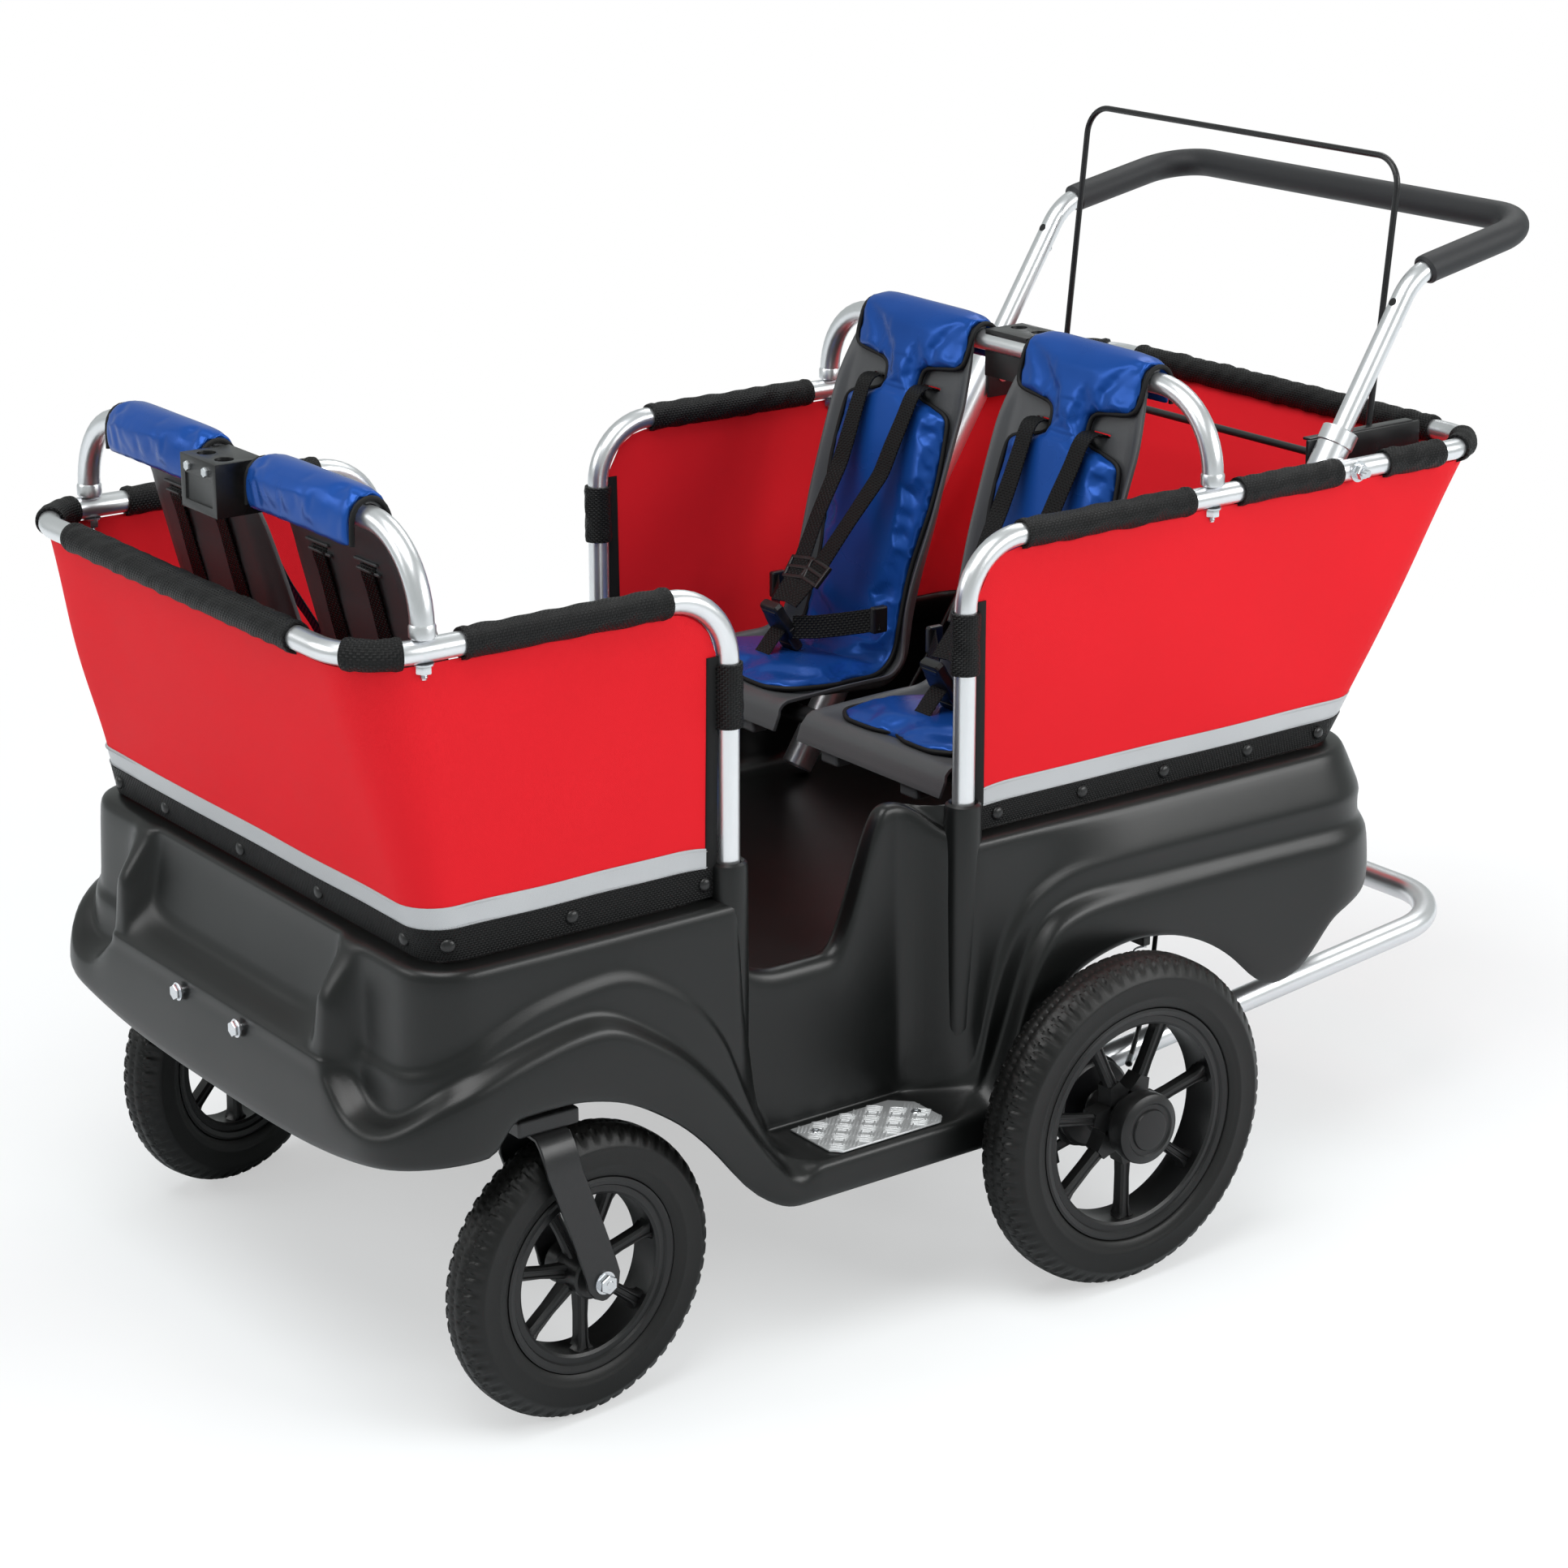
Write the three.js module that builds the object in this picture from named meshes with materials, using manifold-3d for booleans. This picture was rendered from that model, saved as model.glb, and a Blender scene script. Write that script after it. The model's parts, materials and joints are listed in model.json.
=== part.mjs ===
// Multi seat daycare stroller: four seats in two facing pairs over one moulded tub, on two swivelling
// front wheels and two braked rear wheels. Millimetres, +Z up, the front of the stroller faces -Y.
// All stations along Y are counted from the rear axle; the whole group is centred at the end.
import * as THREE from 'three';
import { mergeVertices } from 'three/addons/utils/BufferGeometryUtils.js';
import Module from 'manifold-3d';

const wasm = await Module();
wasm.setup();

// Running and seating clearances, and the overrun that cutters take past a face
const seatGap = 0.3;
const holeClearance = 0.4;
const cutOverrun = 4;
const weldDistance = 0.0001;

// Facets round a tube, a tyre and a rim
const tubeSides = 10;
const sleeveSides = 8;
const wheelSides = 18;
const hubSides = 10;
const wireSides = 6;

// The tub's half width sets every other width; each insets or overhangs it by its own clearance
const tubHalfWidth = 318;
const railInset = 18;
const railHalfWidth = tubHalfWidth - railInset;

// Tube rails that carry the fabric, and the hoops that carry the seats
const railZ = 722;
const railRadius = 10.5;
const railCornerRadius = 60;
const postBendRadius = 62;
const frontRunY = -762;
const frontHoopY = -698;
const frontPostY = -392;
const rearPostY = -125;
const rearHoopY = 176;
const rearRunY = 555;
const postFootZ = 405;
const hoopTopZ = 818;
const hoopCornerRadius = 76;
const hoopBoltRadius = 4;
const hoopNutRadius = 8;
const hoopNutDrop = 14;
const hoopNutHeight = 8;

// Moulded tub
const tubFrontY = -714;
const tubRearY = 390;
const tubFrontCornerRadius = 50;
const tubRearCornerRadius = 70;
const tubLedgeZ = 442;
const tubLedgeRise = 6;
const tubLedgeWidth = 23;
const ledgeRound = 4;
const uprightDraft = 2;
const tubRimWidth = 8;
const tubTopZ = 474;
const tubWall = 9;
const tubFloorZ = 308;
const tubFloorFillet = 16;
const tubUndersideZ = 299;
const tubSkirtWall = 11;
const skinRound = 3;
const skinRise = 12;
const skinDraft = 3;
const noseBottomZ = 248;
const noseCornerZ = 279;
const bumperDepth = 38;
const bumperLipZ = 339;
const bumperLipDrop = 9;
const noseTopDepth = 10;
const noseHalfWidth = 205;
const noseEdgeBlend = 20;
const recessHalfWidth = 172;
const recessDepth = 13;
const recessBlend = 8;
const fenderDepth = 27;
const fenderStep = 11;
const fenderBlend = 14;
const ridgeGap = 4;
const cavityDrop = 18;
const cavityFromZ = 270;
const cavityRun = 60;
const noseCavityRise = 30;
const sillFrontY = -352;
const sillRearY = -124;
const sillBottomZ = 150;
const sillDepth = 34;
const sillRun = 60;
const rearSkirtZ = 297;
const stepZ = 188;
const stepRound = 6;
const stepRise = 0;
const doorWallInset = 50;
const doorWallX = tubHalfWidth - doorWallInset;
const thresholdDepth = 36;
const doorInnerX = doorWallX - thresholdDepth;
const doorFrontY = -386;
const doorEdgeGap = 3;
const doorRampY = -174;
const fenderRun = 44;
const lipZ = 341;
const lipRound = 14;
const lipFrontRise = 30;
const lipFrontRun = 70;
const lipRearY = -245;
const lipRearRun = 58;
const edgeSweep = 55;
const edgeSweepRun = 110;
const edgeSweepDrop = 105;
const bossRadius = 17;
const bossFootZ = 372;
const cableHoleY = 190;
const frontSideCount = 5;
const rearSideCount = 8;
const frontShares = [0, 0.4, 0.615, 0.655, 0.73, 0.8, 0.9];
const rearShares = [0.9, 0.45, 0];
const cornerShares = [0, 0.33, 0.67];
const doorShares = [0.14, 0.34, 0.54, 0.64, 0.72, 0.78, 0.84, 0.91, 1];

// Tread plates on the two steps
const plateLength = 132;
const plateWidth = 68;
const plateThickness = 2;
const plateCornerCut = 18;
const plateShiftY = 38;
const stepCentreInset = 5;
const stepCentreX = tubHalfWidth - stepCentreInset;

// Canopy pole sockets at the middle of each hoop
const socketWidth = 64;
const socketDepth = 38;
const socketHeight = 48;
const socketCap = 3;
const socketLap = 7;
const socketHoleRadius = 8.5;
const socketHoleDepth = 34;
const socketHoleSpacing = 32;
const socketWall = 5;

// Seat shells, pads and harnesses; f runs from the hoop towards the sitter's knees, h upwards
const seatSideGap = 56;
const seatCentreX = (tubHalfWidth - seatSideGap) / 2;
const seatLean = Math.PI * 14.5 / 180;
const hookClearance = 0.8;
const seatArcSteps = 3;
const seatReach = 272;
const seatLipRun = 10;
const seatLipDrop = 26;
const seatLipRadius = 14;
const seatPanZ = 486;
const seatPanDip = 12;
const seatCreaseRadius = 45;
const shellThickness = 4;
const shellFlange = 20;
const shellMiddleGap = 18;
const shellPanHalfWidth = seatCentreX - shellMiddleGap;
const shellSlotWidth = 32;
const shellSlotHeight = 7;
const shellSlotReach = 30;
const shellSlotX = 41;
const shellSlotZ = 763;
const strapTailZ = 640;
const shellShares = [
  [0.073, 0.78, 0], [0.112, 0.78, 0], [0.15, 0.86, 0.2], [0.24, 0.94, 0.5], [0.4, 0.93, 0.8], [0.56, 0.87, 1],
  [0.76, 1, 0.7], [0.92, 1, 0.25], [1, 0.99, 0],
];
const padThickness = 12;
const padHoodDrop = 26;
const padInset = 19;
const padSeatHalfWidth = shellPanHalfWidth - padInset;
// The pad narrows between the shoulder straps
const padNeckHalfWidth = 26.3;
const padNeckShare = padNeckHalfWidth / padSeatHalfWidth;
const padShares = [
  [0, 0.94, 0.3], [0.112, 0.95, 0.35], [0.162, 0.93, 0.75], [0.178, padNeckShare, 0.8], [0.222, padNeckShare, 0.9], [0.25, 0.84, 1],
  [0.36, 0.87, 1.1], [0.54, 0.68, 1.1], [0.77, 0.9, 1.05], [0.84, 1, 1.1], [0.905, 0.94, 1], [0.938, 0.66, 0.5],
];
const seatBarF = 240;
const seatBarZ = 468;
const seatBarRadius = 9;
const strapWidth = 25;
const strapThickness = 2;
const buckleLength = 58;
const buckleWidth = 34;
const buckleThickness = 11;
const buckleTilt = Math.PI * 60 / 180;
const buckleX = 0;
const buckleF = 190;
const buckleH = 528;
const strapLift = 24;
const strapHang = 40;
const strapHangZ = 670;
const strapHangX = 34;
const lapInset = 27;
const lapX = shellPanHalfWidth - lapInset;
const lapF = 140;
const lapH = 514;
const crotchF = 214;
const crotchH = 504;

// Fabric side walls with their tube sleeves
const fabricThickness = 2.4;
const fabricBottomZ = 446;
const sleeveRadius = 14.4;
const sleeveBore = 12;
const clothOverlap = 2.1;
const clothTopGap = 1.7;
const clothSideCount = 6;
const clothRunCount = 3;
const bossLevels = 2;
const notchWidth = 26;
const notchDepth = 20;
const clothLevelShares = [0, 0.115, 0.135, 0.55, 1];
const frontSleeveInset = 95;
const frontSleeveHalf = railHalfWidth - frontSleeveInset;
const frontSideSleeveStartY = -662;
const frontSideSleeveEndY = -456;
const postSleeveTopZ = 668;
const postSleeveDrop = 10;
const postSleeveBottomZ = 600;
const rearSideSleeveStartY = -60;
const rearSideSleeveMidA = 146;
const rearSideSleeveMidB = 209;
const rearSideSleeveMidC = 340;
const rearSideSleeveMidD = 404;
const rearSideSleeveEndY = 482;
const rearSleeveInset = 76;
const rearSleeveHalf = railHalfWidth - rearSleeveInset;

// Push handle, its sockets and grip
const handleInset = 34;
const handleHalfWidth = railHalfWidth - handleInset;
const cableHoleInset = 40;
const cableHoleX = handleHalfWidth - cableHoleInset;
const handleLegRadius = 10.5;
const handleFootY = 346;
const handleFootZ = 700;
const handleLean = Math.PI * 32.1 / 180;
const gripEndZ = 898;
const gripCornerY = 644;
const gripCornerZ = 932;
const gripCornerRadius = 52;
const handleBendRadius = 60;
const gripRadius = 15;
const gripStartShare = 0.2;
const handleTubeRadius = 17;
const handleTubeTopZ = 752;
const handleLegBottomZ = 520;
const handleButtonRadius = 4;
const handleButtonProud = 3.4;
const handleButtonZ = 855;
const handleButtonSeat = 6;
const handleButtonTravel = 2.5;

// Brake bail, its brackets and the cross rod
const bailInset = 33;
const bailHalfWidth = handleHalfWidth - bailInset;
const bailRadius = 3.2;
const bailPivotY = 449;
const bailPivotZ = 724;
const bailTopY = 479;
const bailTopZ = 1008;
const bailCornerRadius = 30;
const bailTailLength = 18;
const bracketThickness = 4;
const bracketHeight = 44;
const bracketFrontY = 352;
const bracketRearY = 508;
const bracketTopZ = 742;
const rodRadius = 4;
const rodZ = 707;
const rodY = 425;

// Chassis under the tub, and the rear bumper tube
const beamWidth = 34;
const beamHeight = 24;
const beamX = 84;
const casterBeamWidth = 62;
const axleCarrierThickness = 8;
const axleCarrierLength = 64;
const axleCarrierY = 0;
const rearBeamY = 30;
const noseBoltX = 55;
const noseBoltZ = 325;
const noseBoltRadius = 4;
const noseBoltHeadRadius = 7.5;
const noseBoltHeadHeight = 4;
const noseTabThickness = 6;
const noseTabWidth = 30;
const noseTabHeight = 60;
const noseWall = 11;
const bumperRadius = 13;
const bumperInset = 33;
const bumperHalfWidth = tubHalfWidth - bumperInset;
const bumperStartY = 16;
const bumperStartZ = 162;
const bumperRearY = 559;
const bumperRearZ = 218;
const bumperCornerRadius = 78;

// Casters
const casterInset = 7;
const casterX = tubHalfWidth - casterInset;
const casterY = -604;
const casterTrail = 42;
const leftCasterTurn = Math.PI * 3.3 / 180;
const rightCasterTurn = Math.PI * 16 / 180;
const frontWheelRadius = 135;
const frontTyreHalfWidth = 25;
const frontRimRadius = 86;
const frontHubRadius = 21;
const frontHubHalf = 24;
const forkThickness = 4;
const forkWidth = 36;
const forkInnerHalf = 34;
const crownTopZ = 283;
const crownShoulderZ = 252;
const crownHalfWidth = 22;
const stemRadius = 9;
const stemHeight = 10;
const frontAxleRadius = 5;
const frontNutRadius = 9;
const frontNutHeight = 7;

// Rear wheels, axle and drum brakes
const trackOverhang = 74;
const rearTrackHalf = tubHalfWidth + trackOverhang;
const rearWheelRadius = 162;
const rearTyreHalfWidth = 28;
const rearRimRadius = 110;
const rearHubRadius = 27;
const rearHubHalf = 24;
const hubCapRadius = 35;
const hubCapLength = 16;
const rearAxleRadius = 8;
const drumRadius = 42;
const drumWidth = 16;
const drumPlateRadius = 46;
const drumPlateThickness = 3;
const drumInset = 54;
const drumInnerX = rearTrackHalf - drumInset;
const hubStub = 14;
const leverLength = 44;
const leverWidth = 14;
const leverThickness = 4;
const leverHook = 18;
const leverPivotRadius = 5;
const leverPivotY = 2;
const leverPivotDrop = 32;
const leverTilt = Math.PI * 14 / 180;
const springRadius = 6;
const springWire = 1;
const springTurns = 5;
const springTopY = 96;
const springTopZ = 287;
const springLength = 62;
const springInset = 34;
const springX = drumInnerX - springInset;
const springLug = 10;
const cableRadius = 2.5;
// Stations of the brake cable: inwards from the handle's leg, along Y and up
const cableStations = [
  [23, 440, 690], [26, 408, 640], [28, 330, 520], [34, 250, 410], [40, 190, 340], [40, 190, 290],
  [36, 186, 268], [22, 168, 228], [-24, 110, 190], [-64, 62, 180],
];
const cableRoute = cableStations.map(([inset, y, z]) => [handleHalfWidth - inset, y, z]);

// Wheel detail shared by both sizes
const spokeCount = 7;
const spokeWidth = 15;
const spokeDepth = 20;
const rimWall = 6;
const beadHeight = 10;
const rimHalfShare = 0.72;
const treadShare = 0.62;

const colours = {
  red: 0xec2632, blue: 0x2846a0, shell: 0x5a5a5c, black: 0x26272a, rubber: 0x1d1e20,
  aluminium: 0xc8ccd0, steel: 0xb4b6b4, webbing: 0x151517, foam: 0x35363a,
};
const finish = {
  fabric: [0.85, 0], satin: [0.42, 0], plastic: [0.45, 0], rubber: [0.8, 0], aluminium: [0.32, 0.9],
  steel: [0.3, 0.9], painted: [0.4, 0.3], foam: [0.75, 0],
};

const group = new THREE.Group();
const V = (x, y, z) => new THREE.Vector3(x, y, z);
const mirrorX = new THREE.Matrix4().makeScale(-1, 1, 1);
const smooth = (t) => { const c = Math.min(1, Math.max(0, t)); return c * c * (3 - 2 * c); };
const mix = (a, b, t) => a + (b - a) * t;
const span = (from, to, count) => Array.from({ length: count }, (_, i) => mix(from, to, i / (count - 1)));

// Turns a closed geometry into a manifold solid, and back
function solid(geometry) {
  const g = geometry.clone();
  g.deleteAttribute('normal');
  g.deleteAttribute('uv');
  const merged = mergeVertices(g, weldDistance);
  return new wasm.Manifold(new wasm.Mesh({
    numProp: 3,
    vertProperties: new Float32Array(merged.attributes.position.array),
    triVerts: new Uint32Array(merged.index.array),
  }));
}
function geometryOf(manifold) {
  const mesh = manifold.getMesh();
  const g = new THREE.BufferGeometry();
  g.setAttribute('position', new THREE.BufferAttribute(new Float32Array(mesh.vertProperties), 3));
  g.setIndex(new THREE.BufferAttribute(new Uint32Array(mesh.triVerts), 1));
  return g;
}
const union = (first, ...rest) => rest.reduce((sum, next) => sum.add(next), first);
const cut = (first, ...rest) => rest.reduce((left, next) => left.subtract(next), first);
function mirrored(geometry) {
  const g = geometry.index ? geometry.toNonIndexed() : geometry.clone();
  g.applyMatrix4(mirrorX);
  const p = g.attributes.position.array;
  for (let i = 0; i < p.length; i += 9) {
    for (let k = 0; k < 3; k += 1) [p[i + 3 + k], p[i + 6 + k]] = [p[i + 6 + k], p[i + 3 + k]];
  }
  g.deleteAttribute('normal');
  return g;
}
function add(name, shape, colour, [roughness, metalness], parent = group) {
  const geometry = shape.isBufferGeometry ? shape : geometryOf(shape);
  const material = new THREE.MeshStandardMaterial({ color: colours[colour], roughness, metalness });
  const mesh = new THREE.Mesh(geometry, material);
  mesh.name = name;
  parent.add(mesh);
  return mesh;
}

// Closed surface through rings of equal length, with a fan at each end
function ringLoft(rings) {
  const n = rings[0].length;
  const points = rings.flat();
  const index = [];
  for (let r = 0; r + 1 < rings.length; r += 1) {
    for (let i = 0; i < n; i += 1) {
      const a = r * n + i;
      const b = r * n + (i + 1) % n;
      index.push(a, b, b + n, a, b + n, a + n);
    }
  }
  const centre = (ring) => ring.reduce((s, p) => s.add(p), V(0, 0, 0)).divideScalar(n);
  points.push(centre(rings[0]), centre(rings.at(-1)));
  const last = (rings.length - 1) * n;
  for (let i = 0; i < n; i += 1) {
    const j = (i + 1) % n;
    index.push(points.length - 2, j, i, points.length - 1, last + i, last + j);
  }
  const g = new THREE.BufferGeometry().setFromPoints(points);
  g.setIndex(index);
  return g.toNonIndexed();
}
function outward(geometry) {
  const s = solid(geometry);
  if (s.volume() > 0) return s;
  const g = geometry.clone();
  const p = g.attributes.position.array;
  for (let i = 0; i < p.length; i += 9) {
    for (let k = 0; k < 3; k += 1) [p[i + 3 + k], p[i + 6 + k]] = [p[i + 6 + k], p[i + 3 + k]];
  }
  return solid(g);
}
const loft = (rings) => outward(ringLoft(rings));

// A bent tube's centre line: straight runs with an arc at each inner corner
function bentLine(corners, radii, arcSteps = 4) {
  const out = [corners[0].clone()];
  for (let i = 1; i + 1 < corners.length; i += 1) {
    const inward = corners[i - 1].clone().sub(corners[i]).normalize();
    const onward = corners[i + 1].clone().sub(corners[i]).normalize();
    const half = inward.angleTo(onward) / 2;
    const reach = radii[i - 1] / Math.tan(half);
    const bisector = inward.clone().add(onward).normalize();
    const centre = corners[i].clone().addScaledVector(bisector, radii[i - 1] / Math.sin(half));
    const from = corners[i].clone().addScaledVector(inward, reach).sub(centre);
    const to = corners[i].clone().addScaledVector(onward, reach).sub(centre);
    const sweep = from.angleTo(to);
    const axis = from.clone().cross(to).normalize();
    for (let k = 0; k <= arcSteps; k += 1) {
      out.push(from.clone().applyAxisAngle(axis, sweep * k / arcSteps).add(centre));
    }
  }
  out.push(corners.at(-1).clone());
  return out;
}
class StationCurve extends THREE.Curve {
  constructor(stations) {
    super();
    this.stations = stations;
  }
  getPointAt(u, target = V(0, 0, 0)) {
    const k = u * (this.stations.length - 1);
    const i = Math.min(Math.floor(k + 1e-9), this.stations.length - 2);
    return target.lerpVectors(this.stations[i], this.stations[i + 1], k - i);
  }
  getPoint(u, target) { return this.getPointAt(u, target); }
  getTangentAt(u, target = V(0, 0, 0)) {
    const last = this.stations.length - 1;
    const i = Math.round(u * last);
    const before = this.stations[Math.max(0, i - 1)];
    const after = this.stations[Math.min(last, i + 1)];
    const here = this.stations[i];
    const a = here.clone().sub(before).normalize();
    const b = after.clone().sub(here).normalize();
    return target.copy(a.add(b).normalize());
  }
}
function sectionAlong(shape, stations, sides = tubeSides) {
  return new THREE.ExtrudeGeometry(shape, {
    steps: stations.length - 1, extrudePath: new StationCurve(stations), curveSegments: sides / 2, bevelEnabled: false,
  });
}
// A bore's radius that leaves the seating gap round a rod of as many sides
const around = (radius, sides = tubeSides) => (radius + seatGap) / Math.cos(Math.PI / sides);
function disc(radius) {
  const shape = new THREE.Shape();
  shape.absarc(0, 0, radius, 0, Math.PI * 2, false);
  return shape;
}
const rod = (stations, radius, sides = tubeSides) => outward(sectionAlong(disc(radius), stations, sides));
const straight = (from, to, radius, sides = tubeSides) => rod([from, to], radius, sides);
function lathe(profile, segments) {
  return new THREE.LatheGeometry(profile.map(([r, h]) => new THREE.Vector2(r, h)), segments);
}
// A turned piece about the X axis, its profile's heights running along +X
const turnedX = (profile, segments) => outward(lathe(profile, segments).rotateZ(-Math.PI / 2));
const turnedZ = (profile, segments) => outward(lathe(profile, segments).rotateX(Math.PI / 2));
function block(sizeX, sizeY, sizeZ, x, y, z) {
  return solid(new THREE.BoxGeometry(sizeX, sizeY, sizeZ).translate(x, y, z));
}

// Smooth monotone curve through rising stations [at, value]
function curveThrough(points) {
  const slopes = points.slice(1).map(([x, y], i) => (y - points[i][1]) / (x - points[i][0]));
  const tangents = points.map((_, i) => {
    const before = slopes[Math.max(0, i - 1)];
    const after = slopes[Math.min(slopes.length - 1, i)];
    return before * after <= 0 ? 0 : 2 * before * after / (before + after);
  });
  return (x) => {
    let i = points.findIndex(([px]) => px > x) - 1;
    if (x <= points[0][0]) return points[0][1];
    if (i < 0) return points.at(-1)[1];
    i = Math.min(i, slopes.length - 1);
    const w = points[i + 1][0] - points[i][0];
    const t = (x - points[i][0]) / w;
    return (1 + 2 * t) * (1 - t) ** 2 * points[i][1] + t * (1 - t) ** 2 * w * tangents[i]
      + t * t * (3 - 2 * t) * points[i + 1][1] + t * t * (t - 1) * w * tangents[i + 1];
  };
}

// Heights of the side skin's edges along Y; the arches are shares of the wheel that turns in them,
// counted from that wheel's centre and from the ground
const frontWheelY = casterY + casterTrail;
const overWheel = (shares, centreY, radius) => shares.map(([a, b]) => [centreY + a * radius, b * radius]);
const frontEdgeShares = [[-0.65, 2.27], [-0.24, 2.28], [0.13, 2.21], [0.58, 1.96], [0.9, 1.67], [1.22, 1.27]];
const frontLowerShares = [[-0.59, 2.67], [0.02, 2.77], [0.58, 2.49], [1.03, 2.04], [1.26, 1.69]];
const frontUpperShares = [[-0.75, 2.79], [-0.26, 2.96], [0.23, 3.01], [0.8, 2.73], [1.12, 2.32], [1.32, 1.81]];
const rearEdgeShares = [
  [-0.43, 1.42], [-0.18, 1.79], [0.11, 1.9], [0.33, 1.93], [0.59, 1.9], [0.85, 1.81], [1.12, 1.64],
  [1.32, 1.45], [1.475, 1.38], [1.68, 1.42], [2, 1.72],
];
const rearLowerShares = [[-0.55, 1.67], [-0.43, 1.99], [-0.22, 2.2], [0.09, 2.25], [2.2, 2.22]];
const rearUpperShares = [[-0.67, 1.79], [-0.54, 2.13], [-0.3, 2.37], [0, 2.45], [2.2, 2.44]];
const skinEdge = curveThrough([
  [tubFrontY, noseCornerZ], ...overWheel(frontEdgeShares, frontWheelY, frontWheelRadius),
  [sillFrontY, sillBottomZ], [sillRearY, sillBottomZ], ...overWheel(rearEdgeShares, 0, rearWheelRadius),
  [tubRearY, rearSkirtZ],
]);
const lowerRidge = curveThrough([
  [tubFrontY, bumperLipZ - bumperLipDrop], ...overWheel(frontLowerShares, frontWheelY, frontWheelRadius),
  [sillFrontY, stepZ - stepRound], [sillRearY, stepZ + stepRound], ...overWheel(rearLowerShares, 0, rearWheelRadius),
]);
const upperRidge = curveThrough([
  [tubFrontY, bumperLipZ + bumperLipDrop], ...overWheel(frontUpperShares, frontWheelY, frontWheelRadius),
  [sillFrontY, stepZ + fenderBlend + stepRound], [sillRearY, stepZ + fenderBlend + 2 * stepRound],
  ...overWheel(rearUpperShares, 0, rearWheelRadius),
]);

// Stations round the tub's ledge, from the middle of the front to the middle of the rear on +X
function ledgeStations() {
  const stations = [];
  const half = (radius) => tubHalfWidth - radius;
  for (const share of frontShares) {
    stations.push({ zone: 'front', x: half(tubFrontCornerRadius) * share, y: tubFrontY, nx: 0, ny: -1, turn: 0 });
  }
  for (const turn of cornerShares) {
    const a = turn * Math.PI / 2;
    stations.push({
      zone: 'frontCorner', turn, nx: Math.sin(a), ny: -Math.cos(a),
      x: half(tubFrontCornerRadius) + tubFrontCornerRadius * Math.sin(a),
      y: tubFrontY + tubFrontCornerRadius * (1 - Math.cos(a)),
    });
  }
  const sideFrom = tubFrontY + tubFrontCornerRadius;
  const sideTo = tubRearY - tubRearCornerRadius;
  const sideYs = [
    ...span(sideFrom, doorFrontY - doorEdgeGap - fenderRun, frontSideCount),
    doorFrontY - doorEdgeGap - fenderRun / 2, doorFrontY - doorEdgeGap - fenderRun / 4,
    doorFrontY - doorEdgeGap, doorFrontY,
    ...doorShares.map((share) => mix(doorFrontY, sillRearY, share)),
    ...span(sillRearY + fenderRun / 2, sideTo, rearSideCount),
  ];
  for (const y of sideYs) stations.push({ zone: 'side', x: tubHalfWidth, y, nx: 1, ny: 0, turn: 1 });
  for (const turn of cornerShares) {
    const a = turn * Math.PI / 2;
    stations.push({
      zone: 'rearCorner', turn, nx: Math.cos(a), ny: Math.sin(a),
      x: half(tubRearCornerRadius) + tubRearCornerRadius * Math.cos(a),
      y: tubRearY - tubRearCornerRadius * (1 - Math.sin(a)),
    });
  }
  for (const share of rearShares) {
    stations.push({ zone: 'rear', x: half(tubRearCornerRadius) * share, y: tubRearY, nx: 0, ny: 1, turn: 0 });
  }
  return stations;
}

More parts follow.
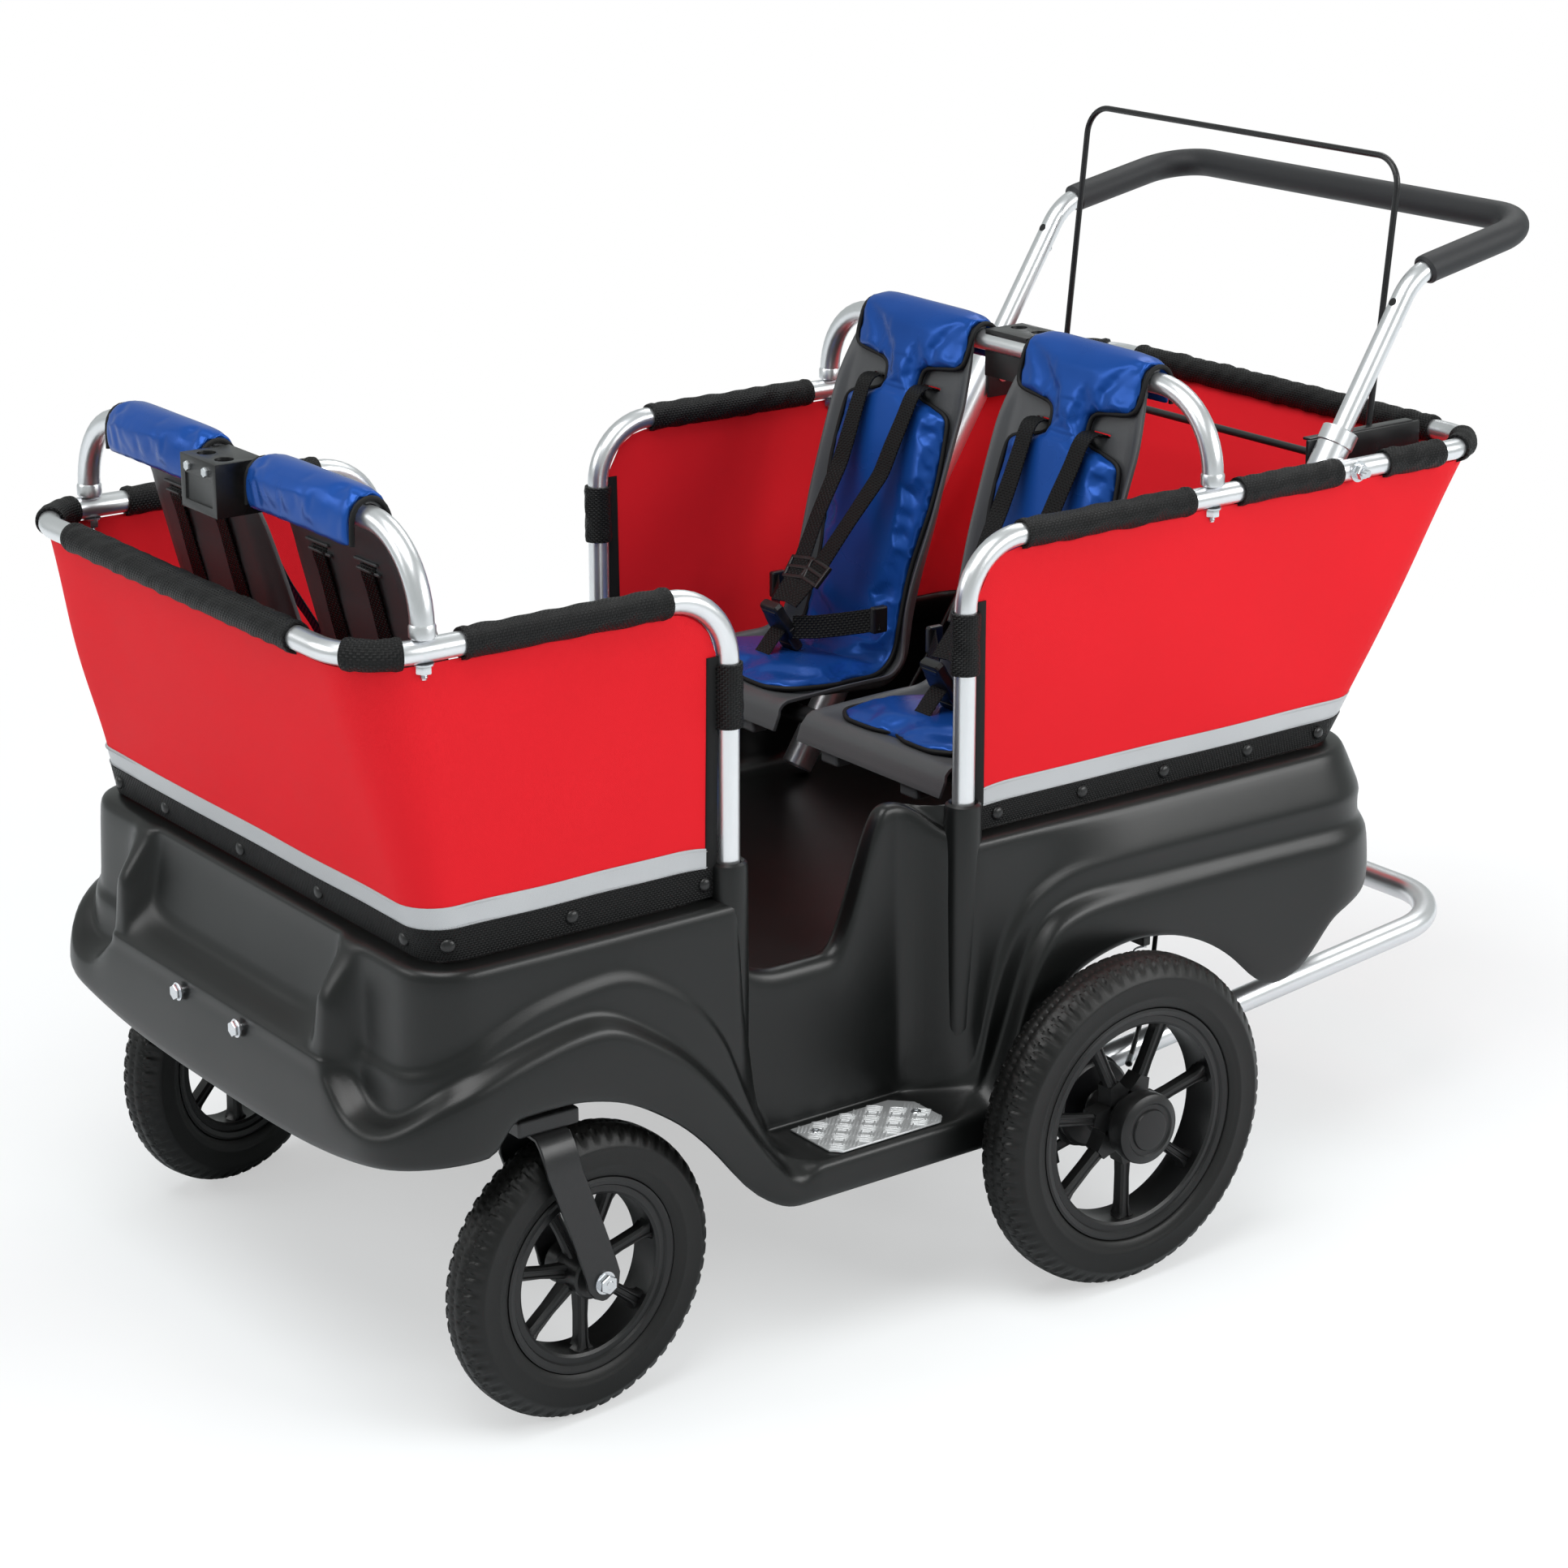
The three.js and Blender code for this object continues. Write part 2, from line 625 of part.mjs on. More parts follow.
// Section of the tub's wall at one place, as [offset out of the ledge's edge, height], underside first
function skinSection(station, y) {
  const { zone, x, turn } = station;
  const ahead = zone === 'front' || zone === 'frontCorner';
  const behind = zone === 'rear' || zone === 'rearCorner';
  const out = Math.abs(x) / tubHalfWidth;
  let edge = skinEdge(y);
  if (ahead) edge = mix(noseBottomZ, noseCornerZ, out ** 3);
  let lower = lowerRidge(y);
  let upper = Math.max(upperRidge(y), lower + fenderBlend + ridgeGap);
  if (behind) upper = upperRidge(tubRearY);
  let low = fenderDepth;
  if (ahead) low = mix(bumperDepth, fenderDepth, zone === 'front' ? 0 : turn);
  const sill = zone === 'side' ? smooth((y - sillFrontY + sillRun) / sillRun) * smooth((sillRearY + sillRun - y) / sillRun) : 0;
  low += (sillDepth - fenderDepth) * sill;
  let middle = fenderStep;
  let high = skinDraft;
  const nose = zone === 'front' ? 1 - smooth((x - noseHalfWidth) / noseEdgeBlend + 0.5) : 0;
  const recess = zone === 'front' ? 1 - smooth((x - recessHalfWidth) / recessBlend + 0.5) : 0;
  const noseAt = (share) => mix(bumperDepth, noseTopDepth, share);
  const cavity = smooth((lower - cavityFromZ) / cavityRun);
  const cavityTop = lower - cavityDrop + noseCavityRise * nose;
  const blend = fenderBlend / 2;
  const topZ = tubLedgeZ - tubLedgeRise;
  const points = [
    [-tubWall - tubFloorFillet, tubUndersideZ],
    [mix(-tubWall, 0, cavity), tubUndersideZ + tubLedgeRise / 2],
    [mix(-tubWall, 0, cavity), mix(tubUndersideZ - tubLedgeRise, cavityTop, cavity)],
    [mix(-tubWall / 2, low - tubSkirtWall, cavity), mix(lower, cavityTop, cavity)],
    [low - tubSkirtWall, edge],
    [low, edge],
    [low + skinRound, edge + skinRise],
    [low, lower - blend],
    [mix(middle, noseAt(0.05), nose), lower + blend],
    [mix(middle - skinRound / 2, noseAt(0.1), nose), upper - blend],
    [mix(high, noseAt(0.25) - recessDepth * recess, nose), upper + blend],
    [mix(0, noseAt(1) - recessDepth * recess * 0.75, nose), topZ],
    [-ledgeRound, tubLedgeZ],
    [-tubLedgeWidth, tubLedgeZ + tubLedgeRise / 2],
    [-tubLedgeWidth - uprightDraft, tubTopZ],
    [-tubLedgeWidth - uprightDraft - tubRimWidth, tubTopZ],
    [-tubLedgeWidth - uprightDraft - tubRimWidth, tubLedgeZ + tubWall],
    [-tubWall, tubLedgeZ - tubWall],
    [-tubWall, tubFloorZ + tubFloorFillet],
    [-tubWall - tubFloorFillet, tubFloorZ],
  ];
  return points;
}
// The same section in the doorway: sill, step, riser and rounded threshold
const doorX = (share) => mix(doorWallX, doorInnerX, share) - tubHalfWidth;
const stepSection = [
  [doorX(1) - tubFloorFillet / 2, tubUndersideZ], [doorX(0.75), tubUndersideZ - stepRound / 2],
  [doorX(0.4), tubUndersideZ - stepRound * 3], [doorX(0.2), stepZ - stepRound * 1.5],
  [sillDepth - tubSkirtWall, sillBottomZ + stepRound / 2], [sillDepth, sillBottomZ],
  [sillDepth + skinRound, sillBottomZ + skinRise],
  [sillDepth, stepZ - skinRound], [doorX(0) + stepRound, stepZ],
  [doorX(0), stepZ + stepRound],
];
const thresholdSection = [
  [doorX(0.02), mix(stepZ, lipZ, 0.4)], [doorX(0.08), lipZ - lipRound],
  [doorX(0.22), lipZ - lipRound / 4], [doorX(0.42), lipZ], [doorX(0.66), lipZ - lipRound / 4],
  [doorX(0.84), lipZ - lipRound], [doorX(0.9), mix(lipZ - lipRound, tubFloorZ, 0.35)],
  [doorX(0.93), mix(lipZ - lipRound, tubFloorZ, 0.55)],
  [doorX(0.96), mix(lipZ - lipRound, tubFloorZ, 0.8)], [doorX(1) - tubFloorFillet / 2, tubFloorZ],
];
const columnSection = [
  [doorX(0.02), mix(stepZ, tubTopZ, 0.35)], [doorX(0.02), tubTopZ - lipRound * 2], [doorX(0.08), tubTopZ - lipRound], [doorX(0.24), tubTopZ - lipRound / 4],
  [doorX(0.4), tubTopZ], [doorX(0.62), tubTopZ - lipRound / 2], [doorX(0.76), tubTopZ - lipRound * 2],
  [doorX(0.8), mix(lipZ, tubTopZ, 0.5)], [doorX(0.84), tubFloorZ + tubFloorFillet],
  [doorX(1) - tubFloorFillet / 2, tubFloorZ],
];
function wallSection(station, y) {
  const skin = skinSection(station, y);
  if (station.zone !== 'side' || station.y < doorFrontY) return skin;
  const deep = 1 - smooth((station.y - doorRampY) / (sillRearY - doorRampY));
  const sunk = 1 - smooth((y - lipRearY) / lipRearRun);
  const frontRise = lipFrontRise * (1 - smooth((y - doorFrontY) / lipFrontRun));
  return skin.map(([offset, height], i) => {
    if (i < stepSection.length) {
      return [mix(offset, stepSection[i][0], deep), mix(height, stepSection[i][1], deep)];
    }
    const k = i - stepSection.length;
    const [a, b] = thresholdSection[k];
    const [c, d] = columnSection[k];
    const rise = k > 0 && k < thresholdSection.length - 1 ? frontRise : 0;
    return [mix(offset, mix(c, a, sunk), deep), mix(height, mix(d, b + rise, sunk), deep)];
  });
}
function tubPoint(station, k) {
  let y = station.y;
  let section = wallSection(station, y);
  if (station.zone === 'side') {
    const near = station.y < doorFrontY
      ? smooth((station.y - doorFrontY + edgeSweepRun) / edgeSweepRun)
      : 1 - smooth((station.y - doorFrontY) / edgeSweepRun);
    y += near * edgeSweep * smooth((tubUndersideZ - section[k][1]) / edgeSweepDrop);
    section = wallSection(station, y);
  }
  const [offset, height] = section[k];
  return V(station.x + station.nx * offset, y + station.ny * offset, height);
}
function tubSolid() {
  const half = ledgeStations();
  const rings = skinSection(half[0], half[0].y).map((_, k) => {
    const points = half.map((station) => tubPoint(station, k));
    const other = points.slice(1, -1).reverse().map((p) => V(-p.x, p.y, p.z));
    return [...points, ...other];
  });
  let tub = loft(rings);
  for (const side of [1, -1]) {
    for (const postY of [frontPostY, rearPostY]) {
      const profile = [
        [0, bossFootZ], [bossRadius / 2, bossFootZ + bossRadius / 4], [bossRadius, bossFootZ + bossRadius],
        [bossRadius, tubTopZ], [0, tubTopZ],
      ];
      tub = tub.add(turnedZ(profile, hubSides).translate([side * railHalfWidth, postY, 0]));
      const bore = straight(V(0, 0, postFootZ - seatGap), V(0, 0, tubTopZ + cutOverrun), around(railRadius));
      tub = tub.subtract(bore.translate([side * railHalfWidth, postY, 0]));
    }
    const boltHole = straight(
      V(0, tubFrontY - bumperDepth - cutOverrun, 0), V(0, tubFrontY, 0), around(noseBoltRadius), 8);
    tub = tub.subtract(boltHole.translate([side * noseBoltX, 0, noseBoltZ]));
    const cableHole = straight(V(0, 0, tubUndersideZ - cutOverrun), V(0, 0, tubFloorZ + cutOverrun), around(cableRadius, 8), 8);
    tub = tub.subtract(cableHole.translate([side * cableHoleX, cableHoleY, 0]));
  }
  return tub;
}

// Rails: two posts in the tub's bosses, two side runs and one run across
const railX = railHalfWidth;
function railStations(postY, runY) {
  const corners = [
    V(-railX, postY, postFootZ), V(-railX, postY, railZ), V(-railX, runY, railZ),
    V(railX, runY, railZ), V(railX, postY, railZ), V(railX, postY, postFootZ),
  ];
  return bentLine(corners, [postBendRadius, railCornerRadius, railCornerRadius, postBendRadius]);
}
function railSolid(postY, runY, hoopY) {
  let rail = rod(railStations(postY, runY), railRadius);
  for (const side of [1, -1]) {
    const hole = straight(
      V(side * railX, hoopY, railZ - railRadius - cutOverrun), V(side * railX, hoopY, railZ + railRadius + cutOverrun),
      around(hoopBoltRadius, wireSides), wireSides);
    rail = rail.subtract(hole);
  }
  return rail;
}
function hoopSolid(hoopY) {
  const footZ = railZ + railRadius + seatGap;
  const corners = [V(-railX, hoopY, footZ), V(-railX, hoopY, hoopTopZ), V(railX, hoopY, hoopTopZ), V(railX, hoopY, footZ)];
  let hoop = rod(bentLine(corners, [hoopCornerRadius, hoopCornerRadius]), railRadius);
  for (const side of [1, -1]) {
    const nutZ = railZ - railRadius - seatGap;
    const bolt = straight(
      V(side * railX, hoopY, nutZ - hoopNutDrop), V(side * railX, hoopY, footZ + cutOverrun), hoopBoltRadius, wireSides);
    const nut = straight(V(side * railX, hoopY, nutZ - hoopNutHeight), V(side * railX, hoopY, nutZ), hoopNutRadius, 6);
    hoop = union(hoop, bolt, nut);
  }
  return hoop;
}

// Canopy sockets: blocks that grip the hoop from its outer side, with two pole holes
function socketSolid(hoopY, facing) {
  const top = hoopTopZ + railRadius + socketCap;
  const depth = socketDepth + railRadius;
  const centreY = hoopY + facing * (depth / 2 - socketLap);
  let body = block(socketWidth, depth, socketHeight, 0, centreY, top - socketHeight / 2);
  const hoopBore = straight(
    V(-socketWidth, hoopY, hoopTopZ), V(socketWidth, hoopY, hoopTopZ), around(railRadius));
  body = body.subtract(hoopBore);
  const holeY = hoopY + facing * (railRadius + socketHoleRadius + socketWall);
  for (const side of [1, -1]) {
    const x = side * socketHoleSpacing / 2;
    body = body.subtract(straight(V(x, holeY, top - socketHoleDepth), V(x, holeY, top + cutOverrun), socketHoleRadius));
  }
  return body;
}

// Seat parts are drawn in a seat frame: x across from the seat's middle, f from the hoop to the knees, h up
function alongLine(line, share) {
  const lengths = line.slice(1).map((p, i) => p.distanceTo(line[i]));
  let left = share * lengths.reduce((a, b) => a + b, 0);
  let i = 0;
  while (i < lengths.length - 1 && left > lengths[i]) {
    left -= lengths[i];
    i += 1;
  }
  const at = line[i].clone().lerp(line[i + 1], Math.min(1, left / lengths[i]));
  return at;
}
const tangentReach = 0.004;
function lineShares(line) {
  const sums = [0];
  line.slice(1).forEach((p, i) => sums.push(sums[i] + p.distanceTo(line[i])));
  return sums.map((sum) => sum / sums.at(-1));
}
// Stations of a seat part: its own shares and the line's, so that neighbours bend at the same places
function seatSheet(line, table, section) {
  const width = curveThrough(table.map(([at, value]) => [at, value]));
  const depth = curveThrough(table.map(([at, , value]) => [at, value]));
  const own = table.map(([at]) => at);
  const shared = lineShares(line).filter((at, i, all) => (
    at > own[0] && at < own.at(-1) && at - all[i - 1] > tangentReach
    && own.every((value) => Math.abs(value - at) > tangentReach)));
  const shares = [...own, ...shared].sort((a, b) => a - b);
  return loft(shares.map((share) => {
    const at = alongLine(line, share);
    const tangent = alongLine(line, Math.min(1, share + tangentReach))
      .sub(alongLine(line, Math.max(0, share - tangentReach))).normalize();
    const normal = V(0, -tangent.z, tangent.y);
    return section(width(share), depth(share)).map(([x, n]) => at.clone().addScaledVector(normal, n).setX(x));
  }));
}
// The shell's middle surface: over the hoop, down the back, round the crease and along the pan to its lip
const hookRadius = railRadius + hookClearance + shellThickness / 2;
const creaseZ = seatPanZ - seatPanDip;
const backReach = (hookRadius * Math.sin(seatLean) + hoopTopZ - creaseZ) / Math.cos(seatLean);
const seatLine = bentLine([
  V(0, -hookRadius, hoopTopZ - padHoodDrop), V(0, -hookRadius, hoopTopZ + hookRadius),
  V(0, hookRadius * (1 - Math.sin(seatLean)) / Math.cos(seatLean), hoopTopZ + hookRadius),
  V(0, hookRadius * Math.cos(seatLean) + backReach * Math.sin(seatLean), creaseZ),
  V(0, seatReach, seatPanZ), V(0, seatReach + seatLipRun, seatPanZ - seatLipDrop),
], [hookRadius, hookRadius, seatCreaseRadius, seatLipRadius], seatArcSteps);
const backFace = (z) => hookRadius * Math.cos(seatLean) + Math.tan(seatLean) * (hoopTopZ + hookRadius * Math.sin(seatLean) - z);
function shellSection(widthShare, flangeShare) {
  const t = shellThickness;
  const halfWidth = widthShare * shellPanHalfWidth;
  const flange = flangeShare * shellFlange;
  const rise = Math.max(flange, t / 2 + seatGap);
  return [
    [-halfWidth, rise], [-halfWidth, -t / 2], [halfWidth, -t / 2], [halfWidth, rise],
    [halfWidth - t, t / 2], [-halfWidth + t, t / 2],
  ];
}
function shellSolid() {
  let shell = seatSheet(seatLine, shellShares, shellSection);
  for (const side of [1, -1]) {
    const slot = block(shellSlotWidth, shellSlotReach, shellSlotHeight, side * shellSlotX, backFace(shellSlotZ), shellSlotZ);
    shell = shell.subtract(slot);
  }
  return shell;
}
function padSection(widthShare, thickShare) {
  const w = widthShare * padSeatHalfWidth;
  const thickness = thickShare * padThickness;
  const base = shellThickness / 2 + seatGap;
  const middle = base + thickness * 0.4;
  return [
    [-w, middle], [-w * 0.94, base], [w * 0.94, base], [w, middle],
    [w * 0.84, base + thickness * 0.92], [0, base + thickness], [-w * 0.84, base + thickness * 0.92],
  ];
}
const padSolid = () => seatSheet(seatLine, padShares, padSection);
function strap(points, width) {
  const flat = V(1, 0, 0);
  return loft(points.map((p, i) => {
    const before = points[Math.max(0, i - 1)];
    const after = points[Math.min(points.length - 1, i + 1)];
    const tangent = after.clone().sub(before).normalize();
    const level = Math.abs(tangent.x) > 0.85;
    const across = level ? V(0, 0, 1) : flat.clone().addScaledVector(tangent, -tangent.x).normalize();
    const normal = tangent.clone().cross(across).normalize();
    const square = normal.clone().cross(tangent).normalize();
    const w = width / 2;
    const t = strapThickness / 2;
    return [[-w, -t], [w, -t], [w, t], [-w, t]].map(([a, b]) => (
      p.clone().addScaledVector(square, a).addScaledVector(normal, b)));
  }));
}
function harnessSolid() {
  const behind = (shellThickness + strapThickness) / 2 + seatGap;
  const slotPass = shellSlotZ + (strapThickness - shellSlotHeight) / 2 + seatGap;
  const onBack = (x, z, off) => V(x, backFace(z) + off * Math.cos(seatLean), z + off * Math.sin(seatLean));
  let harness = block(buckleWidth, buckleThickness, buckleLength, 0, 0, 0);
  const toBuckle = new THREE.Matrix4().makeRotationX(-buckleTilt).setPosition(buckleX, buckleF, buckleH);
  harness = harness.transform(toBuckle.elements);
  for (const side of [1, -1]) {
    const shoulder = [
      onBack(side * shellSlotX, strapTailZ, -behind), onBack(side * shellSlotX, shellSlotZ - shellSlotWidth, -behind),
      onBack(side * shellSlotX, slotPass, -behind - strapThickness), onBack(side * shellSlotX, slotPass, strapLift),
      onBack(side * strapHangX, strapHangZ, strapHang), V(side * strapThickness, buckleF, buckleH + strapThickness),
    ];
    const lap = [V(side * lapX, lapF, lapH), V(side * strapThickness, buckleF, buckleH)];
    harness = union(harness, strap(shoulder, strapWidth), strap(lap, strapWidth));
  }
  return harness.add(strap([V(0, crotchF, crotchH), V(0, buckleF, buckleH)], strapWidth));
}
// Places a seat part behind the rear hoop's or the front hoop's seats
function seatPlace(shape, hoopY, facing, x) {
  const turn = facing > 0 ? new THREE.Matrix4() : new THREE.Matrix4().makeRotationZ(Math.PI);
  return shape.transform(turn.setPosition(x, hoopY, 0).elements);
}

// Cloth walls: one panel from the rail to the ledge, with the sleeves that hold it on the tube
function planLine(halfWidth, runY, cornerRadius, doorY) {
  const sign = Math.sign(runY - doorY);
  const line = [];
  const endY = runY - sign * cornerRadius;
  for (const y of span(doorY, endY, clothSideCount)) line.push([halfWidth, y]);
  for (const turn of [0.25, 0.5, 0.75]) {
    const a = turn * Math.PI / 2;
    line.push([
      halfWidth - cornerRadius * (1 - Math.cos(a)), endY + sign * cornerRadius * Math.sin(a),
    ]);
  }
  for (const x of span(halfWidth - cornerRadius, 0, clothRunCount)) line.push([x, runY]);
  return [...line, ...line.slice(0, -1).reverse().map(([x, y]) => [-x, y])];
}
function clothSolid(postY, runY, hoopY, tubEndY, tubCornerRadius, sleeves) {
  const sign = Math.sign(runY - postY);
  const lowInset = tubLedgeWidth - fabricThickness / 2 - seatGap - uprightDraft;
  const topZ = railZ - railRadius - clothTopGap;
  const levels = clothLevelShares.map((share) => mix(fabricBottomZ, topZ, share));
  const rings = levels.map((_, i) => {
    const share = clothLevelShares[i];
    const doorGap = i < bossLevels ? bossRadius + seatGap * 5 : sleeveRadius - clothOverlap;
    const low = planLine(
      tubHalfWidth - lowInset, tubEndY - sign * lowInset, tubCornerRadius - lowInset, postY + sign * doorGap);
    const high = planLine(railHalfWidth, runY, railCornerRadius, postY + sign * doorGap);
    return low.map(([x, y], k) => {
      const px = mix(x, high[k][0], share);
      const py = mix(y, high[k][1], share);
      const fromPost = Math.abs(py - postY);
      const inner = postBendRadius - railRadius - clothTopGap;
      const reach = postBendRadius - fromPost;
      const drop = reach > 0 ? inner - Math.sqrt(Math.max(0, inner ** 2 - Math.min(reach, inner) ** 2)) : 0;
      const height = mix(fabricBottomZ, topZ - drop, share);
      return V(px, py, height);
    });
  });
  const count = rings[0].length;
  const sections = [];
  for (let k = 0; k < count; k += 1) {
    const outer = [];
    const inner = [];
    rings.forEach((ring) => {
      const p = ring[k];
      const before = ring[Math.max(0, k - 1)];
      const after = ring[Math.min(count - 1, k + 1)];
      const tangent = V(after.x - before.x, after.y - before.y, 0).normalize();
      const normal = V(tangent.y, -tangent.x, 0).multiplyScalar(sign);
      outer.push(p.clone().addScaledVector(normal, fabricThickness / 2));
      inner.push(p.clone().addScaledVector(normal, -fabricThickness / 2));
    });
    sections.push([...outer, ...inner.reverse()]);
  }
  let cloth = loft(sections);
  for (const line of sleeves) cloth = cloth.add(outward(sectionAlong(ringShape(sleeveRadius, sleeveBore), line, sleeveSides)));
  for (const side of [1, -1]) {
    cloth = cloth.subtract(block(
      notchWidth, notchWidth, notchDepth, side * railX, hoopY, railZ - railRadius + seatGap - notchDepth / 2));
  }
  return cloth;
}

// Push handle: straight legs in the sockets, a bend at the grip's start and two plan corners
const lean = V(0, Math.sin(handleLean), Math.cos(handleLean));
const legAt = (z) => handleFootY + (z - handleFootZ) * Math.tan(handleLean);
function handleStations() {
  const corners = [
    V(-handleHalfWidth, legAt(handleLegBottomZ), handleLegBottomZ), V(-handleHalfWidth, legAt(gripEndZ), gripEndZ),
    V(-handleHalfWidth, gripCornerY, gripCornerZ), V(handleHalfWidth, gripCornerY, gripCornerZ),
    V(handleHalfWidth, legAt(gripEndZ), gripEndZ), V(handleHalfWidth, legAt(handleLegBottomZ), handleLegBottomZ),
  ];
  return bentLine(corners, [handleBendRadius, gripCornerRadius, gripCornerRadius, handleBendRadius]);
}
const pinHole = (side, z, radius, from, length) => {
  const start = V(side * handleHalfWidth, legAt(z), z);
  const back = V(0, Math.cos(handleLean), -Math.sin(handleLean));
  return straight(start.clone().addScaledVector(back, from), start.clone().addScaledVector(back, from + length), radius, wireSides);
};
function handleSolid() {
  let handle = rod(handleStations(), handleLegRadius);
  for (const side of [1, -1]) {
    handle = handle.subtract(pinHole(side, handleButtonZ, around(handleButtonRadius, wireSides), -handleButtonSeat, railRadius * 3));
  }
  return handle;
}
function buttonSolid(side) {
  const reach = handleLegRadius + handleButtonProud + handleButtonSeat - handleButtonTravel - seatGap;
  return pinHole(side, handleButtonZ, handleButtonRadius, -handleButtonSeat + handleButtonTravel + seatGap, reach);
}
function ringShape(outer, inner) {
  const ring = disc(outer);
  const bore = new THREE.Path();
  bore.absarc(0, 0, inner, 0, Math.PI * 2, true);
  ring.holes.push(bore);
  return ring;
}
function gripSolid() {
  const line = handleStations();
  const from = line.slice(5, -5);
  const start = line[5].clone().lerp(line[6], gripStartShare);
  const end = line.at(-6).clone().lerp(line.at(-7), gripStartShare);
  return outward(sectionAlong(ringShape(gripRadius, around(handleLegRadius)), [start, ...from.slice(1, -1), end]));
}
function socketTube(side) {
  const bottomZ = tubFloorZ + seatGap + handleTubeRadius * Math.sin(handleLean);
  const from = V(side * handleHalfWidth, legAt(bottomZ), bottomZ);
  const to = V(side * handleHalfWidth, legAt(handleTubeTopZ), handleTubeTopZ);
  let tube = outward(sectionAlong(ringShape(handleTubeRadius, around(handleLegRadius)), [from, to]));
  const boltY = legAt(railZ);
  const spacer = straight(
    V(side * (handleHalfWidth + handleLegRadius + seatGap * 6), boltY, railZ),
    V(side * (railHalfWidth - railRadius - seatGap), boltY, railZ), hoopNutRadius, 8);
  tube = tube.add(spacer);
  return tube;
}

// Brake bail: bent wire with pins turned out through its brackets
const bracketX = handleHalfWidth - handleTubeRadius - seatGap - bracketThickness / 2;
function bailSolid() {
  const slope = (bailTopY - bailPivotY) / (bailTopZ - bailPivotZ);
  const pinX = bracketX + bracketThickness / 2;
  const corners = [
    V(-pinX, bailPivotY, bailPivotZ), V(-bailHalfWidth, bailPivotY, bailPivotZ), V(-bailHalfWidth, bailTopY, bailTopZ),
    V(bailHalfWidth, bailTopY, bailTopZ), V(bailHalfWidth, bailPivotY, bailPivotZ), V(pinX, bailPivotY, bailPivotZ),
  ];
  const tight = bailRadius * 1.6;
  let bail = rod(bentLine(corners, [tight, bailCornerRadius, bailCornerRadius, tight], 3), bailRadius, wireSides);
  for (const side of [1, -1]) {
    const tail = V(side * bailHalfWidth, bailPivotY, bailPivotZ);
    bail = bail.add(straight(tail, tail.clone().add(V(0, -slope * bailTailLength, -bailTailLength)), bailRadius, wireSides));
  }
  return bail;
}
function bracketSolid(side) {
  const outline = new THREE.Shape();
  const points = [
    [bracketFrontY, bracketTopZ], [bracketRearY, bracketTopZ], [bracketRearY, bracketTopZ - bracketHeight * 0.7],
    [bailPivotY, bracketTopZ - bracketHeight], [bracketFrontY, bracketTopZ - bracketHeight],
  ];
  points.forEach(([y, z], i) => (i ? outline.lineTo(y, z) : outline.moveTo(y, z)));
  outline.closePath();
  const plate = new THREE.ExtrudeGeometry(outline, { depth: bracketThickness, bevelEnabled: false });
  plate.applyMatrix4(new THREE.Matrix4().makeBasis(V(0, 1, 0), V(0, 0, 1), V(1, 0, 0)));
  plate.translate(side * bracketX - bracketThickness / 2, 0, 0);
  const reach = side * bracketX;
  const hole = straight(
    V(reach - cutOverrun, bailPivotY, bailPivotZ), V(reach + cutOverrun, bailPivotY, bailPivotZ), around(bailRadius, wireSides), wireSides);
  const rodHole = straight(V(reach - cutOverrun, rodY, rodZ), V(reach + cutOverrun, rodY, rodZ), around(rodRadius), 8);
  return cut(outward(plate), hole, rodHole);
}

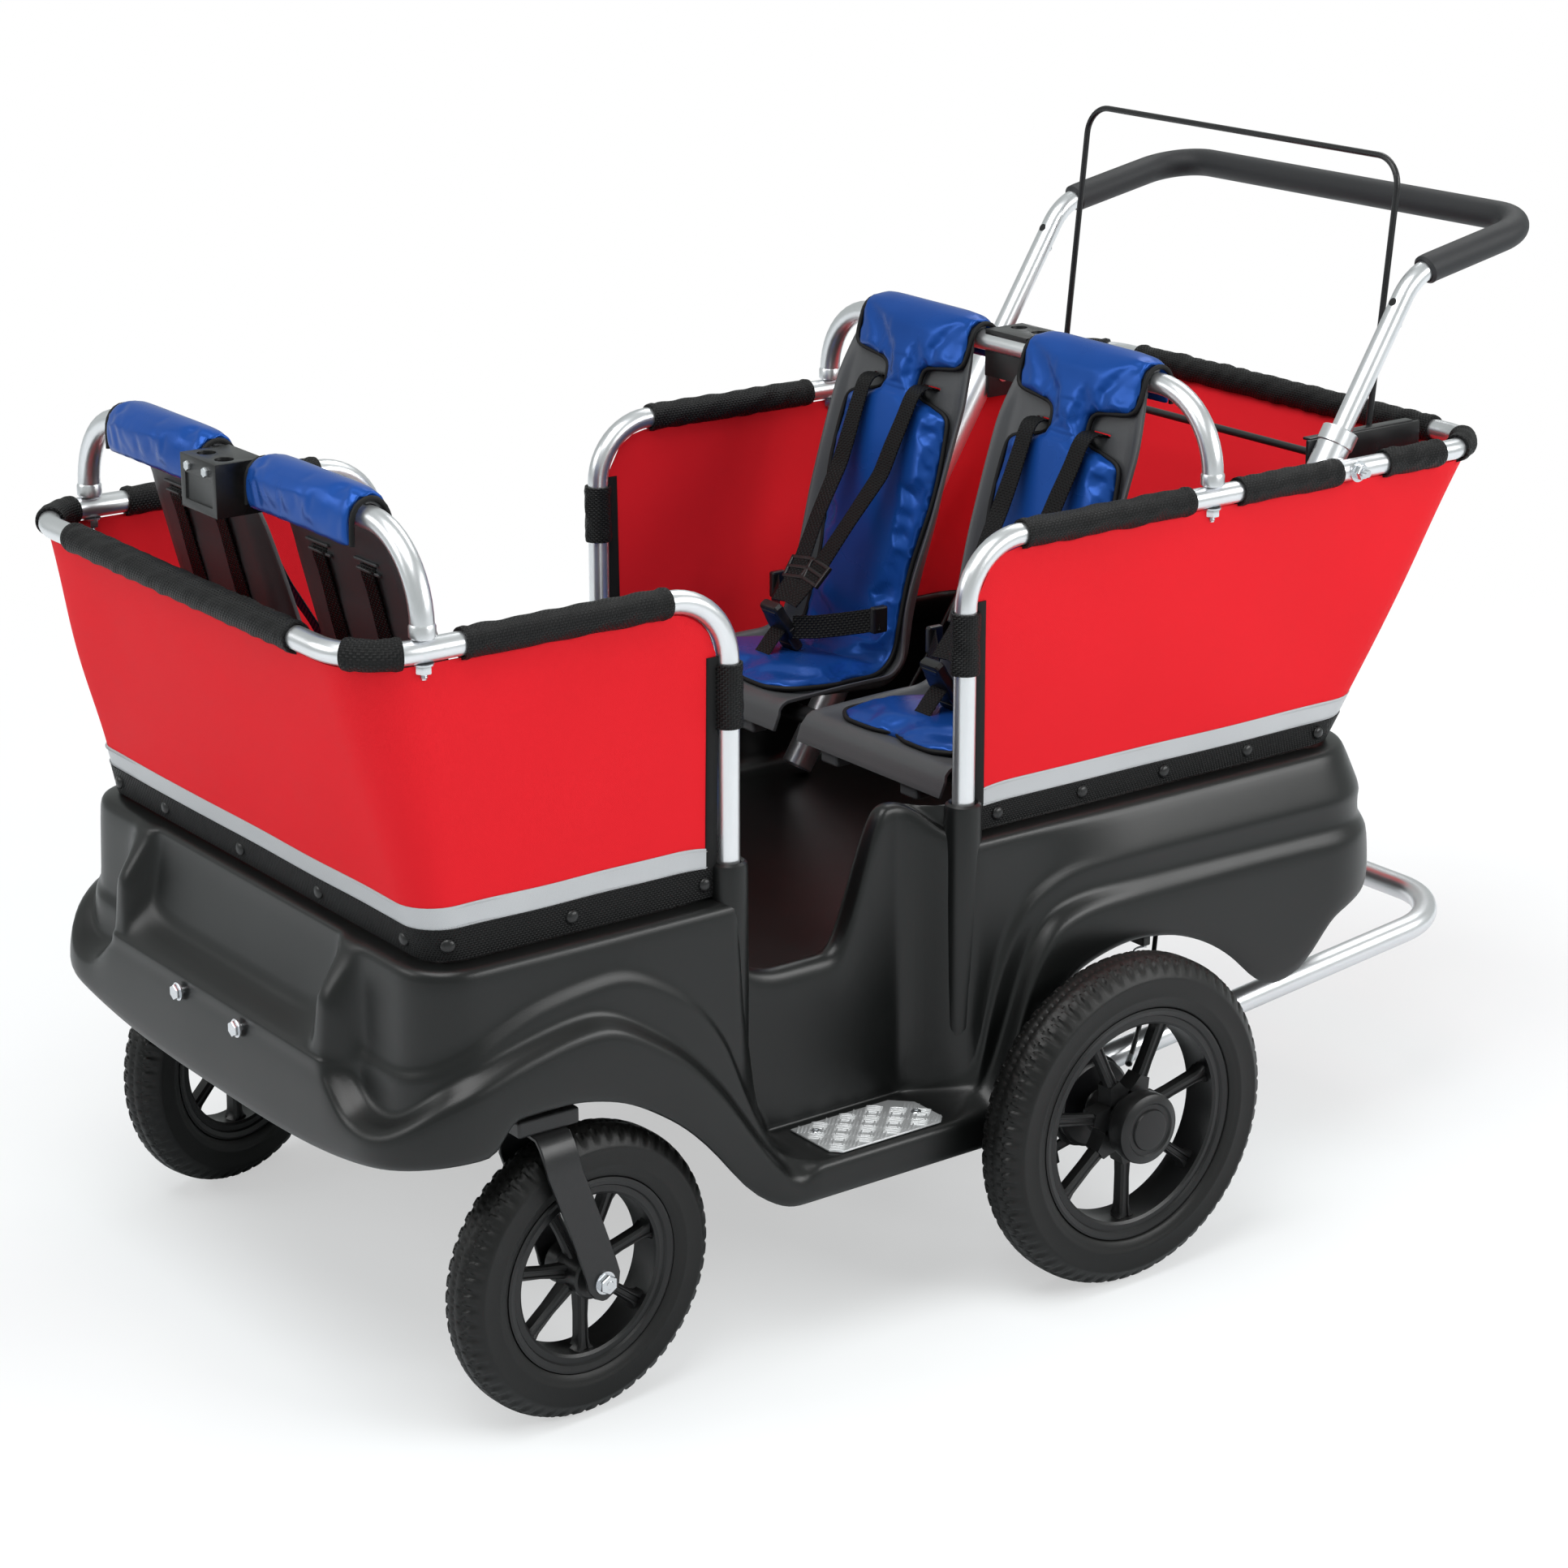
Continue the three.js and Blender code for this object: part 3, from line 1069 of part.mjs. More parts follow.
// Chassis: two long beams, cross members, caster plates, axle carriers and the nose tabs
const carrierX = bumperHalfWidth - bumperRadius - seatGap - axleCarrierThickness / 2;
const beamTop = tubUndersideZ - seatGap;
const noseFaceY = tubFrontY - bumperDepth - skinRound / 2;
function chassisSolid() {
  const casterBeam = beamTop - crownTopZ - seatGap;
  const frontY = casterY - beamWidth;
  const rearY = rearBeamY + axleCarrierLength / 2;
  let frame = block(
    2 * (casterX + beamWidth * 0.6), casterBeamWidth, casterBeam, 0, casterY, beamTop - casterBeam / 2);
  for (const side of [1, -1]) {
    frame = frame.add(block(
      beamWidth, rearY - frontY, beamHeight, side * beamX, (rearY + frontY) / 2, beamTop - beamHeight / 2));
    frame = frame.add(block(
      axleCarrierThickness, axleCarrierLength, beamTop - rearWheelRadius + axleCarrierLength / 2,
      side * carrierX, axleCarrierY, (beamTop + rearWheelRadius - axleCarrierLength / 2) / 2));
    frame = frame.subtract(straight(
      V(side * (carrierX - axleCarrierThickness), 0, rearWheelRadius),
      V(side * (carrierX + axleCarrierThickness), 0, rearWheelRadius), around(rearAxleRadius)));
    const stemHole = straight(
      V(side * casterX, casterY, crownTopZ), V(side * casterX, casterY, crownTopZ + stemHeight + seatGap * 2), around(stemRadius));
    frame = frame.subtract(stemHole);
    const tabY = tubFrontY - bumperDepth + noseWall + seatGap + noseTabThickness / 2;
    const tab = block(noseTabWidth, noseTabThickness, noseTabHeight, side * noseBoltX, tabY, beamTop - beamHeight + noseTabHeight / 2);
    const arm = block(
      noseTabWidth, frontY - tabY + beamWidth, beamHeight / 2, side * noseBoltX, (frontY + tabY + beamWidth) / 2,
      beamTop - beamHeight * 0.75);
    const shank = straight(
      V(side * noseBoltX, noseFaceY - seatGap, noseBoltZ), V(side * noseBoltX, tabY, noseBoltZ), noseBoltRadius, wireSides);
    const head = straight(
      V(side * noseBoltX, noseFaceY - seatGap - noseBoltHeadHeight, noseBoltZ),
      V(side * noseBoltX, noseFaceY - seatGap, noseBoltZ), noseBoltHeadRadius);
    frame = union(frame, tab, arm, shank, head);
    const hangerY = springTopY + springLug / 2;
    const hanger = block(axleCarrierThickness, hangerY, springLug, side * carrierX, hangerY / 2, beamTop - springLug / 2);
    const lug = block(
      springX + springLug - carrierX, springLug, springLug, side * (springX + springLug + carrierX) / 2, springTopY,
      beamTop - springLug / 2);
    frame = union(frame, hanger, lug);
  }
  const cross = block(2 * carrierX, beamWidth, beamHeight, 0, axleCarrierY, beamTop - beamHeight / 2);
  return frame.add(cross);
}
function bumperSolid() {
  const corners = [
    V(-bumperHalfWidth, bumperStartY, bumperStartZ), V(-bumperHalfWidth, bumperRearY, bumperRearZ),
    V(bumperHalfWidth, bumperRearY, bumperRearZ), V(bumperHalfWidth, bumperStartY, bumperStartZ),
  ];
  return rod(bentLine(corners, [bumperCornerRadius, bumperCornerRadius]), bumperRadius);
}

// Casters
function forkSolid() {
  const axleX = forkInnerHalf + forkThickness / 2;
  const half = forkWidth / 2;
  const path = [
    [axleX, casterTrail, frontWheelRadius - half * 0.9], [axleX, casterTrail, frontWheelRadius - half * 0.3],
    [axleX, casterTrail * 0.98, frontWheelRadius + half * 0.4], [axleX, 0, crownShoulderZ],
    [crownHalfWidth, 0, crownTopZ - forkThickness / 2],
  ];
  const widths = [half * 0.45, half * 0.95, half, half, half];
  const line = [...path, ...path.slice().reverse().map(([x, y, z]) => [-x, y, z])];
  const allWidths = [...widths, ...widths.slice().reverse()];
  const rings = line.map(([x, y, z], i) => {
    const a = line[Math.max(0, i - 1)];
    const b = line[Math.min(line.length - 1, i + 1)];
    const t = V(b[0] - a[0], 0, b[2] - a[2]).normalize();
    const n = V(-t.z, 0, t.x).multiplyScalar(forkThickness / 2);
    const w = allWidths[i];
    return [[-w, -1], [w, -1], [w, 1], [-w, 1]].map(([u, s]) => V(x + n.x * s, y + u, z + n.z * s));
  });
  let fork = loft(rings);
  const stem = turnedZ([
    [0, crownTopZ - forkThickness], [stemRadius, crownTopZ - forkThickness],
    [stemRadius, crownTopZ + stemHeight], [0, crownTopZ + stemHeight],
  ], tubeSides);
  const hole = straight(
    V(-axleX - cutOverrun, casterTrail, frontWheelRadius), V(axleX + cutOverrun, casterTrail, frontWheelRadius),
    around(frontAxleRadius), 10);
  fork = fork.add(stem).subtract(hole);
  return fork;
}
function casterAxleSolid() {
  const inner = forkInnerHalf + forkThickness + seatGap;
  const profile = [
    [0, -inner - frontNutHeight], [frontNutRadius, -inner - frontNutHeight], [frontNutRadius, -inner],
    [frontAxleRadius, -inner], [frontAxleRadius, inner], [frontNutRadius, inner],
    [frontNutRadius, inner + frontNutHeight], [0, inner + frontNutHeight],
  ];
  return turnedX(profile, tubeSides);
}

// Wheels turn about X and stand with one flat of their outline on the ground
function tyreSolid(radius, rimRadius, halfWidth) {
  const edge = 1 / Math.cos(Math.PI / wheelSides);
  const inner = rimRadius + beadHeight / 2 + seatGap;
  const wall = radius - inner;
  const profile = [
    [inner, -halfWidth * 0.8], [inner + wall * 0.5, -halfWidth], [radius * edge, -halfWidth * treadShare],
    [radius * edge, halfWidth * treadShare], [inner + wall * 0.5, halfWidth], [inner, halfWidth * 0.8],
  ];
  profile.push(profile[0]);
  return outward(lathe(profile, wheelSides).rotateZ(-Math.PI / 2).rotateX(Math.PI / wheelSides));
}
function rimSolid(radius, halfWidth, hubRadius, hubHalf, axleRadius, cap) {
  const outer = radius + beadHeight / 2;
  const w = halfWidth * rimHalfShare;
  const ringProfile = [
    [outer - rimWall - beadHeight, -w], [outer, -w], [outer, w], [outer - rimWall - beadHeight, w],
  ];
  ringProfile.push(ringProfile[0]);
  let rim = outward(lathe(ringProfile, wheelSides).rotateZ(-Math.PI / 2).rotateX(Math.PI / wheelSides));
  const hub = turnedX([[0, -hubHalf], [hubRadius, -hubHalf], [hubRadius, hubHalf], [0, hubHalf]], hubSides);
  rim = rim.add(hub);
  const reach = outer - rimWall - hubRadius * 0.6;
  for (let i = 0; i < spokeCount; i += 1) {
    const spoke = block(spokeDepth, spokeWidth, reach, 0, 0, hubRadius * 0.6 + reach / 2);
    const turn = new THREE.Matrix4().makeRotationX(2 * Math.PI * (i + 0.5) / spokeCount);
    rim = rim.add(spoke.transform(turn.elements));
  }
  const end = cap ? hubHalf + seatGap : hubHalf + cutOverrun;
  if (cap) {
    rim = rim.add(turnedX([
      [0, hubHalf - seatGap], [hubCapRadius, hubHalf - seatGap], [hubCapRadius, hubHalf + hubCapLength * 0.7],
      [hubCapRadius * 0.82, hubHalf + hubCapLength], [0, hubHalf + hubCapLength],
    ], hubSides));
  }
  return rim.subtract(straight(V(-hubHalf - cutOverrun, 0, 0), V(end, 0, 0), around(axleRadius)));
}

// Drum brakes
const leverX = drumInnerX - seatGap - leverThickness / 2;
function drumSolid() {
  const outerX = rearTrackHalf - rearHubHalf - seatGap;
  let drum = turnedX([
    [0, drumInnerX], [drumPlateRadius, drumInnerX], [drumPlateRadius, drumInnerX + drumPlateThickness],
    [drumRadius, drumInnerX + drumPlateThickness], [drumRadius, drumInnerX + drumWidth], [hubStub, drumInnerX + drumWidth],
    [hubStub, outerX], [0, outerX],
  ], hubSides);
  drum = drum.subtract(straight(V(drumInnerX - cutOverrun, 0, 0), V(outerX + cutOverrun, 0, 0), around(rearAxleRadius)));
  const pin = straight(
    V(drumInnerX - leverThickness - seatGap * 2, leverPivotY, -leverPivotDrop),
    V(drumInnerX + drumPlateThickness, leverPivotY, -leverPivotDrop), leverPivotRadius);
  return drum.add(pin);
}
function leverSolid() {
  const outline = new THREE.Shape();
  const half = leverWidth / 2;
  const tip = leverLength;
  outline.moveTo(-half, -half);
  outline.lineTo(tip - half, -half * 0.6);
  outline.lineTo(tip, half * 0.4);
  outline.lineTo(tip, leverHook);
  outline.lineTo(tip - half, leverHook);
  outline.lineTo(tip - half, half * 0.8);
  outline.lineTo(half, half);
  outline.lineTo(-half, half);
  outline.closePath();
  const plate = new THREE.ExtrudeGeometry(outline, { depth: leverThickness, bevelEnabled: false });
  plate.applyMatrix4(new THREE.Matrix4().makeBasis(V(0, -1, 0), V(0, 0, -1), V(1, 0, 0)));
  plate.rotateX(leverTilt);
  plate.translate(-leverThickness / 2, 0, 0);
  const hole = straight(V(-cutOverrun, 0, 0), V(cutOverrun, 0, 0), around(leverPivotRadius));
  return outward(plate).subtract(hole);
}

// Return springs: one unbroken tube wound on a helix, with a straight end at the lug
const springSteps = 6;
function springSolid() {
  const count = springTurns * springSteps;
  const line = Array.from({ length: count + 1 }, (_, i) => {
    const a = 2 * Math.PI * i / springSteps;
    return V(springRadius * Math.cos(a), springRadius * Math.sin(a), -springLength * i / count);
  });
  const pitch = springLength / springTurns;
  console.log(`brake spring: least gap between turns ${(pitch - 2 * springWire).toFixed(2)} mm`);
  const shape = disc(springWire);
  return outward(new THREE.ExtrudeGeometry(shape, {
    steps: count, extrudePath: new StationCurve(line), curveSegments: 2.5, bevelEnabled: false,
  }));
}

// The assembly, in the axle frame
const body = new THREE.Group();
group.add(body);
add('tub', tubSolid(), 'black', finish.plastic, body);
for (const [side, name] of [[1, 'left'], [-1, 'right']]) {
  const half = plateWidth / 2;
  const plate = new THREE.Shape();
  const long = plateLength / 2;
  const points = [
    [-half, -long], [half - plateCornerCut / 2, -long], [half, -long + plateCornerCut / 2], [half, long - plateCornerCut / 2],
    [half - plateCornerCut / 2, long], [-half + plateCornerCut, long], [-half, long - plateCornerCut],
  ];
  points.forEach(([x, y], i) => (i ? plate.lineTo(x, y) : plate.moveTo(x, y)));
  plate.closePath();
  let tread = new THREE.ExtrudeGeometry(plate, { depth: plateThickness, bevelEnabled: false });
  tread.translate(stepCentreX, (doorFrontY + doorRampY) / 2 + plateShiftY, stepZ + stepRise + seatGap);
  if (side < 0) tread = mirrored(tread);
  add(`step_plate_${name}`, outward(tread), 'aluminium', finish.aluminium, body);
}

add('front_rail', railSolid(frontPostY, frontRunY, frontHoopY), 'aluminium', finish.aluminium, body);
add('rear_rail', railSolid(rearPostY, rearRunY, rearHoopY), 'aluminium', finish.aluminium, body);
add('front_seat_hoop', hoopSolid(frontHoopY), 'aluminium', finish.aluminium, body);
add('rear_seat_hoop', hoopSolid(rearHoopY), 'aluminium', finish.aluminium, body);
add('front_canopy_socket', socketSolid(frontHoopY, -1), 'black', finish.plastic, body);
add('rear_canopy_socket', socketSolid(rearHoopY, 1), 'black', finish.plastic, body);

const shell = shellSolid();
const pad = padSolid();
const harness = harnessSolid();
for (const [row, hoopY, facing] of [['front', frontHoopY, 1], ['rear', rearHoopY, -1]]) {
  for (const [side, name] of [[1, 'left'], [-1, 'right']]) {
    const at = side * seatCentreX;
    add(`seat_shell_${row}_${name}`, seatPlace(shell, hoopY, facing, at), 'shell', finish.plastic, body);
    add(`seat_pad_${row}_${name}`, seatPlace(pad, hoopY, facing, at), 'blue', finish.satin, body);
    add(`harness_${row}_${name}`, seatPlace(harness, hoopY, facing, at), 'webbing', finish.fabric, body);
  }
  const barY = hoopY + facing * seatBarF;
  const barEnd = tubHalfWidth - tubLedgeWidth - uprightDraft - tubRimWidth - seatGap;
  add(`seat_bar_${row}`, straight(V(-barEnd, barY, seatBarZ), V(barEnd, barY, seatBarZ), seatBarRadius), 'steel', finish.painted, body);
}

// Sleeves run where the cloth wraps the tube; corner ones follow the rail's own stations
const frontLine = railStations(frontPostY, frontRunY);
const rearLine = railStations(rearPostY, rearRunY);
// The middle of the corner arc between the side run and the run across
const cornerStations = (line) => line.slice(line.length / 2 + 1, line.length / 2 + 4);
const bothSides = (lines) => [...lines, ...lines.map((line) => line.map((p) => V(-p.x, p.y, p.z)))];
const along = (fromY, toY) => [V(railX, fromY, railZ), V(railX, toY, railZ)];
const post = (postY) => [V(railX, postY, postSleeveBottomZ), V(railX, postY, postSleeveTopZ - postSleeveDrop)];
const frontSleeves = [
  [V(-frontSleeveHalf, frontRunY, railZ), V(frontSleeveHalf, frontRunY, railZ)],
  ...bothSides([
    cornerStations(frontLine), along(frontSideSleeveStartY, frontSideSleeveEndY), post(frontPostY),
  ]),
];
const rearSleeves = [
  [V(-rearSleeveHalf, rearRunY, railZ), V(rearSleeveHalf, rearRunY, railZ)],
  ...bothSides([
    along(rearSideSleeveStartY, rearSideSleeveMidA), along(rearSideSleeveMidB, rearSideSleeveMidC),
    along(rearSideSleeveMidD, rearSideSleeveEndY), post(rearPostY),
  ]),
];
add('front_fabric', clothSolid(frontPostY, frontRunY, frontHoopY, tubFrontY, tubFrontCornerRadius, frontSleeves),
  'red', finish.fabric, body);
add('rear_fabric', clothSolid(rearPostY, rearRunY, rearHoopY, tubRearY, tubRearCornerRadius, rearSleeves),
  'red', finish.fabric, body);

add('push_handle', handleSolid(), 'aluminium', finish.aluminium, body);
add('handle_grip', gripSolid(), 'foam', finish.foam, body);
add('brake_bail', bailSolid(), 'webbing', finish.satin, body);
add('cross_rod', straight(
  V(-bracketX - bracketThickness / 2, rodY, rodZ), V(bracketX + bracketThickness / 2, rodY, rodZ), rodRadius, 10),
'webbing', finish.satin, body);
add('chassis_frame', chassisSolid(), 'webbing', finish.painted, body);
add('rear_bumper', bumperSolid(), 'aluminium', finish.aluminium, body);
const axleEnd = rearTrackHalf + rearHubHalf;
add('rear_axle', straight(V(-axleEnd, 0, rearWheelRadius), V(axleEnd, 0, rearWheelRadius), rearAxleRadius),
  'steel', finish.steel, body);

const fork = forkSolid();
const casterAxle = casterAxleSolid();
const frontRim = rimSolid(frontRimRadius, frontTyreHalfWidth, frontHubRadius, frontHubHalf, frontAxleRadius, false);
const frontTyre = tyreSolid(frontWheelRadius, frontRimRadius, frontTyreHalfWidth);
const rearRim = rimSolid(rearRimRadius, rearTyreHalfWidth, rearHubRadius, rearHubHalf, rearAxleRadius, true);
const rearTyre = tyreSolid(rearWheelRadius, rearRimRadius, rearTyreHalfWidth);
const drum = drumSolid();
const lever = leverSolid();
const spring = springSolid();
const cable = rod(cableRoute.map(([x, y, z]) => V(x, y, z)), cableRadius, 8);
for (const [side, name, turn] of [[1, 'left', leftCasterTurn], [-1, 'right', rightCasterTurn]]) {
  const at = (shape) => (side > 0 ? geometryOf(shape) : mirrored(geometryOf(shape)));
  add(`handle_socket_${name}`, socketTube(side), 'aluminium', finish.aluminium, body);
  add(`handle_button_${name}`, buttonSolid(side), 'steel', finish.steel, body);
  add(`bail_bracket_${name}`, bracketSolid(side), 'webbing', finish.painted, body);

  const caster = new THREE.Group();
  caster.position.set(side * casterX, casterY, 0);
  caster.rotation.z = turn;
  body.add(caster);
  add(`caster_fork_${name}`, fork, 'webbing', finish.painted, caster);
  const hub = new THREE.Group();
  hub.position.set(0, casterTrail, frontWheelRadius);
  caster.add(hub);
  add(`caster_axle_${name}`, casterAxle, 'steel', finish.steel, hub);
  add(`front_rim_${name}`, frontRim, 'black', finish.plastic, hub);
  add(`front_tyre_${name}`, frontTyre, 'rubber', finish.rubber, hub);

  const wheel = new THREE.Group();
  wheel.position.set(side * rearTrackHalf, 0, rearWheelRadius);
  body.add(wheel);
  add(`rear_rim_${name}`, at(rearRim), 'black', finish.plastic, wheel);
  add(`rear_tyre_${name}`, at(rearTyre), 'rubber', finish.rubber, wheel);
  const axleGroup = new THREE.Group();
  axleGroup.position.z = rearWheelRadius;
  body.add(axleGroup);
  add(`brake_plate_${name}`, at(drum), 'webbing', finish.painted, axleGroup);
  add(`brake_lever_${name}`, at(lever.translate([leverX, leverPivotY, -leverPivotDrop])), 'webbing', finish.painted, axleGroup);
  add(`brake_spring_${name}`, at(spring.translate([springX, springTopY, springTopZ])), 'webbing', finish.painted, body);
  add(`brake_cable_${name}`, at(cable), 'webbing', finish.plastic, body);
}

// The origin is the middle of the footprint, on the ground
const foremost = frontRunY - sleeveRadius;
const rearmost = gripCornerY + gripRadius;
body.position.y = -(foremost + rearmost) / 2;

export default group;
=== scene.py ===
import json
import math
from math import cos, pi, sin, tan

import bmesh
import bpy
import numpy as np
from mathutils import Matrix, Vector

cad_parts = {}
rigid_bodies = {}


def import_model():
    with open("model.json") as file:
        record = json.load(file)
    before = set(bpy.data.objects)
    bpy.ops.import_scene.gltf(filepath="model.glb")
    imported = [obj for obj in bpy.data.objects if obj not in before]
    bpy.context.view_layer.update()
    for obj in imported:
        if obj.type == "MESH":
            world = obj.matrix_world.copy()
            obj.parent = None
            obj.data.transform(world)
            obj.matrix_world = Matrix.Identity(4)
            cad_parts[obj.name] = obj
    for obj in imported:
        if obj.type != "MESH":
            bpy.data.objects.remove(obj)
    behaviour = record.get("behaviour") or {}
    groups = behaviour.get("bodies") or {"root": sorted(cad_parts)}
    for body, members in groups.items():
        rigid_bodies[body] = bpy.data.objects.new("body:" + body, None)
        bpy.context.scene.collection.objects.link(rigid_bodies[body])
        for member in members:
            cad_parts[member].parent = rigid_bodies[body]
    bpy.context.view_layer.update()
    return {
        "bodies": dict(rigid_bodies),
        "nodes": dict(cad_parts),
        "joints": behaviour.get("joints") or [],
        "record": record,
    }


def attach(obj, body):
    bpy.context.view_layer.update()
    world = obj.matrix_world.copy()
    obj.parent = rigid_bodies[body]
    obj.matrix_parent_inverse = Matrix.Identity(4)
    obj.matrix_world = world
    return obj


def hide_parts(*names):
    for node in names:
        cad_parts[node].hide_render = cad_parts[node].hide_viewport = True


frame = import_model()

# Lengths are in millimetres from the rear axle's middle, on the ground; the frame's own origin lies
# this far behind it, and its unit is the metre.
AXLE_TO_FRAME = 58.7
MM = 0.001


# ---------------------------------------------------------------- node and object shorthand

def linked(name, data):
    ob = bpy.data.objects.new(name, data)
    bpy.context.scene.collection.objects.link(ob)
    return ob


def node(tree, kind, inputs=(), **settings):
    made = tree.nodes.new(kind)
    for key, value in settings.items():
        setattr(made, key, value)
    for key, value in dict(inputs).items():
        if isinstance(value, bpy.types.NodeSocket):
            tree.links.new(value, made.inputs[key])
        else:
            made.inputs[key].default_value = value
    return made


def maths(tree, operation, a, b=0.0, clamp=False):
    return node(tree, "ShaderNodeMath", {0: a, 1: b}, operation=operation, use_clamp=clamp).outputs[0]


def vectors(tree, operation, inputs):
    return node(tree, "ShaderNodeVectorMath", inputs, operation=operation).outputs


def noise(tree, place, scale, detail, **more):
    return node(tree, "ShaderNodeTexNoise", {"Vector": place, "Scale": scale, "Detail": detail, **more}).outputs


def spread(tree, value, low, high, start=0.0, end=1.0, **settings):
    """Maps a value that runs from start to end on to low to high."""
    ranges = {"Value": value, "From Min": start, "From Max": end, "To Min": low, "To Max": high}
    return node(tree, "ShaderNodeMapRange", ranges, **settings).outputs[0]


def blend_colour(tree, fac, a, b, kind="MIX"):
    return node(tree, "ShaderNodeMix", {0: fac, 6: a, 7: b}, data_type="RGBA", blend_type=kind).outputs[2]


def group(tree, which, inputs):
    return node(tree, "ShaderNodeGroup", inputs, node_tree=which).outputs


def new_group(name, kind, inputs, outputs):
    """A node group, the sockets that it is given and the sockets that it has to fill."""
    tree = bpy.data.node_groups.new(name, kind)
    for label, socket_type, value in inputs:
        socket = tree.interface.new_socket(label, in_out="INPUT", socket_type="NodeSocket" + socket_type)
        if value is not None:
            socket.default_value = value
    for label, socket_type in outputs:
        tree.interface.new_socket(label, in_out="OUTPUT", socket_type="NodeSocket" + socket_type)
    return tree, tree.nodes.new("NodeGroupInput").outputs, tree.nodes.new("NodeGroupOutput").inputs


def shader_group(name, amounts, results):
    inputs = [("Vector", "Vector", None)] + [(label, "Float", value) for label, value in amounts.items()]
    return new_group(name, "ShaderNodeTree", inputs, [(label, "Float") for label in results])


def cleared(holder):
    """The node tree of a world or a material, emptied."""
    holder.use_nodes = True
    holder.node_tree.nodes.clear()
    return holder.node_tree


# ---------------------------------------------------------------- camera, floor and light

WHITE = (1, 1, 1, 1)
WORLD_COLOUR, WORLD_STRENGTH = (0.94, 1, 0.98, 1), 0.5
FLOOR_REACH = 14
# Each softbox: height of its target, azimuth, elevation, distance, size and watts
SOFTBOXES = {
    "key_softbox": (0.5, 20, 62, 3.4, (2.6, 2.0), 76),
    "side_softbox": (0.5, 122, 24, 3.4, (2.8, 1.0), 56),
    "front_softbox": (0.4, -24, 26, 3.8, (2.2, 1.2), 25),
    "rear_softbox": (0.5, 200, 50, 3.6, (2.4, 1.4), 30)}


def aim(ob, azimuth, elevation):
    azimuth, elevation = math.radians(azimuth), math.radians(elevation)
    back = Vector((sin(azimuth) * cos(elevation), -cos(azimuth) * cos(elevation), sin(elevation)))
    ob.rotation_mode = "QUATERNION"
    ob.rotation_quaternion = (-back).to_track_quat("-Z", "Y")
    return back


def photo_camera():
    data = bpy.data.cameras.new("photo_camera")
    data.lens, data.sensor_width, data.shift_y = 85.507, 36, -0.0963
    camera = linked("photo_camera", data)
    aim(camera, 53.4107, 16.0673)
    camera.location = (2.81798, -2.14143, 1.57713)
    bpy.context.scene.camera = camera


def softbox(name, height, azimuth, elevation, distance, size, watts):
    data = bpy.data.lights.new(name, "AREA")
    data.shape = "RECTANGLE"
    data.size, data.size_y = size
    data.energy = watts
    light = linked(name, data)
    light.location = Vector((0, 0, height)) + aim(light, azimuth, elevation) * distance


def seen_directly(tree):
    path = node(tree, "ShaderNodeLightPath").outputs
    return maths(tree, "MAXIMUM", path["Is Camera Ray"], path["Is Transmission Ray"])


def studio_world():
    world = bpy.context.scene.world = bpy.data.worlds.new("studio_light")
    tree = cleared(world)
    light = node(tree, "ShaderNodeBackground", {"Color": WORLD_COLOUR, "Strength": WORLD_STRENGTH})
    white = node(tree, "ShaderNodeBackground", {"Color": WHITE, "Strength": 1})
    both = node(tree, "ShaderNodeMixShader", {0: seen_directly(tree), 1: light.outputs[0], 2: white.outputs[0]})
    node(tree, "ShaderNodeOutputWorld", {"Surface": both.outputs[0]})


def paper_floor():
    """White paper that takes the shadows and turns into plain white further out."""
    floor = bpy.data.meshes.new("studio_floor")
    corners = [(x * FLOOR_REACH, y * FLOOR_REACH, 0) for x, y in SQUARE]
    floor.from_pydata(corners, [], [(0, 1, 2, 3)])
    linked("studio_floor", floor)
    paper = bpy.data.materials.new("white_paper_floor")
    tree = cleared(paper)
    place = node(tree, "ShaderNodeTexCoord").outputs["Object"]
    away = vectors(tree, "LENGTH", {0: place})["Value"]
    far = spread(tree, away, 0.5, 1.0, 0.7, 2.6, interpolation_type="SMOOTHSTEP")
    mottle = node(tree, "ShaderNodeValToRGB", {"Fac": noise(tree, place, 2.2, 3)["Fac"]})
    for element, (at, colour) in zip(mottle.color_ramp.elements, (
            (0.35, (0.86, 0.88, 0.9, 1)), (0.65, (0.89, 0.91, 0.92, 1)))):
        element.position, element.color = at, colour
    matte = node(tree, "ShaderNodeBsdfDiffuse", {"Color": mottle.outputs["Color"], "Roughness": 1})
    glow = node(tree, "ShaderNodeEmission", {"Color": WHITE, "Strength": 1})
    lifted = maths(tree, "MULTIPLY", seen_directly(tree), far)
    both = node(tree, "ShaderNodeMixShader", {0: lifted, 1: matte.outputs[0], 2: glow.outputs[0]})
    node(tree, "ShaderNodeOutputMaterial", {"Surface": both.outputs[0]})
    floor.materials.append(paper)


# ---------------------------------------------------------------- shared surface effects

def make_grain():
    """Fine moulded or cast grain, with slow patches that vary tone and gloss."""
    tree, given, out = shader_group("moulded_grain", {"Size": 0.001, "Patch Size": 0.12}, ["Height", "Patch"])
    for size, detail, roughness, result in (("Size", 3, 0.6, "Height"), ("Patch Size", 4, 0.5, "Patch")):
        scale = maths(tree, "DIVIDE", 1.0, given[size])
        tree.links.new(noise(tree, given["Vector"], scale, detail, Roughness=roughness)["Fac"], out[result])
    return tree


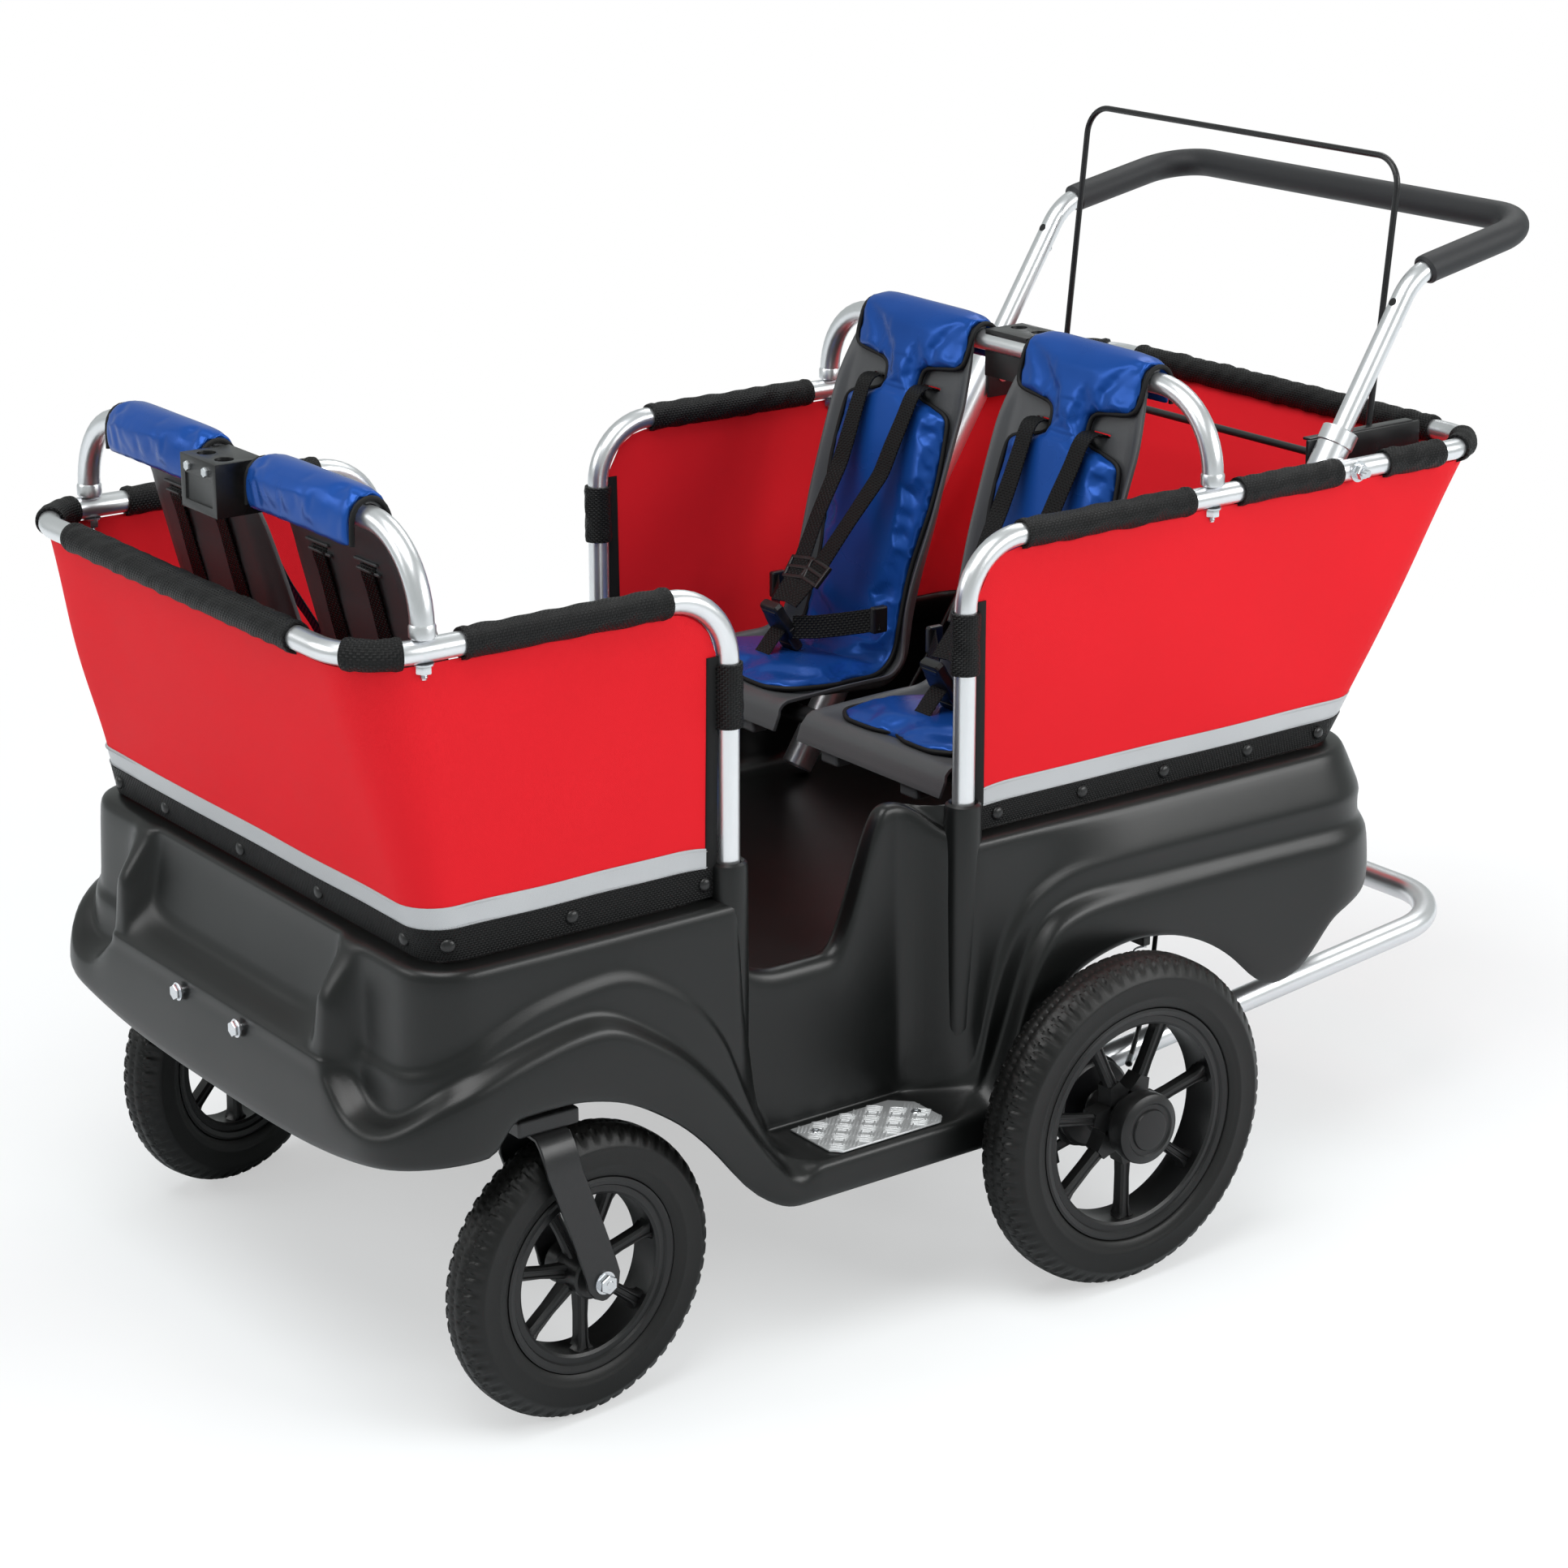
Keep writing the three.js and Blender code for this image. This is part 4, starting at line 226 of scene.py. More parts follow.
def make_weave():
    """Plain weave: threads of one pitch pass over and under each other."""
    tree, given, out = shader_group("plain_weave", {"Pitch": 0.001, "Slack": 0.2}, ["Height"])
    drift = noise(tree, given["Vector"], 55, 2)["Color"]
    scaled = vectors(tree, "SCALE", {0: given["Vector"], 3: maths(tree, "DIVIDE", pi, given["Pitch"])})[0]
    wander = vectors(tree, "SCALE", {0: drift, 3: maths(tree, "MULTIPLY", given["Slack"], 4.0)})[0]
    parts = node(tree, "ShaderNodeSeparateXYZ", {0: vectors(tree, "ADD", {0: scaled, 1: wander})[0]}).outputs
    warp, weft = (maths(tree, "SINE", parts[axis]) for axis in "XY")
    over = maths(tree, "GREATER_THAN", maths(tree, "MULTIPLY", warp, weft), 0.0)
    up = maths(tree, "MULTIPLY", maths(tree, "ABSOLUTE", warp), over)
    down = maths(tree, "MULTIPLY", maths(tree, "ABSOLUTE", weft), maths(tree, "SUBTRACT", 1.0, over))
    tree.links.new(maths(tree, "ADD", up, down), out["Height"])
    return tree


def make_mask(name, amounts, where):
    """A mask of rubbed edges or of dust: where the shape asks for it, broken up by noise."""
    tree, given, out = shader_group(name, amounts, ["Mask"])
    point = node(tree, "ShaderNodeNewGeometry").outputs
    mask = maths(tree, "MULTIPLY", *where(tree, given, point))
    tree.links.new(maths(tree, "MULTIPLY", mask, given["Amount"], clamp=True), out["Mask"])
    return tree


def rubbed_edges(tree, given, point):
    scale = maths(tree, "DIVIDE", 1.0, given["Size"])
    return (spread(tree, point["Pointiness"], 0.0, 1.0, 0.52, 0.6),
            noise(tree, given["Vector"], scale, 5, Roughness=0.7)["Fac"])


def faces_that_look_up(tree, given, point):
    up = node(tree, "ShaderNodeSeparateXYZ", {0: point["Normal"]}).outputs["Z"]
    return spread(tree, up, 0.0, 1.0, 0.3, 1.0), noise(tree, given["Vector"], 9, 6, Roughness=0.65)["Fac"]


GRAIN = make_grain()
WEAVE = make_weave()
WEAR = make_mask("rubbed_edges", {"Amount": 0.4, "Size": 0.01}, rubbed_edges)
DUST = make_mask("settled_dust", {"Amount": 0.1}, faces_that_look_up)
DUST_COLOUR = (0.5, 0.48, 0.44, 1)
PATCH_SIZE, WEAR_SIZE = 0.09, 0.006
BUMP_DEPTH, BUMP_STRENGTH = 0.0006, 0.6
BRUSH_HEIGHT, BRUSH_TONES = 0.05, (0.95, 1.04)


def shade(name, colour, darker, roughness, metallic=0.0, grain=0.0012, depth=0.15, wear=None, dust=0.04,
          weave=None, creases=None, gloss_spread=0.08, specular=0.5, brushed=None):
    """A finish: two tones in slow patches, grain or weave in the bump, rubbed edges and settled dust."""
    material = bpy.data.materials.new(name)
    tree = cleared(material)
    where = node(tree, "ShaderNodeTexCoord").outputs
    place, surface = where["Object"], where["UV"]
    grained = group(tree, GRAIN, {"Vector": place, "Size": grain, "Patch Size": PATCH_SIZE})
    base = blend_colour(tree, grained["Patch"], (*darker, 1), (*colour, 1))
    height = maths(tree, "MULTIPLY", grained["Height"], depth)

    def add_relief(base, height, value, share, tones):
        height = maths(tree, "ADD", height, maths(tree, "MULTIPLY", value, share))
        return blend_colour(tree, 1.0, base, spread(tree, value, *tones), "MULTIPLY"), height

    def stretched(vector, scale, detail, **more):
        drawn = node(tree, "ShaderNodeMapping", {"Vector": vector, "Scale": scale}).outputs[0]
        return noise(tree, drawn, 1, detail, **more)["Fac"]

    if weave:
        pitch, slack, relief, shadow = weave
        woven = group(tree, WEAVE, {"Vector": surface, "Pitch": pitch, "Slack": slack})["Height"]
        base, height = add_relief(base, height, woven, relief, (1 - shadow, 1.0))
    if brushed:
        lines = stretched(place, brushed, 4, Roughness=0.7)
        base, height = add_relief(base, height, lines, BRUSH_HEIGHT, BRUSH_TONES)
    if dust:
        dusty = group(tree, DUST, {"Vector": place, "Amount": dust})["Mask"]
        base = blend_colour(tree, dusty, base, DUST_COLOUR)
    if wear:
        amount, bare = wear
        worn = group(tree, WEAR, {"Vector": place, "Amount": amount, "Size": WEAR_SIZE})["Mask"]
        base = blend_colour(tree, worn, base, (*bare, 1))
    gloss = spread(tree, grained["Patch"], roughness - gloss_spread, roughness + gloss_spread)
    bump = {"Height": height, "Distance": BUMP_DEPTH, "Strength": BUMP_STRENGTH}
    normal = node(tree, "ShaderNodeBump", bump).outputs[0]
    if creases:
        long, wide, swirl, deep = creases
        folds = stretched(surface, (long, wide, 1), 2, Roughness=0.45, Distortion=swirl)
        bump = {"Height": folds, "Distance": deep, "Strength": 0.8, "Normal": normal}
        normal = node(tree, "ShaderNodeBump", bump).outputs[0]
    shader = node(tree, "ShaderNodeBsdfPrincipled", {
        "Base Color": base, "Roughness": gloss, "Metallic": metallic, "Normal": normal,
        "Specular IOR Level": specular})
    node(tree, "ShaderNodeOutputMaterial", {"Surface": shader.outputs[0]})
    return material


SQUARE = ((-1, -1), (1, -1), (1, 1), (-1, 1))

bpy.context.scene.view_settings.view_transform = "Standard"
photo_camera()
studio_world()
for name, setting in SOFTBOXES.items():
    softbox(name, *setting)
paper_floor()

BLACK, DEEP_BLACK = (0.008, 0.008, 0.0085), (0.005, 0.005, 0.0055)
TUB_PLASTIC = shade("black_tub_plastic", (0.0042, 0.0048, 0.0047), (0.003, 0.0034, 0.0034), 0.34, grain=0.0011,
                    depth=0.22, wear=(0.2, (0.05, 0.05, 0.055)), dust=0.006, gloss_spread=0.05, specular=0.42)
RIM_PLASTIC = shade("black_rim_plastic", BLACK, DEEP_BLACK, 0.34, grain=0.0009, depth=0.3,
                    wear=(0.3, (0.04, 0.04, 0.04)), dust=0.02, specular=0.4)
SHELL_PLASTIC = shade("grey_shell_plastic", (0.07, 0.072, 0.076), (0.058, 0.06, 0.064), 0.36, grain=0.0010,
                      depth=0.5, wear=(0.3, (0.15, 0.15, 0.155)), dust=0.02, specular=0.4)
TUBE_METAL = shade("satin_tube_aluminium", (0.8, 0.81, 0.83), (0.72, 0.73, 0.75), 0.3, metallic=0.92,
                   grain=0.0007, depth=0.06, dust=0.0, brushed=(900, 60, 60))
PLATE_METAL = shade("tread_plate_aluminium", (0.72, 0.73, 0.74), (0.6, 0.61, 0.62), 0.34, metallic=0.6,
                    grain=0.0008, depth=0.3, wear=(0.4, (0.85, 0.85, 0.85)), dust=0.05)
ZINC = shade("zinc_plated_steel", (0.74, 0.76, 0.78), (0.6, 0.62, 0.65), 0.26, metallic=0.96, grain=0.0008,
             dust=0.02)
BLACK_STEEL = shade("black_coated_steel", (0.008, 0.008, 0.009), (0.005, 0.005, 0.006), 0.3, grain=0.0009,
                    depth=0.35, wear=(0.3, (0.06, 0.06, 0.06)), dust=0.02, specular=0.45)
FOAM = shade("grey_foam_grip", (0.018, 0.0185, 0.021), (0.012, 0.0125, 0.0145), 0.52, grain=0.0009, depth=0.9,
             dust=0.015, specular=0.4)
TYRE_RUBBER = shade("tyre_rubber", (0.0042, 0.0042, 0.004), (0.0026, 0.0026, 0.0025), 0.44, depth=0.4,
                    wear=(0.25, (0.03, 0.03, 0.03)), dust=0.02, specular=0.35)
RED_CLOTH = shade("red_coated_cloth", (0.86, 0.015, 0.026), (0.8, 0.0125, 0.021), 0.66, grain=0.002, depth=0.1,
                  dust=0.0, weave=(0.0007, 0.15, 0.5, 0.1), creases=(3.2, 2.2, 0.6, 0.008), specular=0.12)
BLACK_WEAVE = shade("black_coarse_weave", (0.011, 0.011, 0.0115), DEEP_BLACK, 0.5, grain=0.002, depth=0.2,
                    dust=0.01, weave=(0.0021, 0.25, 2.6, 0.75), creases=(26, 9, 1.2, 0.0022), specular=0.2)
BINDING = shade("black_binding_tape", BLACK, DEEP_BLACK, 0.6, grain=0.001, depth=0.5, dust=0.01,
                weave=(0.0009, 0.2, 0.8, 0.3), specular=0.25)
WEBBING = shade("black_webbing", BLACK, (0.004, 0.004, 0.0045), 0.52, grain=0.001, depth=0.2, dust=0.01,
                weave=(0.0026, 0.1, 2.6, 0.7), specular=0.16)
REFLECTIVE = shade("grey_reflective_tape", (0.56, 0.57, 0.59), (0.5, 0.51, 0.53), 0.4, metallic=0.2,
                   grain=0.0006, depth=0.4, dust=0.0, weave=(0.0011, 0.05, 0.3, 0.08), specular=0.3)
BLUE_SATIN = shade("blue_satin", (0.012, 0.085, 0.39), (0.007, 0.058, 0.28), 0.28, metallic=0.34, grain=0.0015,
                   depth=0.1, dust=0.0, weave=(0.0006, 0.1, 0.3, 0.08), creases=(15, 8, 1.1, 0.0036),
                   specular=0.2)
BUCKLE_PLASTIC = shade("black_buckle_plastic", BLACK, DEEP_BLACK, 0.3, grain=0.0008, depth=0.3,
                       wear=(0.3, (0.04, 0.04, 0.04)), dust=0.01, specular=0.45)


# ---------------------------------------------------------------- mesh helpers

def span(a, b, count):
    return list(np.linspace(a, b, count))


def mix(a, b, t):
    return a + (b - a) * t


def smooth(t):
    c = np.clip(t, 0, 1)
    return c * c * (3 - 2 * c)


def vec(*xyz):
    return np.array(xyz, float)


def unit(v):
    return v / np.linalg.norm(v)


def shift_by(x, y, z):
    return Matrix.Translation((x * MM, y * MM, z * MM))


def run_lengths(line):
    """How far along a line each of its points lies."""
    return np.concatenate([[0], np.cumsum(np.linalg.norm(np.diff(line, axis=0), axis=1))])


def plain(name, points, faces, uv=None, edges=()):
    """A mesh object from millimetre points in the axle frame; uv is one pair for each face corner, in metres."""
    mesh = bpy.data.meshes.new(name)
    points = np.asarray(points, float).reshape(-1, 3)
    placed = (points + (0, AXLE_TO_FRAME, 0)) * MM
    mesh.from_pydata(placed.tolist(), list(edges), [list(map(int, f)) for f in faces])
    if uv is not None:
        layer = mesh.uv_layers.new(name="surface")
        layer.data.foreach_set("uv", np.asarray(uv, np.float32).ravel())
    mesh.validate()
    return linked(name, mesh)


def made_plain(ob):
    """The mesh that the modifiers make of an object."""
    graph = bpy.context.evaluated_depsgraph_get()
    graph.update()
    return bpy.data.meshes.new_from_object(ob.evaluated_get(graph))


def modify(ob, kind, **settings):
    """Adds a modifier and turns what it makes into the object's own plain mesh."""
    made = ob.modifiers.new(kind.lower(), kind)
    for key, value in settings.items():
        setattr(made, key, value)
    return bake(ob)


def bake(ob):
    mesh = made_plain(ob)
    ob.modifiers.clear()
    ob.data = mesh
    return ob


def bevel(ob, width, segments=2, degrees=32):
    return modify(ob, "BEVEL", width=width * MM, segments=segments, limit_method="ANGLE",
                  angle_limit=math.radians(degrees))


def thicken(ob, thickness):
    return modify(ob, "SOLIDIFY", thickness=thickness * MM, offset=0)


def subdivide(ob):
    return modify(ob, "SUBSURF", levels=1, render_levels=1)


def take(ob, cutter):
    """Cuts the cutter's shape out of ob."""
    modify(ob, "BOOLEAN", operation="DIFFERENCE", solver="EXACT", object=cutter)
    bpy.data.objects.remove(cutter)
    return ob


def round_shading(ob, degrees=38):
    mesh = ob.data
    mesh.polygons.foreach_set("use_smooth", [True] * len(mesh.polygons))
    mesh.set_sharp_from_angle(angle=math.radians(degrees))
    return ob


def face_out(ob, weld=True):
    bm = bmesh.new()
    bm.from_mesh(ob.data)
    if weld:
        bmesh.ops.remove_doubles(bm, verts=bm.verts, dist=1e-6)
    bmesh.ops.recalc_face_normals(bm, faces=bm.faces)
    bm.to_mesh(ob.data)
    bm.free()
    return ob


def joined(name, *obs):
    """One object from several, with their own materials kept."""
    bm = bmesh.new()
    mesh = bpy.data.meshes.new(name)
    for o in obs:
        indices = []
        for m in (m for m in o.data.materials if m):
            if m.name not in mesh.materials:
                mesh.materials.append(m)
            indices.append(mesh.materials.find(m.name))
        before = len(bm.faces)
        bm.from_mesh(o.data)
        bm.faces.ensure_lookup_table()
        for f in bm.faces[before:]:
            if indices:
                f.material_index = indices[min(f.material_index, len(indices) - 1)]
    bm.to_mesh(mesh)
    bm.free()
    for o in obs:
        bpy.data.objects.remove(o)
    return linked(name, mesh)


def paint(ob, material):
    ob.data.materials.clear()
    ob.data.materials.append(material)
    ob.data.polygons.foreach_set("material_index", [0] * len(ob.data.polygons))
    return ob


def dress(ob, material, body, slot, *nodes):
    """Gives a finished piece its finish, its body and the frame nodes that it stands for; its slot is not used."""
    if material is not None:
        paint(ob, material)
    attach(ob, body)
    if nodes:
        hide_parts(*nodes)
    return ob


def grid_faces(rows, columns, close_rows=False, close_columns=False):
    faces = []
    for r in range(rows if close_rows else rows - 1):
        for c in range(columns if close_columns else columns - 1):
            a, b = r * columns + c, r * columns + (c + 1) % columns
            s = ((r + 1) % rows) * columns
            faces.append((a, b, s + (c + 1) % columns, s + c))
    return faces


def loft(name, rings, caps=True):
    """Closed rings of equal length, joined into one skin; the last ring may be the first one again."""
    rings = [np.asarray(r, float) for r in rings]
    closed = np.allclose(rings[0], rings[-1]) and len(rings) > 3
    if closed:
        rings = rings[:-1]
    n, m = len(rings), len(rings[0])
    faces = grid_faces(n, m, close_rows=closed, close_columns=True)
    walls = len(faces)
    if caps and not closed:
        faces += [tuple(range(m))[::-1], tuple((n - 1) * m + i for i in range(m))]
    along = run_lengths([ring[0] for ring in rings]) * MM
    along = np.append(along, along[-1] + 0.01)
    around = run_lengths([*rings[0], rings[0][0]]) * MM
    uv = []
    for f in faces[:walls]:
        r, c = divmod(f[0], m)
        uv += [(around[c + i], along[r + j]) for i, j in ((0, 0), (1, 0), (1, 1), (0, 1))]
    uv += [(0.0, 0.0)] * sum(len(f) for f in faces[walls:])
    return face_out(plain(name, np.concatenate(rings), faces, uv), False)


def lathe(name, profile, steps, axis=0, closed=True):
    """Turns a profile of [radius, along] about the X or Z axis; a closed profile makes a ring."""
    points = []
    for k in range(steps):
        t = 2 * pi * k / steps
        for r, a in profile:
            points.append((a, r * cos(t), r * sin(t)) if axis == 0 else (r * cos(t), r * sin(t), a))
    faces = grid_faces(steps, len(profile), close_rows=True, close_columns=closed)
    return face_out(plain(name, np.array(points) - (0, AXLE_TO_FRAME, 0), faces))


def block(name, xs, ys, zs, edge=0, segments=2, local=False):
    """A block between two X, two Y and two Z, in the axle frame or, if local, round the frame's own origin."""
    (x0, x1), (y0, y1), (z0, z1) = (sorted(pair) for pair in (xs, ys, zs))
    down = AXLE_TO_FRAME if local else 0
    corners = [(x, y - down, z) for z in (z0, z1) for x, y in ((x0, y0), (x1, y0), (x1, y1), (x0, y1))]
    ob = plain(name, corners, [(3, 2, 1, 0), (4, 5, 6, 7), (0, 1, 5, 4), (1, 2, 6, 5), (2, 3, 7, 6), (3, 0, 4, 7)])
    return bevel(ob, edge, segments) if edge else ob


def move(ob, xyz=(0, 0, 0)):
    """Moves a mesh that was drawn round the frame's own origin to a place given in the axle frame."""
    x, y, z = xyz
    ob.data.transform(shift_by(x, y + AXLE_TO_FRAME, z))
    return ob


def turned(ob, matrix):
    """Turns or mirrors a mesh."""
    ob.data.transform(matrix)
    if matrix.determinant() < 0:
        ob.data.flip_normals()
    return ob


def twin(ob, name, matrix=None):
    copy = linked(name, ob.data.copy())
    return turned(copy, matrix) if matrix is not None else copy


def remove(*obs):
    for ob in obs:
        bpy.data.objects.remove(ob)


FLIP_X = Matrix.Diagonal((-1, 1, 1, 1))


def bent_line(corners, radii, steps=12):
    """A line through corners that are rounded off with the given radii."""
    corners = [np.asarray(c, float) for c in corners]
    out = [corners[0]]
    for before, at, after, radius in zip(corners, corners[1:], corners[2:], radii):
        u, w = unit(before - at), unit(after - at)
        half = math.acos(np.clip(u @ w, -1, 1)) / 2
        centre = at + unit(u + w) * radius / sin(half)
        start = at + u * radius / tan(half) - centre
        across = unit(np.cross(start, at + w * radius / tan(half) - centre))
        for k in range(steps + 1):
            a = (pi - 2 * half) * k / steps
            out.append(centre + start * cos(a) + np.cross(across, start) * sin(a))
    return np.array(out + [corners[-1]])


def resample(line, count):
    line = np.asarray(line, float)
    at = run_lengths(line)
    want = np.linspace(0, at[-1], count)
    return np.stack([np.interp(want, at, line[:, k]) for k in range(3)], 1)


def rounded(line, count, passes):
    line = resample(line, count)
    for _ in range(passes):
        line[1:-1] = line[1:-1] * 0.5 + (line[:-2] + line[2:]) * 0.25
    return line


def tangents(line):
    ahead = np.gradient(np.asarray(line, float), axis=0)
    return ahead / np.linalg.norm(ahead, axis=1)[:, None]


def frames_along(line):
    """Tangent, side and normal at each point of a line, carried along without twist."""
    tangent = tangents(line)
    side = np.cross((0, 0, 1), tangent[0])
    if np.linalg.norm(side) < 0.05:
        side = np.cross((0, 1, 0.01), tangent[0])
    sides = []
    for t in tangent:
        side = unit(side - t * (side @ t))
        sides.append(side)
    return tangent, np.array(sides), np.cross(tangent, sides)


# ---------------------------------------------------------------- geometry-node tools

def geometry_group(name, inputs):
    inputs = [("Geometry", "Geometry", None), *inputs, ("Material", "Material", None)]
    return new_group(name, "GeometryNodeTree", inputs, [("Geometry", "Geometry")])


def send_out(tree, given, out, geometry):
    real = node(tree, "GeometryNodeRealizeInstances", {0: geometry})
    kept = {"Geometry": real.outputs[0], "Material": given["Material"]}
    tree.links.new(node(tree, "GeometryNodeSetMaterial", kept).outputs[0], out["Geometry"])
    return tree


def send_copies_out(tree, given, out, points, rotation):
    part = node(tree, "GeometryNodeObjectInfo", {"Object": given["Part"]}).outputs["Geometry"]
    many = node(tree, "GeometryNodeInstanceOnPoints", {"Points": points, "Instance": part, "Rotation": rotation})
    return send_out(tree, given, out, many.outputs[0])


def make_tube_tree():
    """A round tube of one radius along a path of edges, with closed ends."""
    tree, given, out = geometry_group("tube_on_path", [("Radius", "Float", 0.01), ("Sides", "Int", 28)])
    path = node(tree, "GeometryNodeMeshToCurve", {0: given["Geometry"]}).outputs[0]
    ring = node(tree, "GeometryNodeCurvePrimitiveCircle", {"Resolution": given["Sides"], "Radius": given["Radius"]})
    skin = node(tree, "GeometryNodeCurveToMesh", {
        "Curve": path, "Profile Curve": ring.outputs[0], "Fill Caps": True})
    return send_out(tree, given, out, skin.outputs[0])


def make_scatter_tree():
    """Copies of one small part on given points, each turned so that its Z follows the point's facing."""
    tree, given, out = geometry_group("parts_on_points", [("Part", "Object", None)])
    points = node(tree, "GeometryNodeMeshToPoints", {0: given["Geometry"]}).outputs[0]
    facing, along = (node(tree, "GeometryNodeInputNamedAttribute", {"Name": name}, data_type="FLOAT_VECTOR")
                     .outputs["Attribute"] for name in ("facing", "along"))
    up = node(tree, "FunctionNodeAlignRotationToVector", {"Vector": facing}, axis="Z").outputs[0]
    rotation = node(tree, "FunctionNodeAlignRotationToVector", {"Rotation": up, "Vector": along},
                    axis="X", pivot_axis="Z").outputs[0]
    return send_copies_out(tree, given, out, points, rotation)


def make_wheel_ring_tree():
    """Copies of one part in a ring about the X axis, such as spokes."""
    tree, given, out = geometry_group("parts_round_wheel", [
        ("Part", "Object", None), ("Count", "Int", 7), ("Start", "Float", 0.0)])
    line = node(tree, "GeometryNodeMeshLine", {"Count": given["Count"], "Offset": (0, 0, 0)}).outputs[0]
    index = node(tree, "GeometryNodeInputIndex").outputs[0]
    step = maths(tree, "DIVIDE", 2 * pi, given["Count"])
    angle = maths(tree, "ADD", maths(tree, "MULTIPLY", index, step), given["Start"])
    rotation = node(tree, "ShaderNodeCombineXYZ", {"X": angle}).outputs[0]
    return send_copies_out(tree, given, out, line, rotation)


TUBE_TREE, SCATTER_TREE, WHEEL_RING_TREE = make_tube_tree(), make_scatter_tree(), make_wheel_ring_tree()


def grow(ob, tree, **values):
    """Runs a geometry-node tree on an object and keeps the result as its plain mesh."""
    made = ob.modifiers.new(tree.name, "NODES")
    made.node_group = tree
    for item in tree.interface.items_tree:
        if item.in_out == "INPUT" and item.name.lower() in values:
            made[item.identifier] = values[item.name.lower()]
    return bake(ob)


def tube(name, line, radius, material, sides=28):
    path = plain(name, line, [], edges=[(i, i + 1) for i in range(len(line) - 1)])
    return round_shading(grow(path, TUBE_TREE, radius=radius * MM, sides=sides, material=material))


def scatter(name, part, places, facings, material, along=(0, 1, 0)):
    """Copies of part at places in the axle frame; the part is drawn round the frame's own origin, in metres."""
    ob = plain(name, places, [])
    for label, ways in (("facing", facings), ("along", along)):
        layer = ob.data.attributes.new(label, "FLOAT_VECTOR", "POINT")
        ways = np.broadcast_to(np.asarray(ways, np.float32), (len(places), 3))
        layer.data.foreach_set("vector", ways.ravel())
    grow(ob, SCATTER_TREE, part=part, material=material)
    remove(part)
    return round_shading(ob)


def around_wheel(name, part, count, material, start):
    ob = grow(plain(name, [(0, 0, 0)], []), WHEEL_RING_TREE, part=part, count=count, start=start, material=material)
    remove(part)
    return ob


def turned_part(name, profile, steps=28):
    """A small turned part round the frame's own Z axis, in millimetres, for the scatter tree."""
    return lathe(name, profile, steps, axis=2, closed=False)


def washer(radius, thick):
    return turned_part("washer", [(0, 0), (radius, 0), (radius, thick), (0, thick)])


def hex_part(name, across, height):
    """A hexagon nut or bolt head that stands on its place."""
    dome = 0.8
    rings = []
    for z, share in ((0, 0.96), (dome, 1), (height - dome, 1), (height, 0.93), (height, 0.55)):
        r = across / 2 / cos(pi / 6) * share
        rings.append([(r * cos(pi / 3 * k), r * sin(pi / 3 * k) - AXLE_TO_FRAME, z) for k in range(6)])
    return round_shading(loft(name, rings), 25)


# ---------------------------------------------------------------- moulded tub

def curve_through(points):
    xs, ys = np.array(points, float).T
    slope = np.diff(ys) / np.diff(xs)
    tangents = []
    for i in range(len(xs)):
        a, b = slope[max(0, i - 1)], slope[min(len(slope) - 1, i)]
        tangents.append(0 if a * b <= 0 else 2 * a * b / (a + b))

    def at(x):
        if x <= xs[0]:
            return ys[0]
        if x >= xs[-1]:
            return ys[-1]
        i = int(np.searchsorted(xs, x, side="right")) - 1
        w = xs[i + 1] - xs[i]
        t = (x - xs[i]) / w
        return ((1 + 2 * t) * (1 - t) ** 2 * ys[i] + t * (1 - t) ** 2 * w * tangents[i]
                + t * t * (3 - 2 * t) * ys[i + 1] + t * t * (t - 1) * w * tangents[i + 1])
    return at


TUB_X, TUB_FRONT, TUB_REAR = 318, -714, 390
CORNER_FRONT, CORNER_REAR = 50, 70
LEDGE_Z, TUB_TOP, FLOOR_Z, UNDER_Z = 442, 474, 308, 299
SILL_FRONT, SILL_REAR, SILL_BOTTOM, SILL_OUT = -352, -124, 150, 34
STEP_Z, DOOR_FRONT, LIP_Z = 188, -386, 341
DOOR_OUTER, DOOR_INNER, RAMP_Y = 268, 232, -174
LOWER_OUT = 27
FRONT_WHEEL_Y, FRONT_R, REAR_R = -562, 135, 162
# Where a wall's section changes from its outer face to its rim, in points from the underside
OUTER_FACE_POINTS, SECTION_POINTS = 16, 32


def ridge(front_z, ahead, sill_front, sill_rear, behind, *end):
    """A height along the tub's side: shares of the wheel's radius over each wheel, and the sill between them."""
    return curve_through([
        (TUB_FRONT, front_z), *[(FRONT_WHEEL_Y + a * FRONT_R, b * FRONT_R) for a, b in ahead],
        (SILL_FRONT, sill_front), (SILL_REAR, sill_rear), *[(a * REAR_R, b * REAR_R) for a, b in behind], *end])


skin_edge = ridge(
    279, [(-0.65, 2.27), (-0.24, 2.28), (0.13, 2.21), (0.58, 1.96), (0.9, 1.67),
    (1.22, 1.27)], SILL_BOTTOM, SILL_BOTTOM,
    [(-0.43, 1.42), (-0.18, 1.79), (0.11, 1.9), (0.33, 1.93), (0.59, 1.9), (0.85, 1.81), (1.12, 1.64), (1.32, 1.45),
     (1.475, 1.38), (1.68, 1.42), (2, 1.72)], (TUB_REAR, 297))
lower_ridge = ridge(
    330, [(-0.59, 2.67), (0.02, 2.77), (0.58, 2.49), (1.03, 2.04), (1.26, 1.69)], STEP_Z - 6, STEP_Z + 6,
    [(-0.55, 1.67), (-0.43, 1.99), (-0.22, 2.2), (0.09, 2.25), (2.2, 2.22)])
upper_ridge = ridge(
    348, [(-0.75, 2.79), (-0.26, 2.96), (0.23, 3.01), (0.8, 2.73), (1.12, 2.32),
    (1.32, 1.81)], STEP_Z + 20, STEP_Z + 26,
    [(-0.67, 1.79), (-0.54, 2.13), (-0.3, 2.37), (0, 2.45), (2.2, 2.44)])


